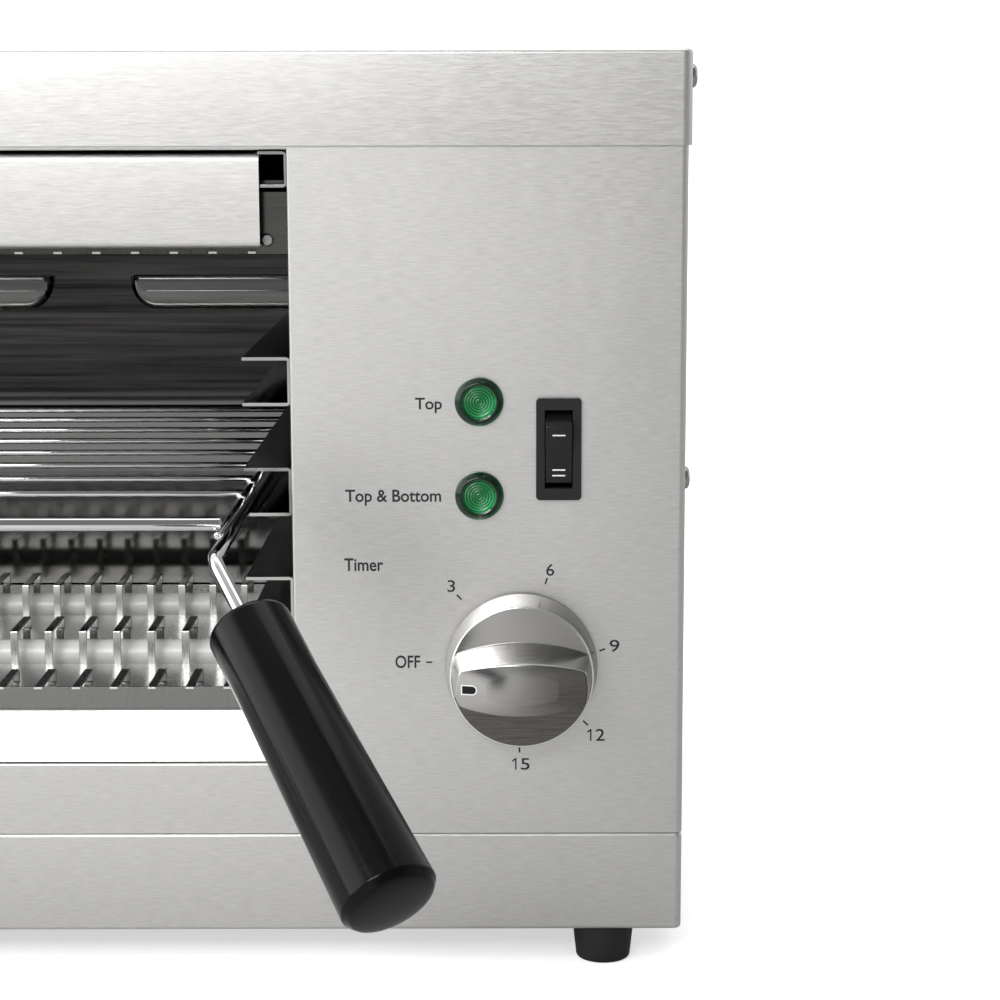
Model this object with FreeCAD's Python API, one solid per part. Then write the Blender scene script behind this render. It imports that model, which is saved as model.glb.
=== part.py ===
import FreeCAD, Part
import math
import os

Vector = FreeCAD.Vector

# Countertop toaster grill. Lengths in millimetres, angles in degrees.
# While it is built, x = 0 is the middle of the casing (+x to the right), y = 0 the face of the front
# panel (+y to the back) and z = 0 the table. All pieces are moved together at the end.

# Casing
body_width = 490.0
body_depth = 280.0
body_height = 290.0
sheet = 1.0
corner_radius = 2.2
edge_radius = 1.4
base_height = 32.2
base_rim = 12.0
lid_skirt = 28.8
lid_headroom = 2.0
front_flange = 20.0
panel_flange = 12.0
chassis_flange = 12.0
bend_gap = 0.3

# Oven opening in the front panel
left_post = 12.5
control_width = 122.5
strip_height = 23.0
header_reveal = 1.2
side_lip = 10.0
level_lip = 12.0
lip_bend = 0.9

# Oven
chamber_depth = 228.0
wall_flange = 8.0
floor_flange = 10.0
louvre_from_ceiling = 67.3
louvre_height = 13.3
louvre_depth = 5.0
louvre_corner = 11.0
louvre_round = 3.5
centre_louvre_length = 127.0
louvre_gap = 31.0
louvre_end_gap = 9.0

# Rack guides
guide_height = 15.2
guide_flange = 14.0
guide_pitch = 34.6
guide_lowest = 112.1
guide_levels = 3
guide_front = 3.0
guide_back_gap = 6.0
guide_bend = 1.6
rivet_inset = 30.0
rivet_head_radius = 3.0
rivet_head_height = 1.2
rivet_flat_radius = 1.8
rivet_shoulder_radius = 2.75
rivet_radius = 1.5
rivet_tail_radius = 2.5
rivet_play = 0.1

# Heaters
guard_sheet = 0.8
guard_top = 92.0
guard_rise = 12.0
front_bar_height = 7.0
strip_width = 2.65
strip_pitch = 12.0
end_strip_reach = 13.0
row_count = 3
row_pitch = 81.5
row_window = 25.0
rear_jog = 3.0
rear_drop = 5.0
lower_guard_front = 3.0
upper_guard_front = 9.0
upper_strip_shift = -2.4
heater_back_gap = 2.0
tube_radius = 5.0
tube_wall = 1.2
tube_setback = 12.5
tube_height = 81.2
coil_radius = 2.0
pin_radius = 1.0
pin_reach = 5.0
pin_hole_radius = 3.0
holder_length = 13.0
holder_width = 14.0
holder_height = 12.0
holder_end = 4.0
holder_play = 0.15
pin_play = 0.2
upper_guard_drop = 32.0

# Upper heater's carrier
unit_rail_height = 11.1
unit_rail_flange = 8.0
unit_rail_top_gap = 0.4
bracket_gap = 9.5
bracket_top_gap = 1.0
bracket_hook = 7.5
bracket_front_height = 19.0
bracket_rivet_up = 4.3
bracket_rivet_out = 2.6
bracket_rivet_head_radius = 2.1
bracket_rivet_tail_radius = 1.95
cover_gap = 8.5
cover_drop = 29.8
cover_height = 28.6
cover_setback = 0.8
cover_bend = 2.2

# Toasting rack
rail_radius = 2.1
rail_inset = 14.0
left_rail_inset = 5.0
rail_rest_gap = 0.3
rail_back_gap = 3.0
rail_front = -87.0
rail_bend = 9.0
handle_side = 52.5
handle_forward = 81.0
handle_drop = 72.0
bare_rod = 25.0
rod_in_grip = 60.0
grip_top_radius = 11.7
grip_waist_radius = 11.5
grip_waist_along = 21.0
grip_end_radius = 13.0
grip_dome = 3.0
grip_rim_back = 2.25
grip_rim_radius = 12.4
grip_dome_back = 0.9
grip_dome_radius = 7.8
grip_rounding = 2.6
grip_rounding_step = 0.8
grip_play = 0.05
thin_wire_radius = 1.1
front_wire_radius = 2.0
front_wire_y = -48.0
cross_wire_first = 13.5
last_wire_gap = 1.5
cross_wire_count = 8
wire_overhang = 0.8

# Crumb tray
tray_side_gap = 1.5
tray_floor_gap = 0.3
tray_sheet = 0.8
tray_top_gap = 0.3
tray_lip_front = 1.0
tray_lip_setback = 5.5
tray_lip_top_gap = 0.4
tray_lip_thickness = 1.05
tray_front = 4.0
tray_back_gap = 3.0

# Timer and knob
knob_from_right = 51.1
knob_height = 98.9
knob_gap = 1.5
knob_base_radius = 23.9
knob_face_radius = 22.3
knob_skirt_depth = 12.5
knob_depth = 30.5
grip_root_half = 10.8
grip_front_half = 8.2
grip_side_radius = 60.0
grip_front_radius = 20.0
grip_face_radius = 70.0
knob_recess_radius = 20.0
knob_recess_depth = 7.0
knob_hub_radius = 7.0
knob_hub_gap = 1.0
knob_play = 0.05
pointer_length = 4.2
pointer_width = 2.4
pointer_depth = 1.6
pointer_from_centre = 14.0
pointer_play = 0.05
shaft_radius = 3.0
shaft_play = 0.08
shaft_in_timer = 16.0
shaft_in_knob = 20.0
bush_radius = 5.0
bush_reach = 3.2
bush_hole_play = 0.2
bush_nut_flats = 14.0
bush_nut_height = 2.5
timer_size = 44.0
timer_depth = 35.0
bell_radius = 12.0
bell_depth = 10.0
bell_wall = 1.0

# Rocker switch
switch_from_right = 39.5
switch_middle_height = 168.2
bezel_width = 14.0
bezel_height = 31.8
bezel_thickness = 1.8
bezel_round = 1.2
switch_body_width = 12.0
switch_body_height = 28.6
switch_body_depth = 22.0
cutout_play = 0.2
well_width = 8.6
well_height = 24.4
well_depth = 14.0
rocker_play = 0.2
rocker_pivot_y = 4.5
rocker_round_radius = 12.0
rocker_middle_proud = 2.6
rocker_ridge_proud = 3.4
rocker_ridge_half = 9.4
rocker_back = 8.0
rocker_tilt = 11.0
rocker_pin_radius = 1.3
rocker_pin_length = 1.2
rocker_pin_play = 0.06
tab_width = 6.3
tab_thickness = 0.8
tab_length = 8.0
tab_spacing = 8.0

# Lamps
lamp_from_right = 64.1
lamp_heights = (183.0, 153.6)
lamp_radius = 7.6
lamp_rim = 1.8
lamp_rim_straight = 1.1
lamp_rim_bevel = 0.7
lamp_face_radius = 5.0
lamp_face_edge = 0.3
lamp_proud = 3.2
lamp_neck_radius = 6.1
lamp_neck_length = 8.0
lamp_hole_play = 0.15
lamp_body_radius = 7.8
lamp_body_depth = 24.0

# Terminals, gland and earth
terminal_from_right = 66.0
terminal_from_back = 34.0
terminal_length = 60.0
terminal_width = 22.0
terminal_height = 17.0
terminal_ways = 5
terminal_well_radius = 3.2
terminal_well_depth = 6.0
gland_from_right = 40.0
gland_height = 85.0
gland_thread_radius = 7.8
gland_hole_play = 0.2
gland_bore_radius = 4.2
gland_hex_flats = 22.0
gland_hex_height = 5.0
gland_dome_length = 13.0
gland_dome_radius = 9.5
gland_tip_radius = 6.5
gland_inside = 9.0
gland_nut_height = 5.0
earth_radius = 2.5
earth_length_out = 8.0
earth_length_in = 10.0
earth_nut_flats = 8.0
earth_nut_height = 3.2

# Wiring
bus_radius = 1.2
lead_radius = 1.3
lead_bend = 8.0

# Feet and screws
foot_height = 12.6
foot_top_radius = 10.0
foot_bottom_radius = 8.6
foot_round = 1.2
foot_round_step = 0.35
foot_side_inset = 24.5
foot_front_inset = 11.5
foot_recess_radius = 5.0
foot_recess_depth = 6.0
screw_radius = 2.0
screw_play = 0.2
screw_head_radius = 3.6
screw_head_height = 2.0
screw_head_round = 1.2
screw_length = 9.0
foot_screw_length = 14.5
foot_nut_flats = 7.0
foot_nut_height = 3.2
lid_screw_up = 20.8
side_screw_rise = 4.4
front_screw_y = 11.0
back_screw_inset = 11.0
panel_screw_inset = 8.0
back_screw_rows = 3
back_screw_margin = 18.0
base_screw_x_inset = 8.0
base_screw_y_inset = 6.5

# Vents
vent_length = 44.0
vent_height = 4.0
vent_pitch = 10.0
vent_rows = 6
vent_columns = 4
vent_column_gap = 18.0
base_vent_length = 60.0
base_vent_count = 8
base_vent_pitch = 14.0

# Places worked out from the sizes
half_width = body_width / 2.0
base_bottom = foot_height
base_top = base_bottom + base_height
strip_top = base_top + strip_height
lid_bottom = body_height - lid_skirt
lid_screw_height = lid_bottom + lid_screw_up
side_screw_height = (base_top + lid_bottom) / 2.0 + side_screw_rise
opening_top = lid_bottom - header_reveal
opening_left = -half_width + left_post
opening_right = half_width - control_width
opening_middle = (opening_left + opening_right) / 2.0
opening_half = (opening_right - opening_left) / 2.0
panel_top = body_height - sheet - lid_headroom
chassis_top = base_top + sheet
wall_outer = opening_right + sheet
side_outer = half_width - sheet
side_inner = side_outer - sheet
back_face = body_depth
back_inner = body_depth - sheet
guard_band = guard_top - guard_rise
reflector_top = tube_height - holder_height / 2.0
upper_guard_bottom = opening_top - upper_guard_drop
upper_mirror_height = upper_guard_bottom + guard_top
bracket_rivet_height = upper_guard_bottom + bracket_rivet_up
cover_bottom = opening_top - cover_drop
louvre_bottom = opening_top - louvre_from_ceiling
strips_each_side = int((opening_half - end_strip_reach - strip_width) / strip_pitch)
heater_back = chamber_depth - heater_back_gap
unit_rail_bottom = opening_top - unit_rail_top_gap - unit_rail_height
bracket_outer = opening_right - bracket_gap
bracket_inner = bracket_outer - sheet
guide_back = chamber_depth - guide_back_gap
rail_back = chamber_depth - rail_back_gap
cross_wire_pitch = (rail_back - last_wire_gap - cross_wire_first) / (cross_wire_count - 1)
carrying_guide = guide_lowest + guide_pitch
rail_z = carrying_guide + sheet + rail_rest_gap + rail_radius
right_rail_x = opening_right - rail_inset
left_rail_x = opening_left + left_rail_inset
rack_middle = (right_rail_x + left_rail_x) / 2.0
knob_x = half_width - knob_from_right
switch_x = half_width - switch_from_right
lamp_x = half_width - lamp_from_right
gland_x = half_width - gland_from_right
terminal_x = half_width - terminal_from_right
terminal_y = body_depth - terminal_from_back
terminal_pitch = terminal_length / terminal_ways
first_way_x = terminal_x - terminal_pitch * (terminal_ways - 1) / 2.0
last_way_x = terminal_x + terminal_pitch * (terminal_ways - 1) / 2.0
earth_x = first_way_x


def block(x_range, y_range, z_range):
    """A box between two corners, given as low and high values."""
    low = Vector(x_range[0], y_range[0], z_range[0])
    return Part.makeBox(x_range[1] - x_range[0], y_range[1] - y_range[0], z_range[1] - z_range[0], low)


def rod(start, end, radius):
    """A round bar between two points."""
    along = end - start
    return Part.makeCylinder(radius, along.Length, start, along)


def mirrored(shape, x_plane):
    """The same shape on the other side of an upright plane."""
    return shape.mirror(Vector(x_plane, 0, 0), Vector(1, 0, 0))


def both_sides(shape, x_plane):
    """A shape and its twin across an upright plane, as two solids."""
    return Part.makeCompound([shape, mirrored(shape, x_plane)])


def merged(shapes):
    """One solid from shapes that touch or overlap."""
    return shapes[0].multiFuse(shapes[1:]).removeSplitter()


def without(shape, cutters):
    """A shape less its holes."""
    return shape.cut(Part.makeCompound(cutters))


def upright_edges(shape):
    """The straight edges of a shape that run along z."""
    return [edge for edge in shape.Edges if is_straight_along(edge, Vector(0, 0, 1))]


def is_straight_along(edge, direction):
    """Whether an edge is a straight line along a direction."""
    if not isinstance(edge.Curve, Part.Line):
        return False
    return abs(abs(edge.tangentAt(edge.FirstParameter).dot(direction)) - 1.0) < 1e-6


def level_edges_at(shape, height):
    """The edges of a shape that lie flat at one height."""
    return [edge for edge in shape.Edges
            if abs(edge.BoundBox.ZMin - height) < 1e-6 and abs(edge.BoundBox.ZMax - height) < 1e-6]


def rounded_box(x_range, y_range, z_range, corner, edge, at_bottom, at_top):
    """A box with rounded upright corners, and rounded edges round its bottom or top."""
    shape = block(x_range, y_range, z_range)
    shape = shape.makeFillet(corner, upright_edges(shape))
    if at_bottom:
        shape = shape.makeFillet(edge, level_edges_at(shape, z_range[0]))
    if at_top:
        shape = shape.makeFillet(edge, level_edges_at(shape, z_range[1]))
    return shape


def plate_from_yz(points, x_low, x_high):
    """A prism along x whose section is a polygon of (y, z) points."""
    corners = [Vector(x_low, y, z) for y, z in points]
    face = Part.Face(Part.makePolygon(corners + corners[:1]))
    return face.extrude(Vector(x_high - x_low, 0, 0))


def turned(points, start, direction):
    """A solid of revolution from (distance along the axis, radius) points, ends on the axis."""
    section = Part.Face(Part.makePolygon([Vector(r, 0, s) for s, r in points + points[:1]]))
    solid = section.revolve(Vector(0, 0, 0), Vector(0, 0, 1), 360)
    solid.Placement = FreeCAD.Placement(start, FreeCAD.Rotation(Vector(0, 0, 1), direction))
    return solid


def hexagon(flats, height, start, direction):
    """A hexagonal prism, such as a nut."""
    radius = flats / math.sqrt(3.0)
    corners = [Vector(radius * math.cos(math.radians(60 * i)), radius * math.sin(math.radians(60 * i)), 0)
               for i in range(6)]
    prism = Part.Face(Part.makePolygon(corners + corners[:1])).extrude(Vector(0, 0, height))
    prism.Placement = FreeCAD.Placement(start, FreeCAD.Rotation(Vector(0, 0, 1), direction))
    return prism


def nut(flats, height, hole_radius, start, direction):
    """A hexagon nut with its hole."""
    return hexagon(flats, height, start, direction).cut(Part.makeCylinder(hole_radius, height, start, direction))


def bent_bar(points, radius, bend):
    """A round bar along straight runs joined by tangent arcs of one bend radius."""
    edges = []
    run_start = points[0]
    for before, corner, after in zip(points, points[1:], points[2:]):
        inward = (before - corner).normalize()
        outward = (after - corner).normalize()
        half = inward.getAngle(outward) / 2.0
        setback = bend / math.tan(half)
        arc_start = corner + inward * setback
        arc_end = corner + outward * setback
        centre = corner + (inward + outward).normalize() * (bend / math.sin(half))
        middle = centre + (corner - centre).normalize() * bend
        edges.append(Part.LineSegment(run_start, arc_start).toShape())
        edges.append(Part.Arc(arc_start, middle, arc_end).toShape())
        run_start = arc_end
    edges.append(Part.LineSegment(run_start, points[-1]).toShape())
    path = Part.Wire(edges)
    ring = Part.Wire(Part.makeCircle(radius, points[0], points[1] - points[0]))
    return path.makePipeShell([ring], True, True)


def screw(place, inward, length):
    """A pan-head screw: head on the surface at place, shank going inwards."""
    outward = inward * -1.0
    head = Part.makeCylinder(screw_head_radius, screw_head_height, place, outward)
    rim = [edge for edge in head.Edges if edge.Curve.TypeId == "Part::GeomCircle"
           and (edge.Curve.Center - place).dot(outward) > screw_head_height / 2.0]
    head = head.makeFillet(screw_head_round, rim)
    return head.fuse(Part.makeCylinder(screw_radius, length, place, inward)).removeSplitter()


def screw_hole(place, inward, length):
    """The clearance hole of a screw, cut from a little outside the surface."""
    start = place - inward * length
    return Part.makeCylinder(screw_radius + screw_play, 2.0 * length, start, inward)


def side_screw_places(height):
    """The places of the screws at one height on the right side: front and back."""
    return [Vector(0, front_screw_y, height), Vector(0, body_depth - back_screw_inset, height)]


def back_screw_heights():
    """The heights of the screws up each side of the back panel."""
    low = base_top + back_screw_margin
    high = lid_bottom - back_screw_margin
    step = (high - low) / (back_screw_rows - 1)
    return [low + step * i for i in range(back_screw_rows)]


def base_screw_places():
    """The places of the screws that hold the chassis plate on the base rim."""
    x = half_width - base_screw_x_inset
    return [Vector(side * x, y, chassis_top)
            for side in (-1, 1)
            for y in (base_screw_y_inset, body_depth - base_screw_y_inset)]


def foot_places():
    """The centres of the four feet."""
    x = half_width - foot_side_inset
    return [Vector(side * x, y, base_bottom)
            for side in (-1, 1)
            for y in (foot_front_inset, body_depth - foot_front_inset)]


def row_fronts(guard_front):
    """The y of the front edge of each row of a guard."""
    return [guard_front + row_pitch * i for i in range(row_count)]


def rivet_places():
    """The y and z of the rivets of the rack guides."""
    return [(y, guide_lowest + guide_pitch * level + guide_height / 2.0)
            for level in range(guide_levels)
            for y in (guide_front + rivet_inset, guide_back - rivet_inset)]


# Casing pieces

def base_pan():
    """The shallow pan under the body, with a rim turned in round its mouth."""
    outer = rounded_box((-half_width, half_width), (0, body_depth), (base_bottom, base_top),
                        corner_radius, edge_radius, True, True)
    inner_corner = corner_radius - sheet
    inner_edge = edge_radius - sheet
    inner = rounded_box((-side_outer, side_outer), (sheet, back_inner), (base_bottom + sheet, base_top - sheet),
                        inner_corner, inner_edge, True, True)
    mouth = block((-half_width + base_rim, half_width - base_rim), (base_rim, body_depth - base_rim),
                  (base_top - 2.0 * sheet, base_top + sheet))
    holes = [screw_hole(place, Vector(0, 0, 1), 2.0 * sheet) for place in foot_places()]
    holes += [screw_hole(place, Vector(0, 0, -1), 3.0 * sheet) for place in base_screw_places()]
    first = body_depth / 2.0 - base_vent_pitch * (base_vent_count - 1) / 2.0
    for i in range(base_vent_count):
        y = first + base_vent_pitch * i
        for middle in (opening_middle, knob_x):
            holes.append(block((middle - base_vent_length / 2.0, middle + base_vent_length / 2.0),
                               (y - vent_height / 2.0, y + vent_height / 2.0),
                               (base_bottom - sheet, base_bottom + 2.0 * sheet)))
    return without(outer, [inner, mouth] + holes)


def chassis_plate():
    """The flat plate on the base rim, with low flanges up the inside of the side panels."""
    plate = block((-side_inner, side_inner), (sheet + bend_gap, back_inner - sheet), (base_top, chassis_top))
    flange = block((side_inner - sheet, side_inner),
                   (corner_radius + bend_gap, back_inner - sheet),
                   (base_top, base_top + chassis_flange))
    holes = [screw_hole(place, Vector(0, 0, -1), 3.0 * sheet) for place in base_screw_places()]
    return without(merged([plate, flange, mirrored(flange, 0)]), holes)


def front_panel():
    """The front sheet with the oven opening, its lips and the side flanges."""
    outer = block((-half_width, half_width), (0, front_flange), (base_top, panel_top))
    front_corners = [edge for edge in upright_edges(outer) if edge.BoundBox.YMax < sheet]
    outer = outer.makeFillet(corner_radius, front_corners)
    inner = block((-side_outer, side_outer), (sheet, 2.0 * front_flange), (base_top - sheet, panel_top + sheet))
    inner_corners = [edge for edge in upright_edges(inner) if edge.BoundBox.YMax < 2.0 * sheet]
    inner = inner.makeFillet(corner_radius - sheet, inner_corners)
    lip = block((opening_right, opening_right + sheet), (0, side_lip), (strip_top - sheet, opening_top + sheet))
    low_lip = block((opening_left, opening_right), (0, level_lip), (strip_top - sheet, strip_top))
    high_lip = block((opening_left, opening_right), (0, level_lip), (opening_top, opening_top + sheet))
    opening = block((opening_left, opening_right), (-sheet, 2.0 * level_lip), (strip_top, opening_top))
    shell = merged([outer.cut(inner), lip, mirrored(lip, opening_middle), low_lip, high_lip]).cut(opening)
    rim = [edge for edge in shell.Edges
           if edge.BoundBox.YMax < 1e-6
           and edge.BoundBox.XMin > opening_left - sheet and edge.BoundBox.XMax < opening_right + sheet
           and edge.BoundBox.ZMin > strip_top - sheet and edge.BoundBox.ZMax < opening_top + sheet]
    shell = shell.makeFillet(lip_bend, rim)
    through = Vector(0, 1, 0)
    holes = [Part.makeCylinder(lamp_neck_radius + lamp_hole_play, 3.0 * sheet, Vector(lamp_x, -sheet, z), through)
             for z in lamp_heights]
    holes.append(Part.makeCylinder(bush_radius + bush_hole_play, 3.0 * sheet,
                                   Vector(knob_x, -sheet, knob_height), through))
    half_cut_width = switch_body_width / 2.0 + cutout_play
    half_cut_height = switch_body_height / 2.0 + cutout_play
    holes.append(block((switch_x - half_cut_width, switch_x + half_cut_width), (-sheet, 2.0 * sheet),
                       (switch_middle_height - half_cut_height, switch_middle_height + half_cut_height)))
    for height in (lid_screw_height, side_screw_height):
        place = side_screw_places(height)[0] + Vector(half_width, 0, 0)
        hole = screw_hole(place, Vector(-1, 0, 0), 4.0 * sheet)
        holes += [hole, mirrored(hole, 0)]
    return without(shell, holes)


def vent_slots(place, across):
    """A field of rounded vent slots cut through a sheet at place; across is the sheet's level direction."""
    through = across.cross(Vector(0, 0, 1))
    slots = []
    for column in range(vent_columns):
        for row in range(vent_rows):
            along = (column - (vent_columns - 1) / 2.0) * (vent_length + vent_column_gap)
            up = (row - (vent_rows - 1) / 2.0) * vent_pitch
            middle = place + across * along + Vector(0, 0, up) - through * (2.0 * sheet)
            reach = across * ((vent_length - vent_height) / 2.0)
            ends = [middle - reach, middle + reach]
            slots += [Part.makeCylinder(vent_height / 2.0, 4.0 * sheet, end, through) for end in ends]
            low = ends[0] - Vector(0, 0, vent_height / 2.0)
            corners = [low, low + reach * 2.0, low + reach * 2.0 + Vector(0, 0, vent_height),
                       low + Vector(0, 0, vent_height)]
            bar = Part.Face(Part.makePolygon(corners + corners[:1])).extrude(through * (4.0 * sheet))
            slots.append(bar)
    return slots


def right_side_panel():
    """The flat side sheet with a flange turned in at the back and at the top."""
    y_range = (corner_radius + bend_gap, back_inner)
    web = block((side_inner, side_outer), y_range, (base_top, panel_top))
    back = block((side_outer - panel_flange, side_outer), (back_inner - sheet, back_inner), (base_top, panel_top))
    top = block((side_outer - panel_flange, side_outer), y_range, (panel_top - sheet, panel_top))
    holes = []
    for height in (lid_screw_height, side_screw_height):
        for place in side_screw_places(height):
            holes.append(screw_hole(place + Vector(half_width, 0, 0), Vector(-1, 0, 0), 4.0 * sheet))
    for height in back_screw_heights():
        place = Vector(half_width - panel_screw_inset, back_face, height)
        holes.append(screw_hole(place, Vector(0, -1, 0), 3.0 * sheet))
    middle = Vector(side_outer, body_depth / 2.0, base_top + vent_pitch * vent_rows)
    holes += vent_slots(middle, Vector(0, 1, 0))
    return without(merged([web, back, top]), holes)


def left_side_panel():
    """The twin of the right side panel."""
    return mirrored(right_side_panel(), 0)


def back_panel():
    """The flat back sheet with vents and the holes for gland and earth stud."""
    sheet_solid = block((-side_outer, side_outer), (back_inner, back_face), (base_top, panel_top))
    inward = Vector(0, -1, 0)
    holes = []
    for height in back_screw_heights():
        hole = screw_hole(Vector(half_width - panel_screw_inset, back_face, height), inward, 3.0 * sheet)
        holes += [hole, mirrored(hole, 0)]
    holes.append(Part.makeCylinder(gland_thread_radius + gland_hole_play, 3.0 * sheet,
                                   Vector(gland_x, back_face + sheet, gland_height), inward))
    holes.append(Part.makeCylinder(earth_radius + screw_play, 3.0 * sheet,
                                   Vector(earth_x, back_face + sheet, gland_height), inward))
    middle_height = (gland_height + lid_bottom) / 2.0
    holes += vent_slots(Vector(0, back_face, middle_height), Vector(-1, 0, 0))
    return without(sheet_solid, holes)


def lid():
    """The shallow pan turned upside down over the body."""
    outer = rounded_box((-half_width - sheet, half_width + sheet), (-sheet, body_depth + sheet),
                        (lid_bottom, body_height), corner_radius + sheet, edge_radius, False, True)
    inner = rounded_box((-half_width, half_width), (0, body_depth), (lid_bottom - sheet, body_height - sheet),
                        corner_radius, edge_radius - sheet, False, True)
    holes = []
    for place in side_screw_places(lid_screw_height):
        hole = screw_hole(place + Vector(half_width + sheet, 0, 0), Vector(-1, 0, 0), 3.0 * sheet)
        holes += [hole, mirrored(hole, 0)]
    return without(outer, [inner] + holes)


# Oven pieces

def pin_places(guard_front, height):
    """The y and z of the heating tubes of one heater."""
    return [(front + tube_setback, height) for front in row_fronts(guard_front)]


def all_pin_places():
    """The y and z of every heating tube."""
    lower = pin_places(lower_guard_front, tube_height)
    return lower + pin_places(upper_guard_front, upper_mirror_height - tube_height)


def chamber_right_wall():
    """The upright wall beside the controls, with a foot turned outwards."""
    web = block((opening_right, wall_outer), (side_lip, chamber_depth), (chassis_top, opening_top))
    foot = block((opening_right, wall_outer + wall_flange), (side_lip, chamber_depth),
                 (chassis_top, chassis_top + sheet))
    across = Vector(1, 0, 0)
    holes = [Part.makeCylinder(pin_hole_radius, 3.0 * sheet, Vector(opening_right - sheet, y, z), across)
             for y, z in all_pin_places()]
    holes += [Part.makeCylinder(rivet_radius + rivet_play, 3.0 * sheet, Vector(opening_right - sheet, y, z), across)
              for y, z in rivet_places()]
    return without(merged([web, foot]), holes)


def chamber_left_wall():
    """The twin of the right wall, beside the left post."""
    return mirrored(chamber_right_wall(), opening_middle)


def louvre_bulge(x_low, x_high, inset):
    """The bulge of a louvre in front of the back wall, or with an inset the hollow inside it."""
    low = louvre_bottom + inset
    high = louvre_bottom + louvre_height
    shape = block((x_low + inset, x_high - inset), (chamber_depth - louvre_depth + inset, chamber_depth + sheet),
                  (low, high))
    bottom = [edge for edge in shape.Edges
              if is_straight_along(edge, Vector(0, 1, 0)) and edge.BoundBox.ZMax < high - inset]
    shape = shape.makeFillet(louvre_corner - inset, bottom)
    face_y = chamber_depth - louvre_depth + inset
    front = [edge for edge in shape.Edges
             if edge.BoundBox.YMax < face_y + 1e-6 and edge.BoundBox.ZMin < high - 1e-6]
    return shape.makeFillet(louvre_round - inset / 2.0, front)


def louvre_spans():
    """The x range of each louvre, left to right."""
    half = centre_louvre_length / 2.0
    right = opening_middle + half + louvre_gap
    left = opening_middle - half - louvre_gap
    return [(opening_left + louvre_end_gap, left), (opening_middle - half, opening_middle + half),
            (right, opening_right - louvre_end_gap)]


def chamber_back_wall():
    """The back of the oven with three louvres pressed out of it."""
    wall = block((opening_left - sheet, wall_outer), (chamber_depth, chamber_depth + sheet),
                 (chassis_top, opening_top))
    bulges = [louvre_bulge(low, high, 0) for low, high in louvre_spans()]
    hollows = [louvre_bulge(low, high, sheet) for low, high in louvre_spans()]
    tops = []
    for low, high in louvre_spans():
        top = louvre_bottom + louvre_height
        depths = (chamber_depth - louvre_depth + sheet, chamber_depth + 2 * sheet)
        tops.append(block((low + sheet, high - sheet), depths, (top - 2.0 * sheet, top + sheet / 2.0)))
    return without(merged([wall] + bulges), hollows + tops)


def chamber_floor():
    """The sheet that the crumb tray slides on."""
    y_range = (level_lip, chamber_depth)
    plate = block((opening_left, opening_right), y_range, (strip_top - sheet, strip_top))
    flange = block((opening_right - sheet, opening_right), y_range, (strip_top - floor_flange, strip_top))
    return merged([plate, flange, mirrored(flange, opening_middle)])


def chamber_ceiling():
    """The sheet over the oven, on top of its walls."""
    return block((opening_left - sheet, wall_outer), (level_lip, chamber_depth + sheet),
                 (opening_top, opening_top + sheet))


def channel(flange, low, height):
    """A C-shaped rail on the right wall, open towards the middle of the oven."""
    outer = block((opening_right - flange - sheet, opening_right), (guide_front, guide_back), (low, low + height))
    corners = [edge for edge in outer.Edges
               if is_straight_along(edge, Vector(0, 1, 0)) and edge.BoundBox.XMin > opening_right - sheet]
    outer = outer.makeFillet(guide_bend, corners)
    inner = block((opening_right - 2.0 * flange, opening_right - sheet), (guide_front - sheet, guide_back + sheet),
                  (low + sheet, low + height - sheet))
    return outer.cut(inner)


def right_rack_guides():
    """Three guides, one above the other."""
    guides = []
    for level in range(guide_levels):
        low = guide_lowest + guide_pitch * level
        holes = [Part.makeCylinder(rivet_radius + rivet_play, 3.0 * sheet,
                                   Vector(opening_right - 2.0 * sheet, y, z), Vector(1, 0, 0))
                 for y, z in rivet_places() if low < z < low + guide_height]
        guides.append(without(channel(guide_flange, low, guide_height), holes))
    return Part.makeCompound(guides)


def left_rack_guides():
    """The guides of the other wall."""
    return mirrored(right_rack_guides(), opening_middle)


def upper_unit_rails():
    """The two smaller rails near the ceiling that carry the upper heater."""
    return both_sides(channel(unit_rail_flange, unit_rail_bottom, unit_rail_height), opening_middle)


def guide_rivets():
    """The rivets that hold the guides on the walls."""
    rivets = []
    for y, z in rivet_places():
        inner_face = opening_right - sheet
        stack = [(-rivet_head_height, 0.0), (-rivet_head_height, rivet_flat_radius),
                 (-rivet_head_height / 2.0, rivet_shoulder_radius), (0.0, rivet_head_radius),
                 (0.0, rivet_radius), (2.0 * sheet, rivet_radius), (2.0 * sheet, rivet_tail_radius),
                 (3.0 * sheet, rivet_tail_radius), (3.0 * sheet, 0.0)]
        rivets.append(turned(stack, Vector(inner_face, y, z), Vector(1, 0, 0)))
    right = Part.makeCompound(rivets)
    return both_sides(right, opening_middle)


# Heaters

def strip_section(front, has_front_leg):
    """The section of one bridge strip over a tube, as (y, z) points."""
    thick = guard_sheet
    band_low = guard_band - thick
    ledge = guard_top - rear_drop
    back = front + row_window
    foot = back - rear_jog
    points = [(front, guard_top), (back, guard_top), (back, ledge), (foot + thick, ledge),
              (foot + thick, band_low), (foot, band_low), (foot, ledge + thick), (back - thick, ledge + thick),
              (back - thick, guard_top - thick)]
    if has_front_leg:
        return points + [(front + thick, guard_top - thick), (front + thick, band_low), (front, band_low)]
    return points + [(front, guard_top - thick)]


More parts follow.
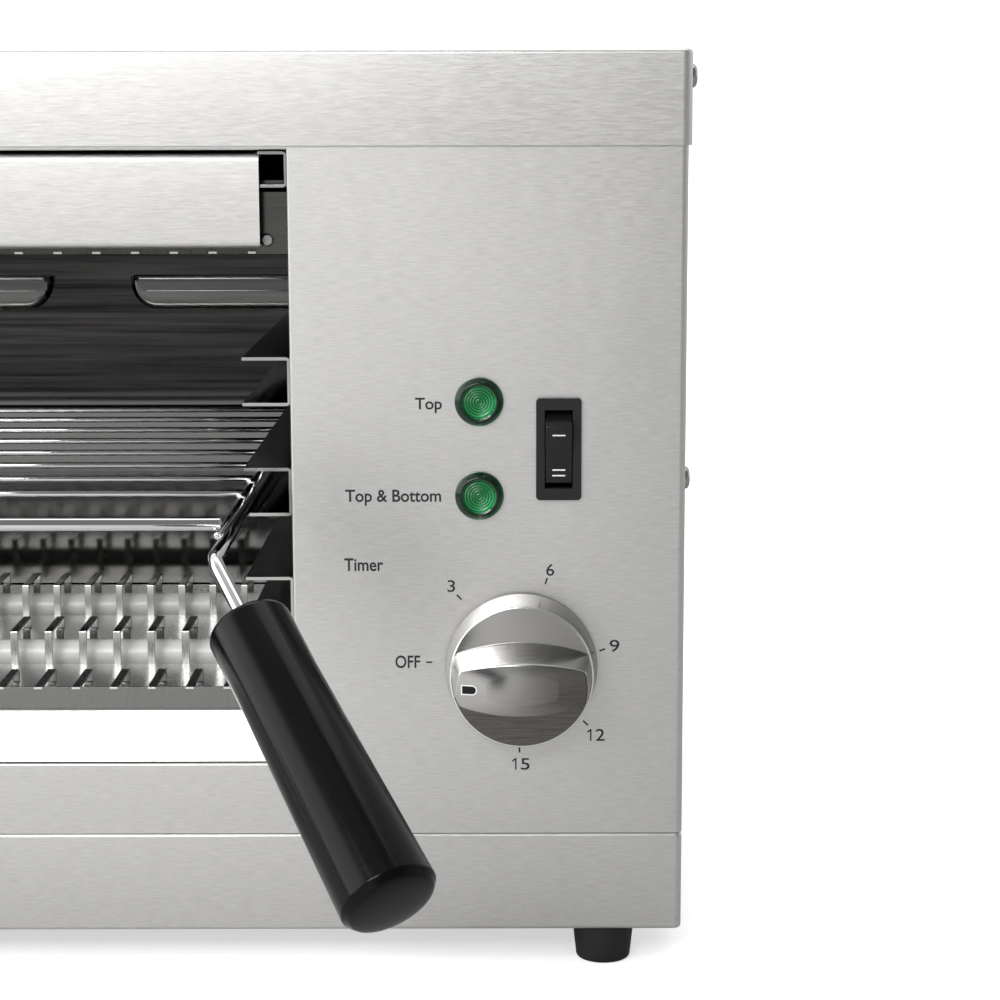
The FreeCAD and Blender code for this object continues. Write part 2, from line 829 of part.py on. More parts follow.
def guard(x_low, x_high, end_reach, front, strip_shift):
    """A guard over one heater, in the lower heater's place: front bar, flat bands and bridge strips."""
    fronts = row_fronts(front)
    pieces = [block((x_low, x_high), (front, front + guard_sheet), (guard_top - front_bar_height, guard_top))]
    band_ends = fronts[1:] + [heater_back - guard_sheet]
    for row_front, next_front in zip(fronts, band_ends):
        foot = row_front + row_window - rear_jog
        pieces.append(block((x_low, x_high), (foot, next_front + guard_sheet),
                            (guard_band - guard_sheet, guard_band)))
        section = strip_section(row_front, row_front != front)
        for i in range(-strips_each_side, strips_each_side + 1):
            middle = opening_middle + strip_shift + strip_pitch * i
            pieces.append(plate_from_yz(section, middle - strip_width / 2.0, middle + strip_width / 2.0))
        pieces.append(plate_from_yz(section, x_low, x_low + end_reach))
        pieces.append(plate_from_yz(section, x_high - end_reach, x_high))
    return merged(pieces)


def turned_over(shape):
    """A shape of the lower heater turned upside down into the upper heater's place."""
    return shape.mirror(Vector(0, 0, upper_mirror_height / 2.0), Vector(0, 0, 1))


def lower_guard():
    """The guard over the lower tubes."""
    return guard(opening_left, opening_right, end_strip_reach, lower_guard_front, 0.0)


def upper_guard():
    """The guard under the upper tubes, between the end brackets."""
    left = 2.0 * opening_middle - bracket_inner
    reach = end_strip_reach - (opening_right - bracket_inner)
    return turned_over(guard(left, bracket_inner, reach, upper_guard_front, upper_strip_shift))


def reflector(x_low, x_high, front):
    """The plain sheet behind the tubes of one heater, in the lower heater's place."""
    return block((x_low, x_high), (front + holder_end, heater_back),
                 (reflector_top - guard_sheet, reflector_top))


def lower_reflector():
    """The reflector under the lower tubes."""
    return reflector(opening_left, opening_right, lower_guard_front)


def upper_reflector():
    """The reflector over the upper tubes."""
    return turned_over(reflector(2.0 * opening_middle - bracket_inner, bracket_inner, upper_guard_front))


def tubes(seat, places):
    """The quartz tubes between the end holders on a seat plane and its twin."""
    end = seat - holder_end - holder_play * 2.0
    start = 2.0 * opening_middle - end
    solids = []
    for y, z in places:
        outer = Part.makeCylinder(tube_radius, end - start, Vector(start, y, z), Vector(1, 0, 0))
        bore = Part.makeCylinder(tube_radius - tube_wall, end - start, Vector(start, y, z), Vector(1, 0, 0))
        solids.append(outer.cut(bore))
    return Part.makeCompound(solids)


def tube_holders(seat, places):
    """The ceramic end holders with their seat plane on the right, and their twins."""
    solids = []
    for y, z in places:
        body = block((seat - holder_length, seat), (y - holder_width / 2.0, y + holder_width / 2.0),
                     (z - holder_height / 2.0, z + holder_height / 2.0))
        bore = Part.makeCylinder(tube_radius + holder_play, holder_length - holder_end,
                                 Vector(seat - holder_length, y, z), Vector(1, 0, 0))
        lead = Part.makeCylinder(pin_radius + pin_play, holder_length, Vector(seat - holder_length, y, z),
                                 Vector(1, 0, 0))
        solids.append(body.cut(bore).cut(lead))
    return both_sides(Part.makeCompound(solids), opening_middle)


def heating_wires(seat, places):
    """The coiled wires in the tubes, each one plain core with a pin at both ends."""
    end = wall_outer + pin_reach
    coil_end = seat - holder_length
    start = 2.0 * opening_middle - end
    coil_start = 2.0 * opening_middle - coil_end
    profile = [(0.0, 0.0), (0.0, pin_radius), (coil_start - start, pin_radius), (coil_start - start, coil_radius),
               (coil_end - start, coil_radius), (coil_end - start, pin_radius), (end - start, pin_radius),
               (end - start, 0.0)]
    return Part.makeCompound([turned(profile, Vector(start, y, z), Vector(1, 0, 0)) for y, z in places])


def upper_places():
    """The y and z of the upper tubes."""
    return pin_places(upper_guard_front, upper_mirror_height - tube_height)


def lower_places():
    """The y and z of the lower tubes."""
    return pin_places(lower_guard_front, tube_height)


def upper_end_brackets():
    """The brackets at both ends of the upper heater, hooked into the unit rails."""
    bottom = upper_guard_bottom
    top = opening_top - bracket_top_gap
    hook_low = unit_rail_bottom + sheet
    front = upper_guard_front
    web = block((bracket_inner, bracket_outer), (front, heater_back), (bottom, top))
    hook = block((bracket_inner, bracket_outer + bracket_hook), (front + 2.0 * sheet, guide_back),
                 (hook_low, hook_low + sheet))
    face = block((bracket_inner, opening_right - 2.0 * bend_gap), (front, front + sheet),
                 (bottom, bottom + bracket_front_height))
    floor = block((bracket_inner, opening_right - 2.0 * bend_gap), (front, heater_back), (bottom, bottom + sheet))
    holes = [Part.makeCylinder(pin_hole_radius, 3.0 * sheet, Vector(bracket_inner - sheet, y, z), Vector(1, 0, 0))
             for y, z in upper_places()]
    holes.append(Part.makeCylinder(rivet_radius + rivet_play, 3.0 * sheet,
                                   Vector(bracket_outer + bracket_rivet_out, front - sheet, bracket_rivet_height),
                                   Vector(0, 1, 0)))
    return both_sides(without(merged([web, hook, face, floor]), holes), opening_middle)


def bracket_rivets():
    """The rivet in the face of each end bracket."""
    place = Vector(bracket_outer + bracket_rivet_out, upper_guard_front, bracket_rivet_height)
    stack = [(-rivet_head_height, 0.0), (-rivet_head_height, rivet_radius), (0.0, bracket_rivet_head_radius),
             (0.0, rivet_radius), (sheet, rivet_radius), (sheet, bracket_rivet_tail_radius),
             (2.0 * sheet, bracket_rivet_tail_radius), (2.0 * sheet, 0.0)]
    return both_sides(turned(stack, place, Vector(0, 1, 0)), opening_middle)


def upper_cover_plate():
    """The plain cover across the front of the upper heater, its long edges turned back."""
    right = opening_right - cover_gap
    left = 2.0 * opening_middle - right
    outer = block((left, right), (cover_setback, upper_guard_front), (cover_bottom, cover_bottom + cover_height))
    bends = [edge for edge in outer.Edges
             if is_straight_along(edge, Vector(1, 0, 0)) and edge.BoundBox.YMax < cover_setback + 1e-6]
    outer = outer.makeFillet(cover_bend, bends)
    inner = block((left - sheet, right + sheet), (cover_setback + sheet, 2.0 * upper_guard_front),
                  (cover_bottom + sheet, cover_bottom + cover_height - sheet))
    inner_bends = [edge for edge in inner.Edges
                   if is_straight_along(edge, Vector(1, 0, 0)) and edge.BoundBox.YMax < cover_setback + 2.0 * sheet]
    return outer.cut(inner.makeFillet(cover_bend - sheet, inner_bends))


# Toasting rack

def handle_direction():
    """The unit vector of the right handle, from its bend to its end."""
    return Vector(handle_side, -handle_forward, -handle_drop).normalize()


def rack_right_rail():
    """The heavy right rail and the handle rod, bent from one wire."""
    bend = Vector(right_rail_x, rail_front, rail_z)
    end = bend + handle_direction() * (bare_rod + rod_in_grip)
    return bent_bar([Vector(right_rail_x, rail_back, rail_z), bend, end], rail_radius, rail_bend)


def rack_left_rail():
    """The twin of the right rail."""
    return mirrored(rack_right_rail(), rack_middle)


def handle_grips():
    """The moulded grips on the handle rods."""
    length = Vector(handle_side, handle_forward, handle_drop).Length - bare_rod
    start = Vector(right_rail_x, rail_front, rail_z) + handle_direction() * bare_rod
    bore = rail_radius + grip_play
    stack = [(0.0, bore), (0.0, grip_top_radius - grip_rounding),
             (grip_rounding_step, grip_top_radius - grip_rounding_step), (grip_rounding, grip_top_radius),
             (grip_waist_along, grip_waist_radius), (length - grip_dome, grip_end_radius),
             (length - grip_rim_back, grip_rim_radius), (length - grip_dome_back, grip_dome_radius),
             (length, 0.0),
             (rod_in_grip, 0.0), (rod_in_grip, bore)]
    return both_sides(turned(stack, start, handle_direction()), rack_middle)


def side_wire_x():
    """The x of the thin side wire that lies against the right rail."""
    return right_rail_x - rail_radius - thin_wire_radius


def rack_side_wires():
    """The two thin wires that lie along the rails and carry the cross wires."""
    x = side_wire_x()
    front = front_wire_y - wire_overhang - front_wire_radius
    wire = rod(Vector(x, front, rail_z), Vector(x, rail_back, rail_z), thin_wire_radius)
    return both_sides(wire, rack_middle)


def rack_front_wire():
    """The thicker wire across the front of the rack, on the side wires."""
    right = right_rail_x - rail_radius
    left = 2.0 * rack_middle - right
    z = rail_z + thin_wire_radius + front_wire_radius
    return rod(Vector(left, front_wire_y, z), Vector(right, front_wire_y, z), front_wire_radius)


def rack_cross_wires():
    """The thin wires across the rack, on the side wires."""
    right = side_wire_x() + wire_overhang
    left = 2.0 * rack_middle - right
    z = rail_z + 2.0 * thin_wire_radius
    wires = []
    for i in range(cross_wire_count):
        y = cross_wire_first + cross_wire_pitch * i
        wires.append(rod(Vector(left, y, z), Vector(right, y, z), thin_wire_radius))
    return Part.makeCompound(wires)


def tray_sides():
    """The left and right outside of the crumb tray."""
    return opening_left + tray_side_gap, opening_right - tray_side_gap


def crumb_tray_floor():
    """The flat floor of the tray under the lower heater, held all round by its rim."""
    left, right = tray_sides()
    low = strip_top + tray_floor_gap
    return block((left + tray_sheet, right - tray_sheet),
                 (tray_front + tray_sheet, chamber_depth - tray_back_gap - tray_sheet), (low, low + tray_sheet))


def crumb_tray_rim():
    """The tray's four walls, with its sloping pull lip in front."""
    left, right = tray_sides()
    low = strip_top + tray_floor_gap
    high = reflector_top - guard_sheet - tray_top_gap
    back = chamber_depth - tray_back_gap
    walls = block((left, right), (tray_front, back), (low, high))
    hollow = block((left + tray_sheet, right - tray_sheet), (tray_front + tray_sheet, back - tray_sheet),
                   (low - sheet, high + sheet))
    lip_top = guard_top - front_bar_height - tray_lip_top_gap
    foot = tray_lip_front
    head = tray_lip_front + tray_lip_setback
    lip = plate_from_yz([(foot, low), (tray_front, low), (tray_front, low + tray_sheet),
                         (foot + tray_lip_thickness, low + tray_sheet), (head + tray_sheet, lip_top),
                         (head, lip_top)], left, right)
    return merged([walls, lip.cut(block((left, right), (tray_front + tray_sheet, back), (low, high)))]).cut(hollow)


# Timer and knob
knob_from_right = 51.1
knob_height = 98.9
knob_gap = 1.5
knob_base_radius = 23.9
knob_face_radius = 22.3
knob_skirt_depth = 12.5
knob_depth = 30.5
grip_root_half = 10.8
grip_front_half = 8.2
grip_side_radius = 60.0
grip_front_radius = 20.0
grip_face_radius = 70.0
knob_recess_radius = 20.0
knob_recess_depth = 7.0
knob_hub_radius = 7.0
knob_hub_gap = 1.0
knob_play = 0.05
pointer_length = 4.2
pointer_width = 2.4
pointer_depth = 1.6
pointer_from_centre = 14.0
pointer_play = 0.05
shaft_radius = 3.0
shaft_play = 0.08
shaft_in_timer = 16.0
shaft_in_knob = 20.0
bush_radius = 5.0
bush_reach = 3.2
bush_hole_play = 0.2
bush_nut_flats = 14.0
bush_nut_height = 2.5
timer_size = 44.0
timer_depth = 35.0
bell_radius = 12.0
bell_depth = 10.0
bell_wall = 1.0

# Rocker switch
switch_from_right = 39.5
switch_middle_height = 168.2
bezel_width = 14.0
bezel_height = 31.8
bezel_thickness = 1.8
bezel_round = 1.2
switch_body_width = 12.0
switch_body_height = 28.6
switch_body_depth = 22.0
cutout_play = 0.2
well_width = 8.6
well_height = 24.4
well_depth = 14.0
rocker_play = 0.2
rocker_pivot_y = 4.5
rocker_round_radius = 12.0
rocker_middle_proud = 2.6
rocker_ridge_proud = 3.4
rocker_ridge_half = 9.4
rocker_back = 8.0
rocker_tilt = 11.0
rocker_pin_radius = 1.3
rocker_pin_length = 1.2
rocker_pin_play = 0.06
tab_width = 6.3
tab_thickness = 0.8
tab_length = 8.0
tab_spacing = 8.0

# Lamps
lamp_from_right = 64.1
lamp_heights = (183.0, 153.6)
lamp_radius = 7.6
lamp_rim = 1.8
lamp_rim_straight = 1.1
lamp_rim_bevel = 0.7
lamp_face_radius = 5.0
lamp_face_edge = 0.3
lamp_proud = 3.2
lamp_neck_radius = 6.1
lamp_neck_length = 8.0
lamp_hole_play = 0.15
lamp_body_radius = 7.8
lamp_body_depth = 24.0

# Terminals, gland and earth
terminal_from_right = 66.0
terminal_from_back = 34.0
terminal_length = 60.0
terminal_width = 22.0
terminal_height = 17.0
terminal_ways = 5
terminal_well_radius = 3.2
terminal_well_depth = 6.0
gland_from_right = 40.0
gland_height = 85.0
gland_thread_radius = 7.8
gland_hole_play = 0.2
gland_bore_radius = 4.2
gland_hex_flats = 22.0
gland_hex_height = 5.0
gland_dome_length = 13.0
gland_dome_radius = 9.5
gland_tip_radius = 6.5
gland_inside = 9.0
gland_nut_height = 5.0
earth_radius = 2.5
earth_length_out = 8.0
earth_length_in = 10.0
earth_nut_flats = 8.0
earth_nut_height = 3.2

# Wiring
bus_radius = 1.2
lead_radius = 1.3
lead_bend = 8.0

# Feet and screws
foot_height = 12.6
foot_top_radius = 10.0
foot_bottom_radius = 8.6
foot_round = 1.2
foot_round_step = 0.35
foot_side_inset = 24.5
foot_front_inset = 11.5
foot_recess_radius = 5.0
foot_recess_depth = 6.0
screw_radius = 2.0
screw_play = 0.2
screw_head_radius = 3.6
screw_head_height = 2.0
screw_head_round = 1.2
screw_length = 9.0
foot_screw_length = 14.5
foot_nut_flats = 7.0
foot_nut_height = 3.2
lid_screw_up = 20.8
side_screw_rise = 4.4
front_screw_y = 11.0
back_screw_inset = 11.0
panel_screw_inset = 8.0
back_screw_rows = 3
back_screw_margin = 18.0
base_screw_x_inset = 8.0
base_screw_y_inset = 6.5

# Vents
vent_length = 44.0
vent_height = 4.0
vent_pitch = 10.0
vent_rows = 6
vent_columns = 4
vent_column_gap = 18.0
base_vent_length = 60.0
base_vent_count = 8
base_vent_pitch = 14.0

# Places worked out from the sizes
half_width = body_width / 2.0
base_bottom = foot_height
base_top = base_bottom + base_height
strip_top = base_top + strip_height
lid_bottom = body_height - lid_skirt
lid_screw_height = lid_bottom + lid_screw_up
side_screw_height = (base_top + lid_bottom) / 2.0 + side_screw_rise
opening_top = lid_bottom - header_reveal
opening_left = -half_width + left_post
opening_right = half_width - control_width
opening_middle = (opening_left + opening_right) / 2.0
opening_half = (opening_right - opening_left) / 2.0
panel_top = body_height - sheet - lid_headroom
chassis_top = base_top + sheet
wall_outer = opening_right + sheet
side_outer = half_width - sheet
side_inner = side_outer - sheet
back_face = body_depth
back_inner = body_depth - sheet
guard_band = guard_top - guard_rise
reflector_top = tube_height - holder_height / 2.0
upper_guard_bottom = opening_top - upper_guard_drop
upper_mirror_height = upper_guard_bottom + guard_top
bracket_rivet_height = upper_guard_bottom + bracket_rivet_up
cover_bottom = opening_top - cover_drop
louvre_bottom = opening_top - louvre_from_ceiling
strips_each_side = int((opening_half - end_strip_reach - strip_width) / strip_pitch)
heater_back = chamber_depth - heater_back_gap
unit_rail_bottom = opening_top - unit_rail_top_gap - unit_rail_height
bracket_outer = opening_right - bracket_gap
bracket_inner = bracket_outer - sheet
guide_back = chamber_depth - guide_back_gap
rail_back = chamber_depth - rail_back_gap
cross_wire_pitch = (rail_back - last_wire_gap - cross_wire_first) / (cross_wire_count - 1)
carrying_guide = guide_lowest + guide_pitch
rail_z = carrying_guide + sheet + rail_rest_gap + rail_radius
right_rail_x = opening_right - rail_inset
left_rail_x = opening_left + left_rail_inset
rack_middle = (right_rail_x + left_rail_x) / 2.0
knob_x = half_width - knob_from_right
switch_x = half_width - switch_from_right
lamp_x = half_width - lamp_from_right
gland_x = half_width - gland_from_right
terminal_x = half_width - terminal_from_right
terminal_y = body_depth - terminal_from_back
terminal_pitch = terminal_length / terminal_ways
first_way_x = terminal_x - terminal_pitch * (terminal_ways - 1) / 2.0
last_way_x = terminal_x + terminal_pitch * (terminal_ways - 1) / 2.0
earth_x = first_way_x


def block(x_range, y_range, z_range):
    """A box between two corners, given as low and high values."""
    low = Vector(x_range[0], y_range[0], z_range[0])
    return Part.makeBox(x_range[1] - x_range[0], y_range[1] - y_range[0], z_range[1] - z_range[0], low)


def rod(start, end, radius):
    """A round bar between two points."""
    along = end - start
    return Part.makeCylinder(radius, along.Length, start, along)


def mirrored(shape, x_plane):
    """The same shape on the other side of an upright plane."""
    return shape.mirror(Vector(x_plane, 0, 0), Vector(1, 0, 0))


def both_sides(shape, x_plane):
    """A shape and its twin across an upright plane, as two solids."""
    return Part.makeCompound([shape, mirrored(shape, x_plane)])


def merged(shapes):
    """One solid from shapes that touch or overlap."""
    return shapes[0].multiFuse(shapes[1:]).removeSplitter()


def without(shape, cutters):
    """A shape less its holes."""
    return shape.cut(Part.makeCompound(cutters))


def upright_edges(shape):
    """The straight edges of a shape that run along z."""
    return [edge for edge in shape.Edges if is_straight_along(edge, Vector(0, 0, 1))]


def is_straight_along(edge, direction):
    """Whether an edge is a straight line along a direction."""
    if not isinstance(edge.Curve, Part.Line):
        return False
    return abs(abs(edge.tangentAt(edge.FirstParameter).dot(direction)) - 1.0) < 1e-6


def level_edges_at(shape, height):
    """The edges of a shape that lie flat at one height."""
    return [edge for edge in shape.Edges
            if abs(edge.BoundBox.ZMin - height) < 1e-6 and abs(edge.BoundBox.ZMax - height) < 1e-6]


def rounded_box(x_range, y_range, z_range, corner, edge, at_bottom, at_top):
    """A box with rounded upright corners, and rounded edges round its bottom or top."""
    shape = block(x_range, y_range, z_range)
    shape = shape.makeFillet(corner, upright_edges(shape))
    if at_bottom:
        shape = shape.makeFillet(edge, level_edges_at(shape, z_range[0]))
    if at_top:
        shape = shape.makeFillet(edge, level_edges_at(shape, z_range[1]))
    return shape


def plate_from_yz(points, x_low, x_high):
    """A prism along x whose section is a polygon of (y, z) points."""
    corners = [Vector(x_low, y, z) for y, z in points]
    face = Part.Face(Part.makePolygon(corners + corners[:1]))
    return face.extrude(Vector(x_high - x_low, 0, 0))


def turned(points, start, direction):
    """A solid of revolution from (distance along the axis, radius) points, ends on the axis."""
    section = Part.Face(Part.makePolygon([Vector(r, 0, s) for s, r in points + points[:1]]))
    solid = section.revolve(Vector(0, 0, 0), Vector(0, 0, 1), 360)
    solid.Placement = FreeCAD.Placement(start, FreeCAD.Rotation(Vector(0, 0, 1), direction))
    return solid


def hexagon(flats, height, start, direction):
    """A hexagonal prism, such as a nut."""
    radius = flats / math.sqrt(3.0)
    corners = [Vector(radius * math.cos(math.radians(60 * i)), radius * math.sin(math.radians(60 * i)), 0)
               for i in range(6)]
    prism = Part.Face(Part.makePolygon(corners + corners[:1])).extrude(Vector(0, 0, height))
    prism.Placement = FreeCAD.Placement(start, FreeCAD.Rotation(Vector(0, 0, 1), direction))
    return prism


def nut(flats, height, hole_radius, start, direction):
    """A hexagon nut with its hole."""
    return hexagon(flats, height, start, direction).cut(Part.makeCylinder(hole_radius, height, start, direction))


def bent_bar(points, radius, bend):
    """A round bar along straight runs joined by tangent arcs of one bend radius."""
    edges = []
    run_start = points[0]
    for before, corner, after in zip(points, points[1:], points[2:]):
        inward = (before - corner).normalize()
        outward = (after - corner).normalize()
        half = inward.getAngle(outward) / 2.0
        setback = bend / math.tan(half)
        arc_start = corner + inward * setback
        arc_end = corner + outward * setback
        centre = corner + (inward + outward).normalize() * (bend / math.sin(half))
        middle = centre + (corner - centre).normalize() * bend
        edges.append(Part.LineSegment(run_start, arc_start).toShape())
        edges.append(Part.Arc(arc_start, middle, arc_end).toShape())
        run_start = arc_end
    edges.append(Part.LineSegment(run_start, points[-1]).toShape())
    path = Part.Wire(edges)
    ring = Part.Wire(Part.makeCircle(radius, points[0], points[1] - points[0]))
    return path.makePipeShell([ring], True, True)


def screw(place, inward, length):
    """A pan-head screw: head on the surface at place, shank going inwards."""
    outward = inward * -1.0
    head = Part.makeCylinder(screw_head_radius, screw_head_height, place, outward)
    rim = [edge for edge in head.Edges if edge.Curve.TypeId == "Part::GeomCircle"
           and (edge.Curve.Center - place).dot(outward) > screw_head_height / 2.0]
    head = head.makeFillet(screw_head_round, rim)
    return head.fuse(Part.makeCylinder(screw_radius, length, place, inward)).removeSplitter()


def screw_hole(place, inward, length):
    """The clearance hole of a screw, cut from a little outside the surface."""
    start = place - inward * length
    return Part.makeCylinder(screw_radius + screw_play, 2.0 * length, start, inward)


def side_screw_places(height):
    """The places of the screws at one height on the right side: front and back."""
    return [Vector(0, front_screw_y, height), Vector(0, body_depth - back_screw_inset, height)]


def back_screw_heights():
    """The heights of the screws up each side of the back panel."""
    low = base_top + back_screw_margin
    high = lid_bottom - back_screw_margin
    step = (high - low) / (back_screw_rows - 1)
    return [low + step * i for i in range(back_screw_rows)]


def base_screw_places():
    """The places of the screws that hold the chassis plate on the base rim."""
    x = half_width - base_screw_x_inset
    return [Vector(side * x, y, chassis_top)
            for side in (-1, 1)
            for y in (base_screw_y_inset, body_depth - base_screw_y_inset)]


def foot_places():
    """The centres of the four feet."""
    x = half_width - foot_side_inset
    return [Vector(side * x, y, base_bottom)
            for side in (-1, 1)
            for y in (foot_front_inset, body_depth - foot_front_inset)]


def row_fronts(guard_front):
    """The y of the front edge of each row of a guard."""
    return [guard_front + row_pitch * i for i in range(row_count)]


def rivet_places():
    """The y and z of the rivets of the rack guides."""
    return [(y, guide_lowest + guide_pitch * level + guide_height / 2.0)
            for level in range(guide_levels)
            for y in (guide_front + rivet_inset, guide_back - rivet_inset)]


# Casing pieces

def base_pan():
    """The shallow pan under the body, with a rim turned in round its mouth."""
    outer = rounded_box((-half_width, half_width), (0, body_depth), (base_bottom, base_top),
                        corner_radius, edge_radius, True, True)
    inner_corner = corner_radius - sheet
    inner_edge = edge_radius - sheet
    inner = rounded_box((-side_outer, side_outer), (sheet, back_inner), (base_bottom + sheet, base_top - sheet),
                        inner_corner, inner_edge, True, True)
    mouth = block((-half_width + base_rim, half_width - base_rim), (base_rim, body_depth - base_rim),
                  (base_top - 2.0 * sheet, base_top + sheet))
    holes = [screw_hole(place, Vector(0, 0, 1), 2.0 * sheet) for place in foot_places()]
    holes += [screw_hole(place, Vector(0, 0, -1), 3.0 * sheet) for place in base_screw_places()]
    first = body_depth / 2.0 - base_vent_pitch * (base_vent_count - 1) / 2.0
    for i in range(base_vent_count):
        y = first + base_vent_pitch * i
        for middle in (opening_middle, knob_x):
            holes.append(block((middle - base_vent_length / 2.0, middle + base_vent_length / 2.0),
                               (y - vent_height / 2.0, y + vent_height / 2.0),
                               (base_bottom - sheet, base_bottom + 2.0 * sheet)))
    return without(outer, [inner, mouth] + holes)


def chassis_plate():
    """The flat plate on the base rim, with low flanges up the inside of the side panels."""
    plate = block((-side_inner, side_inner), (sheet + bend_gap, back_inner - sheet), (base_top, chassis_top))
    flange = block((side_inner - sheet, side_inner),
                   (corner_radius + bend_gap, back_inner - sheet),
                   (base_top, base_top + chassis_flange))
    holes = [screw_hole(place, Vector(0, 0, -1), 3.0 * sheet) for place in base_screw_places()]
    return without(merged([plate, flange, mirrored(flange, 0)]), holes)


def front_panel():
    """The front sheet with the oven opening, its lips and the side flanges."""
    outer = block((-half_width, half_width), (0, front_flange), (base_top, panel_top))
    front_corners = [edge for edge in upright_edges(outer) if edge.BoundBox.YMax < sheet]
    outer = outer.makeFillet(corner_radius, front_corners)
    inner = block((-side_outer, side_outer), (sheet, 2.0 * front_flange), (base_top - sheet, panel_top + sheet))
    inner_corners = [edge for edge in upright_edges(inner) if edge.BoundBox.YMax < 2.0 * sheet]
    inner = inner.makeFillet(corner_radius - sheet, inner_corners)
    lip = block((opening_right, opening_right + sheet), (0, side_lip), (strip_top - sheet, opening_top + sheet))
    low_lip = block((opening_left, opening_right), (0, level_lip), (strip_top - sheet, strip_top))
    high_lip = block((opening_left, opening_right), (0, level_lip), (opening_top, opening_top + sheet))
    opening = block((opening_left, opening_right), (-sheet, 2.0 * level_lip), (strip_top, opening_top))
    shell = merged([outer.cut(inner), lip, mirrored(lip, opening_middle), low_lip, high_lip]).cut(opening)
    rim = [edge for edge in shell.Edges
           if edge.BoundBox.YMax < 1e-6
           and edge.BoundBox.XMin > opening_left - sheet and edge.BoundBox.XMax < opening_right + sheet
           and edge.BoundBox.ZMin > strip_top - sheet and edge.BoundBox.ZMax < opening_top + sheet]
    shell = shell.makeFillet(lip_bend, rim)
    through = Vector(0, 1, 0)
    holes = [Part.makeCylinder(lamp_neck_radius + lamp_hole_play, 3.0 * sheet, Vector(lamp_x, -sheet, z), through)
             for z in lamp_heights]
    holes.append(Part.makeCylinder(bush_radius + bush_hole_play, 3.0 * sheet,
                                   Vector(knob_x, -sheet, knob_height), through))
    half_cut_width = switch_body_width / 2.0 + cutout_play
    half_cut_height = switch_body_height / 2.0 + cutout_play
    holes.append(block((switch_x - half_cut_width, switch_x + half_cut_width), (-sheet, 2.0 * sheet),
                       (switch_middle_height - half_cut_height, switch_middle_height + half_cut_height)))
    for height in (lid_screw_height, side_screw_height):
        place = side_screw_places(height)[0] + Vector(half_width, 0, 0)
        hole = screw_hole(place, Vector(-1, 0, 0), 4.0 * sheet)
        holes += [hole, mirrored(hole, 0)]
    return without(shell, holes)


def vent_slots(place, across):
    """A field of rounded vent slots cut through a sheet at place; across is the sheet's level direction."""
    through = across.cross(Vector(0, 0, 1))
    slots = []
    for column in range(vent_columns):
        for row in range(vent_rows):
            along = (column - (vent_columns - 1) / 2.0) * (vent_length + vent_column_gap)
            up = (row - (vent_rows - 1) / 2.0) * vent_pitch
            middle = place + across * along + Vector(0, 0, up) - through * (2.0 * sheet)
            reach = across * ((vent_length - vent_height) / 2.0)
            ends = [middle - reach, middle + reach]
            slots += [Part.makeCylinder(vent_height / 2.0, 4.0 * sheet, end, through) for end in ends]
            low = ends[0] - Vector(0, 0, vent_height / 2.0)
            corners = [low, low + reach * 2.0, low + reach * 2.0 + Vector(0, 0, vent_height),
                       low + Vector(0, 0, vent_height)]
            bar = Part.Face(Part.makePolygon(corners + corners[:1])).extrude(through * (4.0 * sheet))
            slots.append(bar)
    return slots


def right_side_panel():
    """The flat side sheet with a flange turned in at the back and at the top."""
    y_range = (corner_radius + bend_gap, back_inner)
    web = block((side_inner, side_outer), y_range, (base_top, panel_top))
    back = block((side_outer - panel_flange, side_outer), (back_inner - sheet, back_inner), (base_top, panel_top))
    top = block((side_outer - panel_flange, side_outer), y_range, (panel_top - sheet, panel_top))
    holes = []
    for height in (lid_screw_height, side_screw_height):
        for place in side_screw_places(height):
            holes.append(screw_hole(place + Vector(half_width, 0, 0), Vector(-1, 0, 0), 4.0 * sheet))
    for height in back_screw_heights():
        place = Vector(half_width - panel_screw_inset, back_face, height)
        holes.append(screw_hole(place, Vector(0, -1, 0), 3.0 * sheet))
    middle = Vector(side_outer, body_depth / 2.0, base_top + vent_pitch * vent_rows)
    holes += vent_slots(middle, Vector(0, 1, 0))
    return without(merged([web, back, top]), holes)


def left_side_panel():
    """The twin of the right side panel."""
    return mirrored(right_side_panel(), 0)


def back_panel():
    """The flat back sheet with vents and the holes for gland and earth stud."""
    sheet_solid = block((-side_outer, side_outer), (back_inner, back_face), (base_top, panel_top))
    inward = Vector(0, -1, 0)
    holes = []
    for height in back_screw_heights():
        hole = screw_hole(Vector(half_width - panel_screw_inset, back_face, height), inward, 3.0 * sheet)
        holes += [hole, mirrored(hole, 0)]
    holes.append(Part.makeCylinder(gland_thread_radius + gland_hole_play, 3.0 * sheet,
                                   Vector(gland_x, back_face + sheet, gland_height), inward))
    holes.append(Part.makeCylinder(earth_radius + screw_play, 3.0 * sheet,
                                   Vector(earth_x, back_face + sheet, gland_height), inward))
    middle_height = (gland_height + lid_bottom) / 2.0
    holes += vent_slots(Vector(0, back_face, middle_height), Vector(-1, 0, 0))
    return without(sheet_solid, holes)


def lid():
    """The shallow pan turned upside down over the body."""
    outer = rounded_box((-half_width - sheet, half_width + sheet), (-sheet, body_depth + sheet),
                        (lid_bottom, body_height), corner_radius + sheet, edge_radius, False, True)
    inner = rounded_box((-half_width, half_width), (0, body_depth), (lid_bottom - sheet, body_height - sheet),
                        corner_radius, edge_radius - sheet, False, True)
    holes = []
    for place in side_screw_places(lid_screw_height):
        hole = screw_hole(place + Vector(half_width + sheet, 0, 0), Vector(-1, 0, 0), 3.0 * sheet)
        holes += [hole, mirrored(hole, 0)]
    return without(outer, [inner] + holes)


# Oven pieces

def pin_places(guard_front, height):
    """The y and z of the heating tubes of one heater."""
    return [(front + tube_setback, height) for front in row_fronts(guard_front)]


def all_pin_places():
    """The y and z of every heating tube."""
    lower = pin_places(lower_guard_front, tube_height)
    return lower + pin_places(upper_guard_front, upper_mirror_height - tube_height)


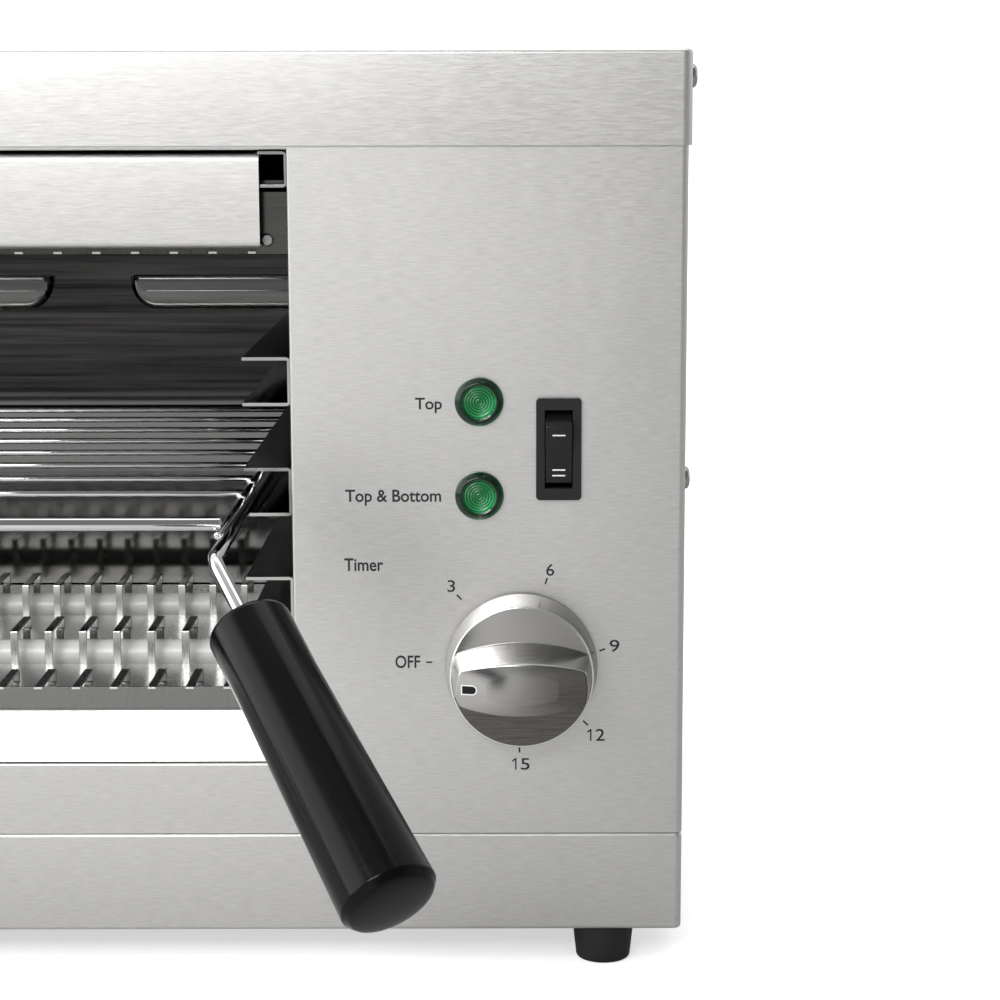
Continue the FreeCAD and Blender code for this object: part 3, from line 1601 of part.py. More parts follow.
def chamber_right_wall():
    """The upright wall beside the controls, with a foot turned outwards."""
    web = block((opening_right, wall_outer), (side_lip, chamber_depth), (chassis_top, opening_top))
    foot = block((opening_right, wall_outer + wall_flange), (side_lip, chamber_depth),
                 (chassis_top, chassis_top + sheet))
    across = Vector(1, 0, 0)
    holes = [Part.makeCylinder(pin_hole_radius, 3.0 * sheet, Vector(opening_right - sheet, y, z), across)
             for y, z in all_pin_places()]
    holes += [Part.makeCylinder(rivet_radius + rivet_play, 3.0 * sheet, Vector(opening_right - sheet, y, z), across)
              for y, z in rivet_places()]
    return without(merged([web, foot]), holes)


def chamber_left_wall():
    """The twin of the right wall, beside the left post."""
    return mirrored(chamber_right_wall(), opening_middle)


def louvre_bulge(x_low, x_high, inset):
    """The bulge of a louvre in front of the back wall, or with an inset the hollow inside it."""
    low = louvre_bottom + inset
    high = louvre_bottom + louvre_height
    shape = block((x_low + inset, x_high - inset), (chamber_depth - louvre_depth + inset, chamber_depth + sheet),
                  (low, high))
    bottom = [edge for edge in shape.Edges
              if is_straight_along(edge, Vector(0, 1, 0)) and edge.BoundBox.ZMax < high - inset]
    shape = shape.makeFillet(louvre_corner - inset, bottom)
    face_y = chamber_depth - louvre_depth + inset
    front = [edge for edge in shape.Edges
             if edge.BoundBox.YMax < face_y + 1e-6 and edge.BoundBox.ZMin < high - 1e-6]
    return shape.makeFillet(louvre_round - inset / 2.0, front)


def louvre_spans():
    """The x range of each louvre, left to right."""
    half = centre_louvre_length / 2.0
    right = opening_middle + half + louvre_gap
    left = opening_middle - half - louvre_gap
    return [(opening_left + louvre_end_gap, left), (opening_middle - half, opening_middle + half),
            (right, opening_right - louvre_end_gap)]


def chamber_back_wall():
    """The back of the oven with three louvres pressed out of it."""
    wall = block((opening_left - sheet, wall_outer), (chamber_depth, chamber_depth + sheet),
                 (chassis_top, opening_top))
    bulges = [louvre_bulge(low, high, 0) for low, high in louvre_spans()]
    hollows = [louvre_bulge(low, high, sheet) for low, high in louvre_spans()]
    tops = []
    for low, high in louvre_spans():
        top = louvre_bottom + louvre_height
        depths = (chamber_depth - louvre_depth + sheet, chamber_depth + 2 * sheet)
        tops.append(block((low + sheet, high - sheet), depths, (top - 2.0 * sheet, top + sheet / 2.0)))
    return without(merged([wall] + bulges), hollows + tops)


def chamber_floor():
    """The sheet that the crumb tray slides on."""
    y_range = (level_lip, chamber_depth)
    plate = block((opening_left, opening_right), y_range, (strip_top - sheet, strip_top))
    flange = block((opening_right - sheet, opening_right), y_range, (strip_top - floor_flange, strip_top))
    return merged([plate, flange, mirrored(flange, opening_middle)])


def chamber_ceiling():
    """The sheet over the oven, on top of its walls."""
    return block((opening_left - sheet, wall_outer), (level_lip, chamber_depth + sheet),
                 (opening_top, opening_top + sheet))


def channel(flange, low, height):
    """A C-shaped rail on the right wall, open towards the middle of the oven."""
    outer = block((opening_right - flange - sheet, opening_right), (guide_front, guide_back), (low, low + height))
    corners = [edge for edge in outer.Edges
               if is_straight_along(edge, Vector(0, 1, 0)) and edge.BoundBox.XMin > opening_right - sheet]
    outer = outer.makeFillet(guide_bend, corners)
    inner = block((opening_right - 2.0 * flange, opening_right - sheet), (guide_front - sheet, guide_back + sheet),
                  (low + sheet, low + height - sheet))
    return outer.cut(inner)


def right_rack_guides():
    """Three guides, one above the other."""
    guides = []
    for level in range(guide_levels):
        low = guide_lowest + guide_pitch * level
        holes = [Part.makeCylinder(rivet_radius + rivet_play, 3.0 * sheet,
                                   Vector(opening_right - 2.0 * sheet, y, z), Vector(1, 0, 0))
                 for y, z in rivet_places() if low < z < low + guide_height]
        guides.append(without(channel(guide_flange, low, guide_height), holes))
    return Part.makeCompound(guides)


def left_rack_guides():
    """The guides of the other wall."""
    return mirrored(right_rack_guides(), opening_middle)


def upper_unit_rails():
    """The two smaller rails near the ceiling that carry the upper heater."""
    return both_sides(channel(unit_rail_flange, unit_rail_bottom, unit_rail_height), opening_middle)


def guide_rivets():
    """The rivets that hold the guides on the walls."""
    rivets = []
    for y, z in rivet_places():
        inner_face = opening_right - sheet
        stack = [(-rivet_head_height, 0.0), (-rivet_head_height, rivet_flat_radius),
                 (-rivet_head_height / 2.0, rivet_shoulder_radius), (0.0, rivet_head_radius),
                 (0.0, rivet_radius), (2.0 * sheet, rivet_radius), (2.0 * sheet, rivet_tail_radius),
                 (3.0 * sheet, rivet_tail_radius), (3.0 * sheet, 0.0)]
        rivets.append(turned(stack, Vector(inner_face, y, z), Vector(1, 0, 0)))
    right = Part.makeCompound(rivets)
    return both_sides(right, opening_middle)


# Heaters

def strip_section(front, has_front_leg):
    """The section of one bridge strip over a tube, as (y, z) points."""
    thick = guard_sheet
    band_low = guard_band - thick
    ledge = guard_top - rear_drop
    back = front + row_window
    foot = back - rear_jog
    points = [(front, guard_top), (back, guard_top), (back, ledge), (foot + thick, ledge),
              (foot + thick, band_low), (foot, band_low), (foot, ledge + thick), (back - thick, ledge + thick),
              (back - thick, guard_top - thick)]
    if has_front_leg:
        return points + [(front + thick, guard_top - thick), (front + thick, band_low), (front, band_low)]
    return points + [(front, guard_top - thick)]


def guard(x_low, x_high, end_reach, front, strip_shift):
    """A guard over one heater, in the lower heater's place: front bar, flat bands and bridge strips."""
    fronts = row_fronts(front)
    pieces = [block((x_low, x_high), (front, front + guard_sheet), (guard_top - front_bar_height, guard_top))]
    band_ends = fronts[1:] + [heater_back - guard_sheet]
    for row_front, next_front in zip(fronts, band_ends):
        foot = row_front + row_window - rear_jog
        pieces.append(block((x_low, x_high), (foot, next_front + guard_sheet),
                            (guard_band - guard_sheet, guard_band)))
        section = strip_section(row_front, row_front != front)
        for i in range(-strips_each_side, strips_each_side + 1):
            middle = opening_middle + strip_shift + strip_pitch * i
            pieces.append(plate_from_yz(section, middle - strip_width / 2.0, middle + strip_width / 2.0))
        pieces.append(plate_from_yz(section, x_low, x_low + end_reach))
        pieces.append(plate_from_yz(section, x_high - end_reach, x_high))
    return merged(pieces)


def turned_over(shape):
    """A shape of the lower heater turned upside down into the upper heater's place."""
    return shape.mirror(Vector(0, 0, upper_mirror_height / 2.0), Vector(0, 0, 1))


def lower_guard():
    """The guard over the lower tubes."""
    return guard(opening_left, opening_right, end_strip_reach, lower_guard_front, 0.0)


def upper_guard():
    """The guard under the upper tubes, between the end brackets."""
    left = 2.0 * opening_middle - bracket_inner
    reach = end_strip_reach - (opening_right - bracket_inner)
    return turned_over(guard(left, bracket_inner, reach, upper_guard_front, upper_strip_shift))


def reflector(x_low, x_high, front):
    """The plain sheet behind the tubes of one heater, in the lower heater's place."""
    return block((x_low, x_high), (front + holder_end, heater_back),
                 (reflector_top - guard_sheet, reflector_top))


def lower_reflector():
    """The reflector under the lower tubes."""
    return reflector(opening_left, opening_right, lower_guard_front)


def upper_reflector():
    """The reflector over the upper tubes."""
    return turned_over(reflector(2.0 * opening_middle - bracket_inner, bracket_inner, upper_guard_front))


def tubes(seat, places):
    """The quartz tubes between the end holders on a seat plane and its twin."""
    end = seat - holder_end - holder_play * 2.0
    start = 2.0 * opening_middle - end
    solids = []
    for y, z in places:
        outer = Part.makeCylinder(tube_radius, end - start, Vector(start, y, z), Vector(1, 0, 0))
        bore = Part.makeCylinder(tube_radius - tube_wall, end - start, Vector(start, y, z), Vector(1, 0, 0))
        solids.append(outer.cut(bore))
    return Part.makeCompound(solids)


def tube_holders(seat, places):
    """The ceramic end holders with their seat plane on the right, and their twins."""
    solids = []
    for y, z in places:
        body = block((seat - holder_length, seat), (y - holder_width / 2.0, y + holder_width / 2.0),
                     (z - holder_height / 2.0, z + holder_height / 2.0))
        bore = Part.makeCylinder(tube_radius + holder_play, holder_length - holder_end,
                                 Vector(seat - holder_length, y, z), Vector(1, 0, 0))
        lead = Part.makeCylinder(pin_radius + pin_play, holder_length, Vector(seat - holder_length, y, z),
                                 Vector(1, 0, 0))
        solids.append(body.cut(bore).cut(lead))
    return both_sides(Part.makeCompound(solids), opening_middle)


def heating_wires(seat, places):
    """The coiled wires in the tubes, each one plain core with a pin at both ends."""
    end = wall_outer + pin_reach
    coil_end = seat - holder_length
    start = 2.0 * opening_middle - end
    coil_start = 2.0 * opening_middle - coil_end
    profile = [(0.0, 0.0), (0.0, pin_radius), (coil_start - start, pin_radius), (coil_start - start, coil_radius),
               (coil_end - start, coil_radius), (coil_end - start, pin_radius), (end - start, pin_radius),
               (end - start, 0.0)]
    return Part.makeCompound([turned(profile, Vector(start, y, z), Vector(1, 0, 0)) for y, z in places])


def upper_places():
    """The y and z of the upper tubes."""
    return pin_places(upper_guard_front, upper_mirror_height - tube_height)


def lower_places():
    """The y and z of the lower tubes."""
    return pin_places(lower_guard_front, tube_height)


def upper_end_brackets():
    """The brackets at both ends of the upper heater, hooked into the unit rails."""
    bottom = upper_guard_bottom
    top = opening_top - bracket_top_gap
    hook_low = unit_rail_bottom + sheet
    front = upper_guard_front
    web = block((bracket_inner, bracket_outer), (front, heater_back), (bottom, top))
    hook = block((bracket_inner, bracket_outer + bracket_hook), (front + 2.0 * sheet, guide_back),
                 (hook_low, hook_low + sheet))
    face = block((bracket_inner, opening_right - 2.0 * bend_gap), (front, front + sheet),
                 (bottom, bottom + bracket_front_height))
    floor = block((bracket_inner, opening_right - 2.0 * bend_gap), (front, heater_back), (bottom, bottom + sheet))
    holes = [Part.makeCylinder(pin_hole_radius, 3.0 * sheet, Vector(bracket_inner - sheet, y, z), Vector(1, 0, 0))
             for y, z in upper_places()]
    holes.append(Part.makeCylinder(rivet_radius + rivet_play, 3.0 * sheet,
                                   Vector(bracket_outer + bracket_rivet_out, front - sheet, bracket_rivet_height),
                                   Vector(0, 1, 0)))
    return both_sides(without(merged([web, hook, face, floor]), holes), opening_middle)


def bracket_rivets():
    """The rivet in the face of each end bracket."""
    place = Vector(bracket_outer + bracket_rivet_out, upper_guard_front, bracket_rivet_height)
    stack = [(-rivet_head_height, 0.0), (-rivet_head_height, rivet_radius), (0.0, bracket_rivet_head_radius),
             (0.0, rivet_radius), (sheet, rivet_radius), (sheet, bracket_rivet_tail_radius),
             (2.0 * sheet, bracket_rivet_tail_radius), (2.0 * sheet, 0.0)]
    return both_sides(turned(stack, place, Vector(0, 1, 0)), opening_middle)


def upper_cover_plate():
    """The plain cover across the front of the upper heater, its long edges turned back."""
    right = opening_right - cover_gap
    left = 2.0 * opening_middle - right
    outer = block((left, right), (cover_setback, upper_guard_front), (cover_bottom, cover_bottom + cover_height))
    bends = [edge for edge in outer.Edges
             if is_straight_along(edge, Vector(1, 0, 0)) and edge.BoundBox.YMax < cover_setback + 1e-6]
    outer = outer.makeFillet(cover_bend, bends)
    inner = block((left - sheet, right + sheet), (cover_setback + sheet, 2.0 * upper_guard_front),
                  (cover_bottom + sheet, cover_bottom + cover_height - sheet))
    inner_bends = [edge for edge in inner.Edges
                   if is_straight_along(edge, Vector(1, 0, 0)) and edge.BoundBox.YMax < cover_setback + 2.0 * sheet]
    return outer.cut(inner.makeFillet(cover_bend - sheet, inner_bends))


# Toasting rack

def handle_direction():
    """The unit vector of the right handle, from its bend to its end."""
    return Vector(handle_side, -handle_forward, -handle_drop).normalize()


def rack_right_rail():
    """The heavy right rail and the handle rod, bent from one wire."""
    bend = Vector(right_rail_x, rail_front, rail_z)
    end = bend + handle_direction() * (bare_rod + rod_in_grip)
    return bent_bar([Vector(right_rail_x, rail_back, rail_z), bend, end], rail_radius, rail_bend)


def rack_left_rail():
    """The twin of the right rail."""
    return mirrored(rack_right_rail(), rack_middle)


def handle_grips():
    """The moulded grips on the handle rods."""
    length = Vector(handle_side, handle_forward, handle_drop).Length - bare_rod
    start = Vector(right_rail_x, rail_front, rail_z) + handle_direction() * bare_rod
    bore = rail_radius + grip_play
    stack = [(0.0, bore), (0.0, grip_top_radius - grip_rounding),
             (grip_rounding_step, grip_top_radius - grip_rounding_step), (grip_rounding, grip_top_radius),
             (grip_waist_along, grip_waist_radius), (length - grip_dome, grip_end_radius),
             (length - grip_rim_back, grip_rim_radius), (length - grip_dome_back, grip_dome_radius),
             (length, 0.0),
             (rod_in_grip, 0.0), (rod_in_grip, bore)]
    return both_sides(turned(stack, start, handle_direction()), rack_middle)


def side_wire_x():
    """The x of the thin side wire that lies against the right rail."""
    return right_rail_x - rail_radius - thin_wire_radius


def rack_side_wires():
    """The two thin wires that lie along the rails and carry the cross wires."""
    x = side_wire_x()
    front = front_wire_y - wire_overhang - front_wire_radius
    wire = rod(Vector(x, front, rail_z), Vector(x, rail_back, rail_z), thin_wire_radius)
    return both_sides(wire, rack_middle)


def rack_front_wire():
    """The thicker wire across the front of the rack, on the side wires."""
    right = right_rail_x - rail_radius
    left = 2.0 * rack_middle - right
    z = rail_z + thin_wire_radius + front_wire_radius
    return rod(Vector(left, front_wire_y, z), Vector(right, front_wire_y, z), front_wire_radius)


def rack_cross_wires():
    """The thin wires across the rack, on the side wires."""
    right = side_wire_x() + wire_overhang
    left = 2.0 * rack_middle - right
    z = rail_z + 2.0 * thin_wire_radius
    wires = []
    for i in range(cross_wire_count):
        y = cross_wire_first + cross_wire_pitch * i
        wires.append(rod(Vector(left, y, z), Vector(right, y, z), thin_wire_radius))
    return Part.makeCompound(wires)


def crumb_tray():
    """The flat tray under the lower heater, with its sloping pull lip."""
    right = opening_right - tray_side_gap
    left = opening_left + tray_side_gap
    low = strip_top + tray_floor_gap
    high = reflector_top - guard_sheet - tray_top_gap
    back = chamber_depth - tray_back_gap
    pan = block((left, right), (tray_front, back), (low, high))
    hollow = block((left + tray_sheet, right - tray_sheet), (tray_front + tray_sheet, back - tray_sheet),
                   (low + tray_sheet, high + sheet))
    lip_top = guard_top - front_bar_height - tray_lip_top_gap
    foot = tray_lip_front
    head = tray_lip_front + tray_lip_setback
    lip = plate_from_yz([(foot, low), (tray_front, low), (tray_front, low + tray_sheet),
                         (foot + tray_lip_thickness, low + tray_sheet), (head + tray_sheet, lip_top),
                         (head, lip_top)], left, right)
    return merged([pan, lip.cut(block((left, right), (tray_front + tray_sheet, back), (low, high)))]).cut(hollow)


# Timer and knob

def knob_axis_point(y):
    """A point on the knob's axis."""
    return Vector(knob_x, y, knob_height)


def timer_body():
    """The clockwork timer behind the panel, with its threaded bush."""
    half = timer_size / 2.0
    case = block((knob_x - half, knob_x + half), (sheet, sheet + timer_depth),
                 (knob_height - half, knob_height + half))
    bush = Part.makeCylinder(bush_radius, sheet + bush_reach, knob_axis_point(-bush_reach), Vector(0, 1, 0))
    bore = Part.makeCylinder(shaft_radius + shaft_play, bush_reach + sheet + shaft_in_timer + shaft_play,
                             knob_axis_point(-bush_reach), Vector(0, 1, 0))
    return merged([case, bush]).cut(bore)


def timer_bell():
    """The bell on the back of the timer."""
    back = sheet + timer_depth
    cup = Part.makeCylinder(bell_radius, bell_depth, knob_axis_point(back), Vector(0, 1, 0))
    hollow = Part.makeCylinder(bell_radius - bell_wall, bell_depth - bell_wall, knob_axis_point(back),
                               Vector(0, 1, 0))
    return cup.cut(hollow)


def timer_nut():
    """The nut on the timer's bush, hidden in the knob."""
    return nut(bush_nut_flats, bush_nut_height, bush_radius, knob_axis_point(0), Vector(0, -1, 0))


def timer_shaft():
    """The timer's shaft."""
    return rod(knob_axis_point(sheet + shaft_in_timer), knob_axis_point(-knob_gap - shaft_in_knob), shaft_radius)


def cone_about(z_shift, back_radius, front_radius):
    """A cone on a line along y, from the knob's face to its front."""
    start = Vector(knob_x, -knob_gap - knob_skirt_depth, knob_height + z_shift)
    return Part.makeCone(back_radius, front_radius, knob_depth - knob_skirt_depth, start, Vector(0, -1, 0))


def timer_knob():
    """The round knob with its raised grip bar across the middle."""
    skirt = Part.makeCone(knob_base_radius, knob_face_radius, knob_skirt_depth, knob_axis_point(-knob_gap),
                          Vector(0, -1, 0))
    shift = grip_side_radius - grip_root_half
    front_side = grip_side_radius - (grip_root_half - grip_front_half)
    lower = cone_about(shift, grip_side_radius, front_side)
    upper = cone_about(-shift, grip_side_radius, front_side)
    bar = lower.common(upper)
    bar = bar.common(cone_about(0, knob_face_radius, grip_front_radius))
    dome = Part.makeSphere(grip_face_radius, knob_axis_point(-knob_gap - knob_depth + grip_face_radius))
    solid = merged([skirt, bar.common(dome)])
    recess = Part.makeCylinder(knob_recess_radius, knob_recess_depth, knob_axis_point(-knob_gap), Vector(0, -1, 0))
    hub_start = -bush_reach - knob_hub_gap
    hub = Part.makeCylinder(knob_hub_radius, knob_gap + knob_recess_depth + hub_start, knob_axis_point(hub_start),
                            Vector(0, -1, 0))
    bore = Part.makeCylinder(shaft_radius + knob_play, knob_gap + shaft_in_knob, knob_axis_point(0),
                             Vector(0, -1, 0))
    return solid.cut(recess.cut(hub)).cut(bore).cut(pointer_shape(pointer_play))


def pointer_shape(play):
    """The pointer at the left end of the grip, flat at its outer end and round at its tip."""
    tip_radius = pointer_width / 2.0
    right = knob_x - pointer_from_centre
    left = right - pointer_length
    front = -knob_gap - knob_depth + grip_face_radius
    front -= math.sqrt(grip_face_radius ** 2 - (pointer_from_centre + pointer_length) ** 2)
    y_range = (front - play, front + pointer_depth + play)
    bar = block((left - play, right - tip_radius), y_range,
                (knob_height - tip_radius - play, knob_height + tip_radius + play))
    tip = Part.makeCylinder(tip_radius + play, y_range[1] - y_range[0],
                            Vector(right - tip_radius, y_range[1], knob_height), Vector(0, -1, 0))
    return bar.fuse(tip).removeSplitter()


def knob_pointer():
    """The pointer let into the knob."""
    return pointer_shape(0.0)


# Rocker switch

def switch_housing():
    """The switch body in its cut-out with the bezel in front."""
    z = switch_middle_height
    bezel = block((switch_x - bezel_width / 2.0, switch_x + bezel_width / 2.0), (-bezel_thickness, 0),
                  (z - bezel_height / 2.0, z + bezel_height / 2.0))
    along_y = [edge for edge in bezel.Edges if is_straight_along(edge, Vector(0, 1, 0))]
    bezel = bezel.makeFillet(bezel_round, along_y)
    body = block((switch_x - switch_body_width / 2.0, switch_x + switch_body_width / 2.0), (0, switch_body_depth),
                 (z - switch_body_height / 2.0, z + switch_body_height / 2.0))
    well = block((switch_x - well_width / 2.0, switch_x + well_width / 2.0), (-2.0 * bezel_thickness, well_depth),
                 (z - well_height / 2.0, z + well_height / 2.0))
    pin_half = well_width / 2.0 + rocker_pin_length
    pin_hole = Part.makeCylinder(rocker_pin_radius + rocker_pin_play, 2.0 * pin_half,
                                 Vector(switch_x - pin_half, rocker_pivot_y, z), Vector(1, 0, 0))
    return merged([bezel, body]).cut(well).cut(pin_hole)


def switch_rocker():
    """The rocker on its pivot pins, a ridge near each end, with its lower end pressed in."""
    z = switch_middle_height
    half = well_width / 2.0 - rocker_play
    reach = rocker_round_radius
    points = [(-rocker_middle_proud, z), (-rocker_ridge_proud, z + rocker_ridge_half),
              (rocker_pivot_y, z + reach), (rocker_back, z + reach), (rocker_back, z - reach),
              (rocker_pivot_y, z - reach), (-rocker_ridge_proud, z - rocker_ridge_half)]
    slab = plate_from_yz(points, switch_x - half, switch_x + half)
    disc = Part.makeCylinder(rocker_round_radius, 2.0 * half, Vector(switch_x - half, rocker_pivot_y, z),
                             Vector(1, 0, 0))
    pin_half = well_width / 2.0 + rocker_pin_length - rocker_play
    pin = Part.makeCylinder(rocker_pin_radius, 2.0 * pin_half, Vector(switch_x - pin_half, rocker_pivot_y, z),
                            Vector(1, 0, 0))
    rocker = merged([slab.common(disc), pin])
    rocker.rotate(Vector(switch_x, rocker_pivot_y, z), Vector(1, 0, 0), rocker_tilt)
    return rocker


def switch_terminals():
    """The blade terminals at the back of the switch."""
    blades = []
    for step in (-1, 0, 1):
        z = switch_middle_height + tab_spacing * step
        blades.append(block((switch_x - tab_width / 2.0, switch_x + tab_width / 2.0),
                            (switch_body_depth, switch_body_depth + tab_length),
                            (z - tab_thickness / 2.0, z + tab_thickness / 2.0)))
    return Part.makeCompound(blades)


# Lamps

def lamp_lenses():
    """The two green lenses with their rims and necks."""
    stack = [(-lamp_neck_length, 0.0), (-lamp_neck_length, lamp_neck_radius), (0.0, lamp_neck_radius),
             (0.0, lamp_radius), (lamp_rim_straight, lamp_radius), (lamp_rim, lamp_radius - lamp_rim_bevel),
             (lamp_proud - lamp_face_edge, lamp_face_radius + lamp_face_edge),
             (lamp_proud, lamp_face_radius - lamp_face_edge), (lamp_proud, 0.0)]
    return Part.makeCompound([turned(stack, Vector(lamp_x, 0, z), Vector(0, -1, 0)) for z in lamp_heights])


def lamp_holders():
    """The lamp holders behind the panel, round the necks of the lenses."""
    solids = []
    for z in lamp_heights:
        body = Part.makeCylinder(lamp_body_radius, lamp_body_depth, Vector(lamp_x, sheet, z), Vector(0, 1, 0))
        neck = Part.makeCylinder(lamp_neck_radius, lamp_neck_length - sheet, Vector(lamp_x, sheet, z),
                                 Vector(0, 1, 0))
        solids.append(body.cut(neck))
    return Part.makeCompound(solids)


# Terminals, gland, earth and wiring

def terminal_block():
    """The block for the supply wires, on the chassis plate."""
    body = block((terminal_x - terminal_length / 2.0, terminal_x + terminal_length / 2.0),
                 (terminal_y - terminal_width / 2.0, terminal_y + terminal_width / 2.0),
                 (chassis_top, chassis_top + terminal_height))
    wells = []
    for i in range(terminal_ways):
        for side in (-1, 1):
            place = Vector(first_way_x + terminal_pitch * i, terminal_y + side * terminal_width / 4.0,
                           chassis_top + terminal_height)
            wells.append(Part.makeCylinder(terminal_well_radius, terminal_well_depth, place, Vector(0, 0, -1)))
    return without(body, wells)


def cable_gland():
    """The gland for the supply cord: thread, hexagon and dome, bored through."""
    outward = Vector(0, 1, 0)
    thread = Part.makeCylinder(gland_thread_radius, gland_inside + sheet,
                               Vector(gland_x, back_inner - gland_inside, gland_height), outward)
    hexagon_part = hexagon(gland_hex_flats, gland_hex_height, Vector(gland_x, back_face, gland_height), outward)
    dome = Part.makeCone(gland_dome_radius, gland_tip_radius, gland_dome_length,
                         Vector(gland_x, back_face + gland_hex_height, gland_height), outward)
    bore = Part.makeCylinder(gland_bore_radius, gland_inside + sheet + gland_hex_height + gland_dome_length,
                             Vector(gland_x, back_inner - gland_inside, gland_height), outward)
    return merged([thread, hexagon_part, dome]).cut(bore)


def gland_nut():
    """The nut on the gland's thread inside the back panel."""
    return nut(gland_hex_flats, gland_nut_height, gland_thread_radius,
               Vector(gland_x, back_inner, gland_height), Vector(0, -1, 0))


def earth_stud():
    """The earth stud through the back panel with a nut on each side."""
    start = Vector(earth_x, back_inner - earth_length_in, gland_height)
    stud = Part.makeCylinder(earth_radius, earth_length_in + sheet + earth_length_out, start, Vector(0, 1, 0))
    outside = hexagon(earth_nut_flats, earth_nut_height, Vector(earth_x, back_face, gland_height), Vector(0, 1, 0))
    inside = hexagon(earth_nut_flats, earth_nut_height, Vector(earth_x, back_inner, gland_height), Vector(0, -1, 0))
    return merged([stud, outside, inside])


def element_wiring():
    """The bare link wires that join the tube pins at both sides of each heater."""
    lift = pin_radius + bus_radius
    links = []
    for places in (lower_places(), upper_places()):
        (first_y, z), (last_y, _) = places[0], places[-1]
        x = wall_outer + pin_reach - bus_radius
        overrun = 2.0 * pin_radius
        link = rod(Vector(x, first_y - overrun, z + lift), Vector(x, last_y + overrun, z + lift), bus_radius)
        links += [link, mirrored(link, opening_middle)]
    return Part.makeCompound(links)


def control_wiring():
    """The insulated leads between the links, the timer, the switch, the lamps and the terminal block."""
    link_side = wall_outer + pin_reach
    link_lift = pin_radius + bus_radius
    lower_link_z = tube_height + link_lift
    upper_link_z = upper_mirror_height - tube_height + link_lift
    timer_back = sheet + timer_depth
    timer_left = knob_x - timer_size / 2.0 + 2.0 * lead_radius
    low_z = knob_height - timer_size / 4.0
    high_z = knob_height + timer_size / 4.0
    blade_y = switch_body_depth + tab_length
    blade_low = switch_middle_height - tab_spacing
    blade_high = switch_middle_height + tab_spacing
    lamp_back = sheet + lamp_body_depth
    well_floor = chassis_top + terminal_height - terminal_well_depth
    front_way_y = terminal_y - terminal_width / 4.0
    back_way_y = terminal_y + terminal_width / 4.0
    far_y = (timer_back + terminal_y) / 2.0
    near_y = far_y - 2.0 * lead_bend
    routes = [
        [Vector(link_side, near_y, lower_link_z), Vector(timer_left, near_y, lower_link_z),
         Vector(timer_left, timer_back, lower_link_z)],
        [Vector(link_side, far_y, upper_link_z), Vector(switch_x, far_y, upper_link_z),
         Vector(switch_x, far_y, blade_high), Vector(switch_x, blade_y, blade_high)],
        [Vector(last_way_x, timer_back, low_z), Vector(last_way_x, front_way_y, low_z),
         Vector(last_way_x, front_way_y, well_floor)],
        [Vector(switch_x, blade_y, blade_low), Vector(switch_x, far_y, blade_low), Vector(switch_x, far_y, high_z),
         Vector(switch_x, timer_back, high_z)],
        [Vector(lamp_x, lamp_back, lamp_heights[0]), Vector(lamp_x, near_y, lamp_heights[0]),
         Vector(lamp_x, near_y, lamp_heights[1]), Vector(lamp_x, lamp_back, lamp_heights[1])],
        [Vector(earth_x, back_way_y, well_floor), Vector(earth_x, back_way_y, gland_height),
         Vector(earth_x, back_inner - earth_length_in, gland_height)],
    ]
    return Part.makeCompound([bent_bar(route, lead_radius, lead_bend) for route in routes])


# Feet and screws

def feet():
    """The four rubber feet, each with a recess for its screw."""
    stack = [(0.0, foot_recess_radius), (0.0, foot_bottom_radius - foot_round),
             (foot_round_step, foot_bottom_radius - foot_round_step), (foot_round, foot_bottom_radius),
             (foot_height, foot_top_radius), (foot_height, screw_radius + screw_play),
             (foot_recess_depth, screw_radius + screw_play), (foot_recess_depth, foot_recess_radius)]
    solids = [turned(stack, place - Vector(0, 0, foot_height), Vector(0, 0, 1)) for place in foot_places()]
    return Part.makeCompound(solids)


def foot_screws():
    """The screws up through the feet into the base pan."""
    seats = [Vector(place.x, place.y, foot_recess_depth) for place in foot_places()]
    return Part.makeCompound([screw(seat, Vector(0, 0, 1), foot_screw_length) for seat in seats])


def foot_nuts():
    """The nuts on the foot screws inside the base pan."""
    return Part.makeCompound([nut(foot_nut_flats, foot_nut_height, screw_radius, place + Vector(0, 0, sheet),
                                  Vector(0, 0, 1)) for place in foot_places()])


def side_screws():
    """The lid's two screws on each side, and two half way up, the front one through the front panel's flange."""
    screws = [screw(place + Vector(half_width + sheet, 0, 0), Vector(-1, 0, 0), screw_length)
              for place in side_screw_places(lid_screw_height)]
    front, back = side_screw_places(side_screw_height)
    screws += [screw(front + Vector(half_width, 0, 0), Vector(-1, 0, 0), screw_length),
               screw(back + Vector(side_outer, 0, 0), Vector(-1, 0, 0), screw_length)]
    return both_sides(Part.makeCompound(screws), 0)


def back_screws():
    """The screws up both sides of the back panel."""
    screws = [screw(Vector(half_width - panel_screw_inset, back_face, height), Vector(0, -1, 0), screw_length)
              for height in back_screw_heights()]
    return both_sides(Part.makeCompound(screws), 0)


def base_screws():
    """The screws that hold the chassis plate on the base rim."""
    return Part.makeCompound([screw(place, Vector(0, 0, -1), screw_length) for place in base_screw_places()])


def lower_tubes():
    """The three lower quartz tubes."""
    return tubes(opening_right, lower_places())


def upper_tubes():
    """The three upper quartz tubes."""
    return tubes(bracket_inner, upper_places())


def lower_heating_wires():
    """The wires in the lower tubes."""
    return heating_wires(opening_right, lower_places())


def upper_heating_wires():
    """The wires in the upper tubes."""
    return heating_wires(bracket_inner, upper_places())


def lower_tube_holders():
    """The end holders of the lower tubes."""
    return tube_holders(opening_right, lower_places())


def upper_tube_holders():
    """The end holders of the upper tubes."""
    return tube_holders(bracket_inner, upper_places())


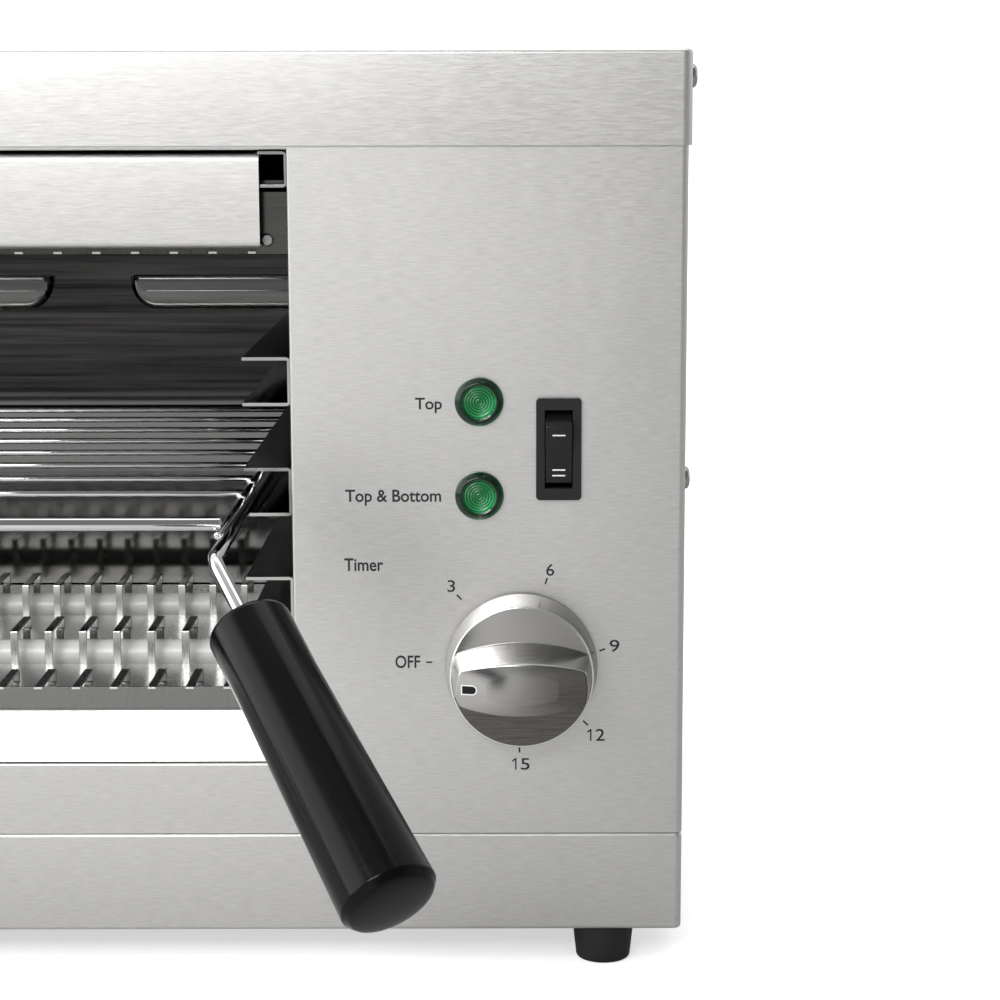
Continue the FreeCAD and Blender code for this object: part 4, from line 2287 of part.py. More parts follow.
MAKERS = [
    base_pan, chassis_plate, front_panel, left_side_panel, right_side_panel, back_panel, lid,
    chamber_left_wall, chamber_right_wall, chamber_back_wall, chamber_floor, chamber_ceiling,
    left_rack_guides, right_rack_guides, guide_rivets, upper_unit_rails,
    upper_cover_plate, upper_end_brackets, bracket_rivets, upper_guard, upper_reflector,
    upper_tubes, upper_heating_wires, upper_tube_holders,
    lower_guard, lower_reflector, lower_tubes, lower_heating_wires, lower_tube_holders,
    rack_left_rail, rack_right_rail, rack_side_wires, rack_front_wire, rack_cross_wires, handle_grips,
    crumb_tray_floor, crumb_tray_rim,
    timer_body, timer_bell, timer_nut, timer_shaft, timer_knob, knob_pointer,
    switch_housing, switch_rocker, switch_terminals,
    lamp_lenses, lamp_holders,
    terminal_block, cable_gland, gland_nut, earth_stud, element_wiring, control_wiring,
    feet, foot_screws, foot_nuts, side_screws, back_screws, base_screws,
]


def build():
    """All pieces by name, moved so that the origin is under the middle of the whole."""
    pieces = {maker.__name__: maker() for maker in MAKERS}
    box = Part.makeCompound(list(pieces.values())).optimalBoundingBox(False, False)
    shift = Vector(-box.Center.x, -box.Center.y, -box.ZMin)
    for piece in pieces.values():
        piece.translate(shift)
    return pieces, shift


def main():
    """Build the grill and write one STEP file per piece."""
    os.makedirs("parts", exist_ok=True)
    pieces, shift = build()
    for name, shape in pieces.items():
        if not shape.isValid():
            print("not valid:", name)
        shape.exportStep(os.path.join("parts", name + ".step"))
        print(name, len(shape.Solids), "solids", round(shape.Volume), "mm3")
    box = Part.makeCompound(list(pieces.values())).optimalBoundingBox(False, False)
    print("shift", round(shift.x, 3), round(shift.y, 3), round(shift.z, 3))
    print("size", round(box.XLength, 2), round(box.YLength, 2), round(box.ZLength, 2))


if __name__ == "__main__":
    main()
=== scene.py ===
"""Looks of a countertop toaster grill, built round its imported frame.

Sizes are millimetres in the maker's frame: x from the middle of the casing to the right, y from the face of
the front panel to the back, z up from the table. place() turns them into the row frame, in metres.
"""
import logging
import math
from dataclasses import dataclass
from enum import Enum
from typing import Callable, Sequence

import bmesh
import bpy
from mathutils import Matrix, Vector


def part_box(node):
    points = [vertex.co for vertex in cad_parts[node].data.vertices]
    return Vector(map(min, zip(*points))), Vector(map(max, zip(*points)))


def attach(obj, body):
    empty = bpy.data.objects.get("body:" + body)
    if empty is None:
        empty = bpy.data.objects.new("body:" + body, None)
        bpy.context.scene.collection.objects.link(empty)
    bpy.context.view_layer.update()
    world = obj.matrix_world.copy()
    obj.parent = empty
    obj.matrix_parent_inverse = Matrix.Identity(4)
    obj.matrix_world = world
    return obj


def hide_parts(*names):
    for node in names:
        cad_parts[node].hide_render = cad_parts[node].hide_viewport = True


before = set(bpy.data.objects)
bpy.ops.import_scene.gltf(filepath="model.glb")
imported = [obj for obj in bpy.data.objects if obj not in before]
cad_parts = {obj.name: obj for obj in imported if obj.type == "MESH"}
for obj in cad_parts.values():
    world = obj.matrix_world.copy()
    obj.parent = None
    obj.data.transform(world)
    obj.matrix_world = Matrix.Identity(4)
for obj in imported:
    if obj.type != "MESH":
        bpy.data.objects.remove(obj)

LOG = logging.getLogger("grill")
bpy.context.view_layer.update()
MM = 0.001
WELD = 0.002 * MM
FLAT_WITHIN = math.radians(0.5)
ORIGIN = Vector((0.0, 0.0, 0.0))
UP = Vector((0.0, 0.0, 1.0))
Corner = tuple[float, float]
Spot = tuple[Vector, Vector]
Shape = tuple[list[Vector], list[list[int]]]


def maker_zero() -> Vector:
    """Where the maker's frame has its zero in the row frame, in metres."""
    low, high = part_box("base_pan")
    return Vector(((low.x + high.x) / 2.0, low.y, 0.0))


ZERO = maker_zero()


def place(x: float, y: float, z: float) -> Vector:
    """A point of the maker's frame in the row frame, in metres."""
    return ZERO + Vector((x, y, z)) * MM


class Part(Enum):
    """The bodies that a piece may ride on."""

    HOUSING = "housing"
    RACK = "rack"
    TRAY = "tray"
    KNOB = "knob"
    ROCKER = "rocker"


class Slot(Enum):
    """The record's material slots."""

    BRUSHED = "brushed_stainless"
    MILL = "mill_stainless"
    POLISHED = "polished_stainless"
    WIRE = "chromed_wire"
    QUARTZ = "quartz_glass"
    CERAMIC = "ceramic"
    HEATING = "heating_wire"
    BAKELITE = "black_bakelite"
    KNOB = "knob_metal"
    POINTER = "pointer_black"
    PLASTIC = "black_plastic"
    LENS = "green_lens"
    PLATED = "plated_steel"
    BRASS = "brass"
    LEAD = "lead_insulation"
    RUBBER = "foot_rubber"


# Materials

def linear(colour: str) -> tuple[float, float, float, float]:
    """An sRGB hex colour as linear RGBA.

    Args:
        colour: The colour as "#rrggbb".

    Returns:
        The linear red, green, blue and an alpha of 1.
    """
    values = [int(colour[i:i + 2], 16) / 255.0 for i in (1, 3, 5)]
    scene_values = [v / 12.92 if v <= 0.04045 else ((v + 0.055) / 1.055) ** 2.4 for v in values]
    return (*scene_values, 1.0)


def add_node(tree: bpy.types.NodeTree, kind: str, values: dict | None = None, links: dict | None = None,
             **settings: object) -> bpy.types.Node:
    """Add a node with its settings, socket values and incoming links.

    Args:
        tree: The tree that gets the node.
        kind: The node's type name.
        values: Constants by input socket.
        links: Output sockets by input socket.
        settings: The node's own properties.

    Returns:
        The new node.
    """
    node = tree.nodes.new(kind)
    for key, value in settings.items():
        setattr(node, key, value)
    for socket, value in (values or {}).items():
        node.inputs[socket].default_value = value
    for socket, source in (links or {}).items():
        tree.links.new(source, node.inputs[socket])
    return node


def blank_material(name: str) -> tuple[bpy.types.Material, bpy.types.NodeTree, bpy.types.Node]:
    """A new material, its tree and its surface shader.

    Args:
        name: The material's name.

    Returns:
        The material, its node tree and its Principled shader.
    """
    material = bpy.data.materials.new(name)
    material.use_nodes = True
    tree = material.node_tree
    tree.nodes.clear()
    shader = add_node(tree, "ShaderNodeBsdfPrincipled")
    add_node(tree, "ShaderNodeOutputMaterial", links={"Surface": shader.outputs["BSDF"]})
    return material, tree, shader


class Grain(Enum):
    """Which way a brushed surface was drawn over the belt."""

    ACROSS = "level lines on the front and on top, lines from front to back on the sides"
    LEVEL = "level lines that hardly change with depth, for a domed front"
    UPRIGHT = "upright lines"
    DEPTH = "lines from front to back"


@dataclass(frozen=True)
class Finish:
    """What most finishes have: two colours that drift into each other, a roughness and a fine relief."""

    name: str
    light: str
    dark: str
    roughness: float

    def colour(self, tree: bpy.types.NodeTree, pattern: bpy.types.NodeSocket) -> bpy.types.NodeSocket:
        """The two colours mixed by a pattern, as an output of the tree."""
        colours = {6: linear(self.dark), 7: linear(self.light)}
        return add_node(tree, "ShaderNodeMix", colours, {0: pattern}, data_type="RGBA").outputs[2]

    def uneven(self, tree: bpy.types.NodeTree, pattern: bpy.types.NodeSocket, reach: Corner, result: Corner
               ) -> bpy.types.NodeSocket:
        """A roughness that follows a pattern: reach of the pattern to reach of the result.

        Args:
            tree: The material's tree.
            pattern: The pattern.
            reach: The pattern's values between which the roughness changes.
            result: The roughness at those two values.

        Returns:
            The roughness.
        """
        ends = {"From Min": reach[0], "From Max": reach[1], "To Min": result[0], "To Max": result[1]}
        return add_node(tree, "ShaderNodeMapRange", ends, {"Value": pattern}).outputs[0]

    def relief(self, tree: bpy.types.NodeTree, shader: bpy.types.Node, pattern: bpy.types.NodeSocket,
               depth: float) -> None:
        """Raise the surface by a pattern, depth millimetres high."""
        bump = add_node(tree, "ShaderNodeBump", {"Strength": 1.0, "Distance": depth * MM},
                        {"Height": pattern})
        tree.links.new(bump.outputs[0], shader.inputs["Normal"])


@dataclass(frozen=True)
class BrushedMetal(Finish):
    """Metal drawn over an abrasive belt: a soft mirror broken by fine parallel scratches of uneven length.

    With a second colour it also reads the mesh's own "tone" attribute, which paints a highlight: where it is
    1 the face takes the second colour. Below a given height the colour is mixed towards a lighter one.
    """

    spread: float
    scratch_length: float
    scratch_width: float
    scratch_depth: float
    grain: Grain = Grain.ACROSS
    cloud_size: float = 70.0
    cloud_roughness: float = 0.03
    sideways_from: float = 0.6
    toned: str | None = None
    lighter_below: float | None = None
    lighter_blend: float = 6.0
    lighter_share: float = 0.16
    lighter: str = "#DDDCDA"

    def make(self) -> bpy.types.Material:
        """The material with its nodes.

        Returns:
            The material.
        """
        material, tree, shader = blank_material(self.name)
        per_length, per_width = 1.0 / (self.scratch_length * MM), 1.0 / (self.scratch_width * MM)
        spot = add_node(tree, "ShaderNodeTexCoord").outputs["Object"]
        scales = {Grain.ACROSS: (per_length, per_width, per_width),
                  Grain.UPRIGHT: (per_width, per_width, per_length),
                  Grain.DEPTH: (per_width, per_length, per_width),
                  Grain.LEVEL: (per_length, per_length, per_width)}
        drawn = add_node(tree, "ShaderNodeVectorMath", {1: scales[self.grain]}, {0: spot},
                         operation="MULTIPLY")
        along = drawn.outputs[0]
        if self.grain is Grain.ACROSS:
            side = add_node(tree, "ShaderNodeVectorMath", {1: scales[Grain.DEPTH]}, {0: spot},
                            operation="MULTIPLY")
            normal = add_node(tree, "ShaderNodeNewGeometry").outputs["Normal"]
            facing = add_node(tree, "ShaderNodeSeparateXYZ", links={0: normal}).outputs["X"]
            sideways = add_node(tree, "ShaderNodeMath", links={0: facing}, operation="ABSOLUTE").outputs[0]
            choice = add_node(tree, "ShaderNodeMath", {1: self.sideways_from}, {0: sideways},
                              operation="GREATER_THAN").outputs[0]
            along = add_node(tree, "ShaderNodeMix", None, {0: choice, 4: along, 5: side.outputs[0]},
                             data_type="VECTOR").outputs[1]
        scratch = add_node(tree, "ShaderNodeTexNoise", {"Scale": 1.0, "Detail": 3.0, "Roughness": 0.65},
                           {"Vector": along}).outputs["Fac"]
        cloud = add_node(tree, "ShaderNodeTexNoise", {"Scale": 1.0 / (self.cloud_size * MM), "Detail": 2.0},
                         {"Vector": spot}).outputs["Fac"]
        shade = add_node(tree, "ShaderNodeMapRange", {"From Min": 0.3, "From Max": 0.7}, {"Value": scratch})
        shown = self.colour(tree, shade.outputs[0])
        # The tone attribute mixes in the second colour as a painted highlight.
        if self.toned:
            tone = add_node(tree, "ShaderNodeAttribute", attribute_name="tone").outputs["Fac"]
            shown = add_node(tree, "ShaderNodeMix", {7: linear(self.toned)}, {0: tone, 6: shown},
                             data_type="RGBA").outputs[2]
        # Below a given height the colour is mixed towards a lighter one.
        if self.lighter_below:
            height = add_node(tree, "ShaderNodeSeparateXYZ", links={0: spot}).outputs["Z"]
            ends = {"From Min": (self.lighter_below + self.lighter_blend) * MM,
                    "From Max": (self.lighter_below - self.lighter_blend) * MM, "To Max": self.lighter_share}
            lighter = add_node(tree, "ShaderNodeMapRange", ends, {"Value": height},
                             interpolation_type="SMOOTHSTEP").outputs[0]
            shown = add_node(tree, "ShaderNodeMix", {7: linear(self.lighter)}, {0: lighter, 6: shown},
                             data_type="RGBA").outputs[2]
        tree.links.new(shown, shader.inputs["Base Color"])
        rough = self.uneven(tree, scratch, (0.25, 0.75),
                            (self.roughness - self.spread, self.roughness + self.spread))
        clouded = add_node(tree, "ShaderNodeMath", {1: self.cloud_roughness * 2.0}, {0: cloud, 2: rough},
                           operation="MULTIPLY_ADD")
        tree.links.new(clouded.outputs[0], shader.inputs["Roughness"])
        self.relief(tree, shader, scratch, self.scratch_depth)
        shader.inputs["Metallic"].default_value = 1.0
        return material


@dataclass(frozen=True)
class PlatedMetal(Finish):
    """Metal with a bright plated or polished skin: a near mirror, faintly uneven, with small dull specks."""

    speck: float
    ripple: float
    depth: float

    def make(self) -> bpy.types.Material:
        """The material with its nodes.

        Returns:
            The material.
        """
        material, tree, shader = blank_material(self.name)
        spot = add_node(tree, "ShaderNodeTexCoord").outputs["Object"]
        speck = add_node(tree, "ShaderNodeTexNoise", {"Scale": 1.0 / (self.speck * MM), "Detail": 4.0},
                         {"Vector": spot}).outputs["Fac"]
        ripple = add_node(tree, "ShaderNodeTexNoise", {"Scale": 1.0 / (self.ripple * MM), "Detail": 1.0},
                          {"Vector": spot}).outputs["Fac"]
        tree.links.new(self.colour(tree, speck), shader.inputs["Base Color"])
        rough = self.uneven(tree, speck, (0.35, 0.75), (self.roughness * 0.7, self.roughness * 1.5))
        tree.links.new(rough, shader.inputs["Roughness"])
        self.relief(tree, shader, ripple, self.depth)
        shader.inputs["Metallic"].default_value = 1.0
        return material


@dataclass(frozen=True)
class Moulded(Finish):
    """A moulded or fired non-metal: even colour, a slight cloud, and the grain its mould or kiln gave."""

    grain: float
    depth: float
    ior: float = 1.5
    cloud: float = 25.0

    def make(self) -> bpy.types.Material:
        """The material with its nodes.

        Returns:
            The material.
        """
        material, tree, shader = blank_material(self.name)
        spot = add_node(tree, "ShaderNodeTexCoord").outputs["Object"]
        grain = add_node(tree, "ShaderNodeTexNoise", {"Scale": 1.0 / (self.grain * MM), "Detail": 3.0},
                         {"Vector": spot}).outputs["Fac"]
        cloud = add_node(tree, "ShaderNodeTexNoise", {"Scale": 1.0 / (self.cloud * MM), "Detail": 2.0},
                         {"Vector": spot}).outputs["Fac"]
        tree.links.new(self.colour(tree, cloud), shader.inputs["Base Color"])
        rough = self.uneven(tree, grain, (0.3, 0.7), (self.roughness * 0.8, self.roughness * 1.2))
        tree.links.new(rough, shader.inputs["Roughness"])
        self.relief(tree, shader, grain, self.depth)
        shader.inputs["IOR"].default_value = self.ior
        return material


@dataclass(frozen=True)
class RingedLens:
    """A clear moulded lens over a dark holder: its colour follows painted light and shade, with a wet clear
    skin.
    """

    name: str
    deep: str
    middle: str
    bright: str
    roughness: float = 0.3
    ior: float = 1.25
    coat_roughness: float = 0.04
    coat_ior: float = 1.36

    def make(self) -> bpy.types.Material:
        """The material, which reads the mesh's own attribute of painted light and shade: 0 dark, 1 bright.

        Returns:
            The material.
        """
        material, tree, shader = blank_material(self.name)
        # The attribute read here carries painted light and shade.
        lens_shading = add_node(tree, "ShaderNodeAttribute", attribute_name="lens_shading").outputs["Fac"]
        spot = add_node(tree, "ShaderNodeTexCoord").outputs["Object"]
        swirl = add_node(tree, "ShaderNodeTexNoise", {"Scale": 500.0, "Detail": 2.0},
                         {"Vector": spot}).outputs["Fac"]
        uneven = add_node(tree, "ShaderNodeMath", {1: 0.16}, {0: swirl, 2: lens_shading},
                          operation="MULTIPLY_ADD").outputs[0]
        ramp = add_node(tree, "ShaderNodeValToRGB", links={0: uneven})
        low, high = ramp.color_ramp.elements
        low.position, low.color = 0.08, linear(self.deep)
        high.position, high.color = 1.08, linear(self.bright)
        ramp.color_ramp.elements.new(0.58).color = linear(self.middle)
        tree.links.new(ramp.outputs["Color"], shader.inputs["Base Color"])
        for socket, value in (("Roughness", self.roughness), ("IOR", self.ior), ("Coat Weight", 1.0),
                              ("Coat Roughness", self.coat_roughness), ("Coat IOR", self.coat_ior)):
            shader.inputs[socket].default_value = value
        return material


class Finishes:
    """Every finish of the grill, made once."""

    def __init__(self) -> None:
        """Make the materials."""
        # Ferritic stainless sheet, belt brushed lengthwise: light grey, soft, with short level scratches.
        self.brushed = BrushedMetal("brushed_stainless_sheet", "#DCDBD9", "#CAC9C7", 0.37, 0.05, 5.0, 0.36,
                                    0.004).make()
        # Bright annealed sheet inside the oven, given a dark colour as painted shade of the dim oven: a dim
        # mirror with faint rolling lines. Its toned colour is a painted highlight round the louvres.
        self.rolled = BrushedMetal("stainless_sheet_dark_as_painted_shade", "#4A4948", "#262524", 0.06, 0.02, 90.0,
                                   2.0, 0.002, toned="#E9E8E6", lighter_below=156.0).make()
        # The guides are the same sheet, dark as painted shade; their front-facing edges take a painted
        # highlight.
        self.guide = BrushedMetal("folded_stainless_guides", "#565553", "#454442", 0.13, 0.03, 26.0, 0.8,
                                  0.002, toned="#E4E3E1").make()
        # Stainless strip for the guards: dark as painted shade on its flat tops, with painted highlights on
        # its bends, legs and low bands.
        self.strip = BrushedMetal("punched_stainless_strip", "#565553", "#4A4947", 0.26, 0.03, 14.0, 0.9,
                                  0.001, Grain.UPRIGHT, toned="#E6E5E3").make()
        # Polished stainless for the tray.
        self.polished = BrushedMetal("polished_stainless_sheet", "#EDECEA", "#E2E1DF", 0.3, 0.04, 14.0, 0.4,
                                     0.002).make()
        # Etched aluminium behind the tubes: nearly white, it scatters light on to the food.
        self.reflector = BrushedMetal("etched_aluminium_reflector", "#F6F6F4", "#ECECEA", 0.62, 0.05, 10.0,
                                      0.5, 0.002).make()
        # Steel wire with bright nickel and chrome: hard dark and white reflections.
        self.chrome = PlatedMetal("chromed_wire", "#E6E6E6", "#CFCFD1", 0.06, 0.6, 9.0, 0.004).make()
        # Zinc plate on steel screws: grey and dull bright.
        self.zinc = PlatedMetal("zinc_plated_steel", "#BDBDBB", "#8F8F8E", 0.24, 0.5, 3.0, 0.02).make()
        # Brass turned from bar: warm yellow, brownish in its specks.
        self.brass = PlatedMetal("turned_brass", "#C9A75A", "#A8863E", 0.22, 0.5, 3.0, 0.02).make()
        # Resistance wire of nickel and chromium, oxidised grey.
        self.heating = PlatedMetal("oxidised_resistance_wire", "#6E6A66", "#4C4845", 0.45, 0.4, 2.0,
                                   0.02).make()
        # Zinc casting, brushed level and lacquered: its toned colour is a painted highlight on rims and upper
        # faces, its dark colour painted shade in the hollow under its bar and towards the right.
        self.knob = BrushedMetal("brushed_knob_casting", "#6E6C6A", "#464442", 0.17, 0.04, 9.0, 0.18,
                                 0.0008, Grain.LEVEL, toned="#F1F0EE").make()
        # Phenolic moulding, polished in the tool: deep black with a wet gloss and long soft highlights.
        self.bakelite = Moulded("polished_phenolic_moulding", "#080808", "#050505", 0.16, 1.6, 0.002,
                                1.24).make()
        # Nylon moulding with a fine spark-eroded grain.
        self.nylon = Moulded("grained_nylon_moulding", "#222222", "#191919", 0.42, 0.35, 0.008, 1.36).make()
        # The rocker's face is glossier than its bezel.
        self.rocker = Moulded("smooth_nylon_moulding", "#1B1B1B", "#141414", 0.24, 0.5, 0.003, 1.38).make()
        # Moulded rubber: flat dark grey without gloss.
        self.rubber = Moulded("moulded_rubber", "#232322", "#1B1B1A", 0.6, 0.4, 0.02, 1.4).make()
        # Fused quartz full of fine bubbles: milk white with a glassy skin.
        self.quartz = Moulded("milky_fused_quartz", "#FBFBF9", "#F2F2F0", 0.25, 2.0, 0.006, 1.46).make()
        # Steatite, fired and browned by heat: dull and earthy.
        self.ceramic = Moulded("fired_steatite", "#4A4744", "#3A3734", 0.6, 0.3, 0.02, 1.5).make()
        # Clear green polycarbonate over a dark holder: nearly black where shade is painted, bright where
        # light is painted.
        self.lens = RingedLens("green_polycarbonate_lens", "#00140A", "#07592A", "#2CA862").make()
        # Screen printed ink, dark grey, slightly uneven.
        self.ink = Moulded("screen_printed_ink", "#333335", "#29292B", 0.5, 0.4, 0.002, 1.35).make()
        # Pad printed ink on the switch and round the pointer: chalk white.
        self.white_ink = Moulded("pad_printed_white_ink", "#F2F2F0", "#E2E2E0", 0.5, 0.4, 0.002).make()
        # Paint run into the knob's pointer: black with a slight gloss.
        self.pointer = Moulded("black_inlay_paint", "#0C0C0C", "#080808", 0.35, 0.4, 0.002, 1.35).make()
        # Silicone sleeves of the wires: brick red and matt.
        self.silicone = Moulded("silicone_sleeve", "#A12C20", "#8A2318", 0.5, 0.6, 0.01, 1.41).make()


# Mesh building

def in_scene(name: str, data: bpy.types.ID) -> bpy.types.Object:
    """A new object of the scene.

    Args:
        name: Its name.
        data: The mesh, curve, light or camera that it shows.

    Returns:
        The object.
    """
    item = bpy.data.objects.new(name, data)
    bpy.context.scene.collection.objects.link(item)
    return item


def plain_mesh(piece: bpy.types.Object) -> bpy.types.Mesh:
    """The mesh that a piece gives once its modifiers are applied; the piece itself is taken away.

    Args:
        piece: The piece with its modifiers, or a text curve.

    Returns:
        The finished mesh.
    """
    bpy.context.view_layer.update()
    graph = bpy.context.evaluated_depsgraph_get()
    mesh = bpy.data.meshes.new_from_object(piece.evaluated_get(graph), depsgraph=graph)
    bpy.data.objects.remove(piece)
    return mesh


def merge_doubles(shape: bmesh.types.BMesh) -> None:
    """Merge the points that lie on each other."""
    bmesh.ops.remove_doubles(shape, verts=shape.verts, dist=WELD)


def bridge(first: Sequence[int], second: Sequence[int]) -> list[list[int]]:
    """The faces between two rings of vertices, either of which may be one point.

    Args:
        first: The vertex numbers of one ring.
        second: Those of the next ring.

    Returns:
        The faces.
    """
    count = max(len(first), len(second))
    faces = []
    for i in range(count):
        j = (i + 1) % count
        if len(first) == 1:
            faces.append([first[0], second[i], second[j]])
        elif len(second) == 1:
            faces.append([first[i], first[j], second[0]])
        else:
            faces.append([first[i], first[j], second[j], second[i]])
    return faces


def eased(points: Sequence[Vector], radius: float | Sequence[float], steps: int = 5) -> list[Vector]:
    """Round the inner corners of a run of points with tangent arcs.

    Args:
        points: The corners, in two or three dimensions.
        radius: One radius for all inner corners, or one for each point.
        steps: How many parts each arc is divided into.

    Returns:
        The points of the rounded run.
    """
    radii = [radius] * len(points) if isinstance(radius, (int, float)) else list(radius)
    run = [points[0]]
    for before, corner, after, r in zip(points, points[1:], points[2:], radii[1:]):
        inward, outward = (before - corner).normalized(), (after - corner).normalized()
        half = inward.angle(outward) / 2.0
        if r <= 0.0 or half > math.radians(89.0):
            run.append(corner)
            continue
        reach = min(r / math.tan(half), 0.49 * (before - corner).length, 0.49 * (after - corner).length)
        r = reach * math.tan(half)
        centre = corner + (inward + outward).normalized() * (r / math.sin(half))
        start, end = corner + inward * reach - centre, corner + outward * reach - centre
        sweep = start.angle(end)
        for i in range(steps + 1):
            t = i / steps
            if sweep < 1e-5:
                run.append(centre + start.lerp(end, t))
                continue
            mix = (start * math.sin((1 - t) * sweep) + end * math.sin(t * sweep)) / math.sin(sweep)
            run.append(centre + mix)
    run.append(points[-1])
    return run


def add_mesh(name: str, points: Sequence[Vector], faces: Sequence[Sequence[int]], finish: bpy.types.Material,
             sharp: float = 38.0, turn_out: bool = True) -> bpy.types.Object:
    """A mesh object from points of the maker's frame.

    Args:
        name: The piece's name.
        points: Vertices in millimetres in the maker's frame.
        faces: Vertex numbers of each face.
        finish: Its material.
        sharp: Edges that turn by more degrees than this stay crisp.
        turn_out: Whether the faces are made to point outwards.

    Returns:
        The object, at the origin.
    """
    mesh = bpy.data.meshes.new(name)
    mesh.from_pydata([place(*point) for point in points], [], faces)
    return wrap_mesh(name, mesh, finish, sharp, turn_out)


def wrap_mesh(name: str, mesh: bpy.types.Mesh, finish: bpy.types.Material, sharp: float = 38.0,
              turn_out: bool = True) -> bpy.types.Object:
    """An object round a mesh whose points are in the row frame already, merged, smoothed and dressed.

    Args:
        name: The piece's name.
        mesh: The mesh.
        finish: Its material.
        sharp: Edges that turn by more degrees than this stay crisp.
        turn_out: Whether the faces are made to point outwards.

    Returns:
        The object, at the origin.
    """
    shape = bmesh.new()
    shape.from_mesh(mesh)
    merge_doubles(shape)
    if turn_out:
        bmesh.ops.recalc_face_normals(shape, faces=shape.faces)
    for face in shape.faces:
        face.smooth = True
    shape.to_mesh(mesh)
    shape.free()
    mesh.set_sharp_from_angle(angle=math.radians(sharp))
    mesh.materials.clear()
    mesh.materials.append(finish)
    mesh.name = name
    return in_scene(name, mesh)


def turned(profile: Sequence[Corner], start: Vector = ORIGIN, direction: Vector = UP, sides: int = 64,
           closed: bool = False) -> Shape:
    """A turned shape.

    Args:
        profile: Points as (distance along the axis, radius), from axis to axis unless closed.
        start: Where the axis starts.
        direction: Which way it runs.
        sides: How many flats go round.
        closed: Whether the last point joins the first, as in a ring or tube.

    Returns:
        The points and the faces.
    """
    axis = Vector(direction).normalized()
    across = axis.orthogonal().normalized()
    other = axis.cross(across)
    points: list[Vector] = []
    rings: list[list[int]] = []
    for along, radius in profile:
        centre = Vector(start) + axis * along
        first = len(points)
        if radius < 1e-6:
            points.append(centre)
        else:
            angles = [2.0 * math.pi * i / sides for i in range(sides)]
            points += [centre + across * (radius * math.cos(a)) + other * (radius * math.sin(a))
                       for a in angles]
        rings.append(list(range(first, len(points))))
    pairs = list(zip(rings, rings[1:])) + ([(rings[-1], rings[0])] if closed else [])
    return points, [face for a, b in pairs for face in bridge(a, b)]


def rod(path: Sequence[Vector], radius: float, sides: int, dome: float = 0.7) -> Shape:
    """A round wire along a path, its ends slightly domed.

    Args:
        path: The middle line.
        radius: The wire's radius.
        sides: How many flats go round.
        dome: How far the ends stand out, as a share of the radius; the path is shortened by that.

    Returns:
        The points and the faces.
    """
    line = [Vector(p) for p in path]
    first, last = (line[1] - line[0]).normalized(), (line[-1] - line[-2]).normalized()
    line[0] = line[0] + first * radius * dome
    line[-1] = line[-1] - last * radius * dome
    across = first.orthogonal().normalized()
    points: list[Vector] = []
    rings: list[list[int]] = []

    def ring(centre: Vector, tangent: Vector, size: float) -> None:
        """Add one ring of points."""
        start = len(points)
        other = tangent.cross(across)
        angles = [2.0 * math.pi * i / sides for i in range(sides)]
        points.extend(centre + across * (size * math.cos(a)) + other * (size * math.sin(a)) for a in angles)
        rings.append(list(range(start, len(points))))

    steps = 4
    points.append(line[0] - first * radius * dome)
    rings.append([0])
    for i in range(1, steps):
        a = math.pi / 2.0 * i / steps
        ring(line[0] - first * (radius * dome * math.cos(a)), first, radius * math.sin(a))
    for i, centre in enumerate(line):
        before = (centre - line[i - 1]).normalized() if i else first
        after = (line[i + 1] - centre).normalized() if i + 1 < len(line) else last
        tangent = (before + after).normalized()
        across = (across - tangent * across.dot(tangent)).normalized()
        stretch = (1.0 / max(0.5, math.cos(before.angle(after) / 2.0)) if (before - after).length > 1e-6
                   else 1.0)
        ring(centre, tangent, radius * stretch)
    for i in range(steps - 1, 0, -1):
        a = math.pi / 2.0 * i / steps
        ring(line[-1] + last * (radius * dome * math.cos(a)), last, radius * math.sin(a))
    rings.append([len(points)])
    points.append(line[-1] + last * radius * dome)
    return points, [face for a, b in zip(rings, rings[1:]) for face in bridge(a, b)]


def joined(shapes: Sequence[Shape]) -> Shape:
    """Several shapes as one list of points and faces.

    Args:
        shapes: The shapes, each as points and faces.

    Returns:
        All points and all faces.
    """
    points: list[Vector] = []
    faces: list[list[int]] = []
    for shape_points, shape_faces in shapes:
        first = len(points)
        points += shape_points
        faces += [[first + i for i in face] for face in shape_faces]
    return points, faces


def mirrored(shape: Shape, x: float) -> Shape:
    """A shape on the other side of an upright plane, its faces turned back outwards."""
    points, faces = shape
    return [Vector((2.0 * x - p.x, p.y, p.z)) for p in points], [list(reversed(face)) for face in faces]


def loose_part(name: str, shape: Shape, finish: bpy.types.Material) -> bpy.types.Object:
    """A part round the row frame's zero, for Geometry Nodes to repeat.

    Args:
        name: The part's name.
        shape: Its points and faces.
        finish: Its material.

    Returns:
        The part.
    """
    points, faces = shape
    mesh = bpy.data.meshes.new(name)
    mesh.from_pydata([point * MM for point in points], [], faces)
    return wrap_mesh(name, mesh, finish)


def prism(front: Sequence[Vector], back: Sequence[Vector]) -> Shape:
    """A solid between two outlines of as many points.

    Args:
        front: One outline.
        back: The other, in the same order.

    Returns:
        The points and the faces.
    """
    count = len(front)
    faces = [list(range(count)), list(range(2 * count - 1, count - 1, -1))]
    faces += [[(i + 1) % count, i, count + i, count + (i + 1) % count] for i in range(count)]
    return [*front, *back], faces


def extruded(section: Sequence[Corner], x_low: float, x_high: float) -> Shape:
    """A bar along x with a polygon of (y, z) points as its section."""
    return prism(*([Vector((x, y, z)) for y, z in section] for x in (x_low, x_high)))


def box_shape(low: Sequence[float], high: Sequence[float]) -> Shape:
    """A box between two corners, to be finished by its piece."""
    section = [(low[1], low[2]), (high[1], low[2]), (high[1], high[2]), (low[1], high[2])]
    return extruded(section, low[0], high[0])


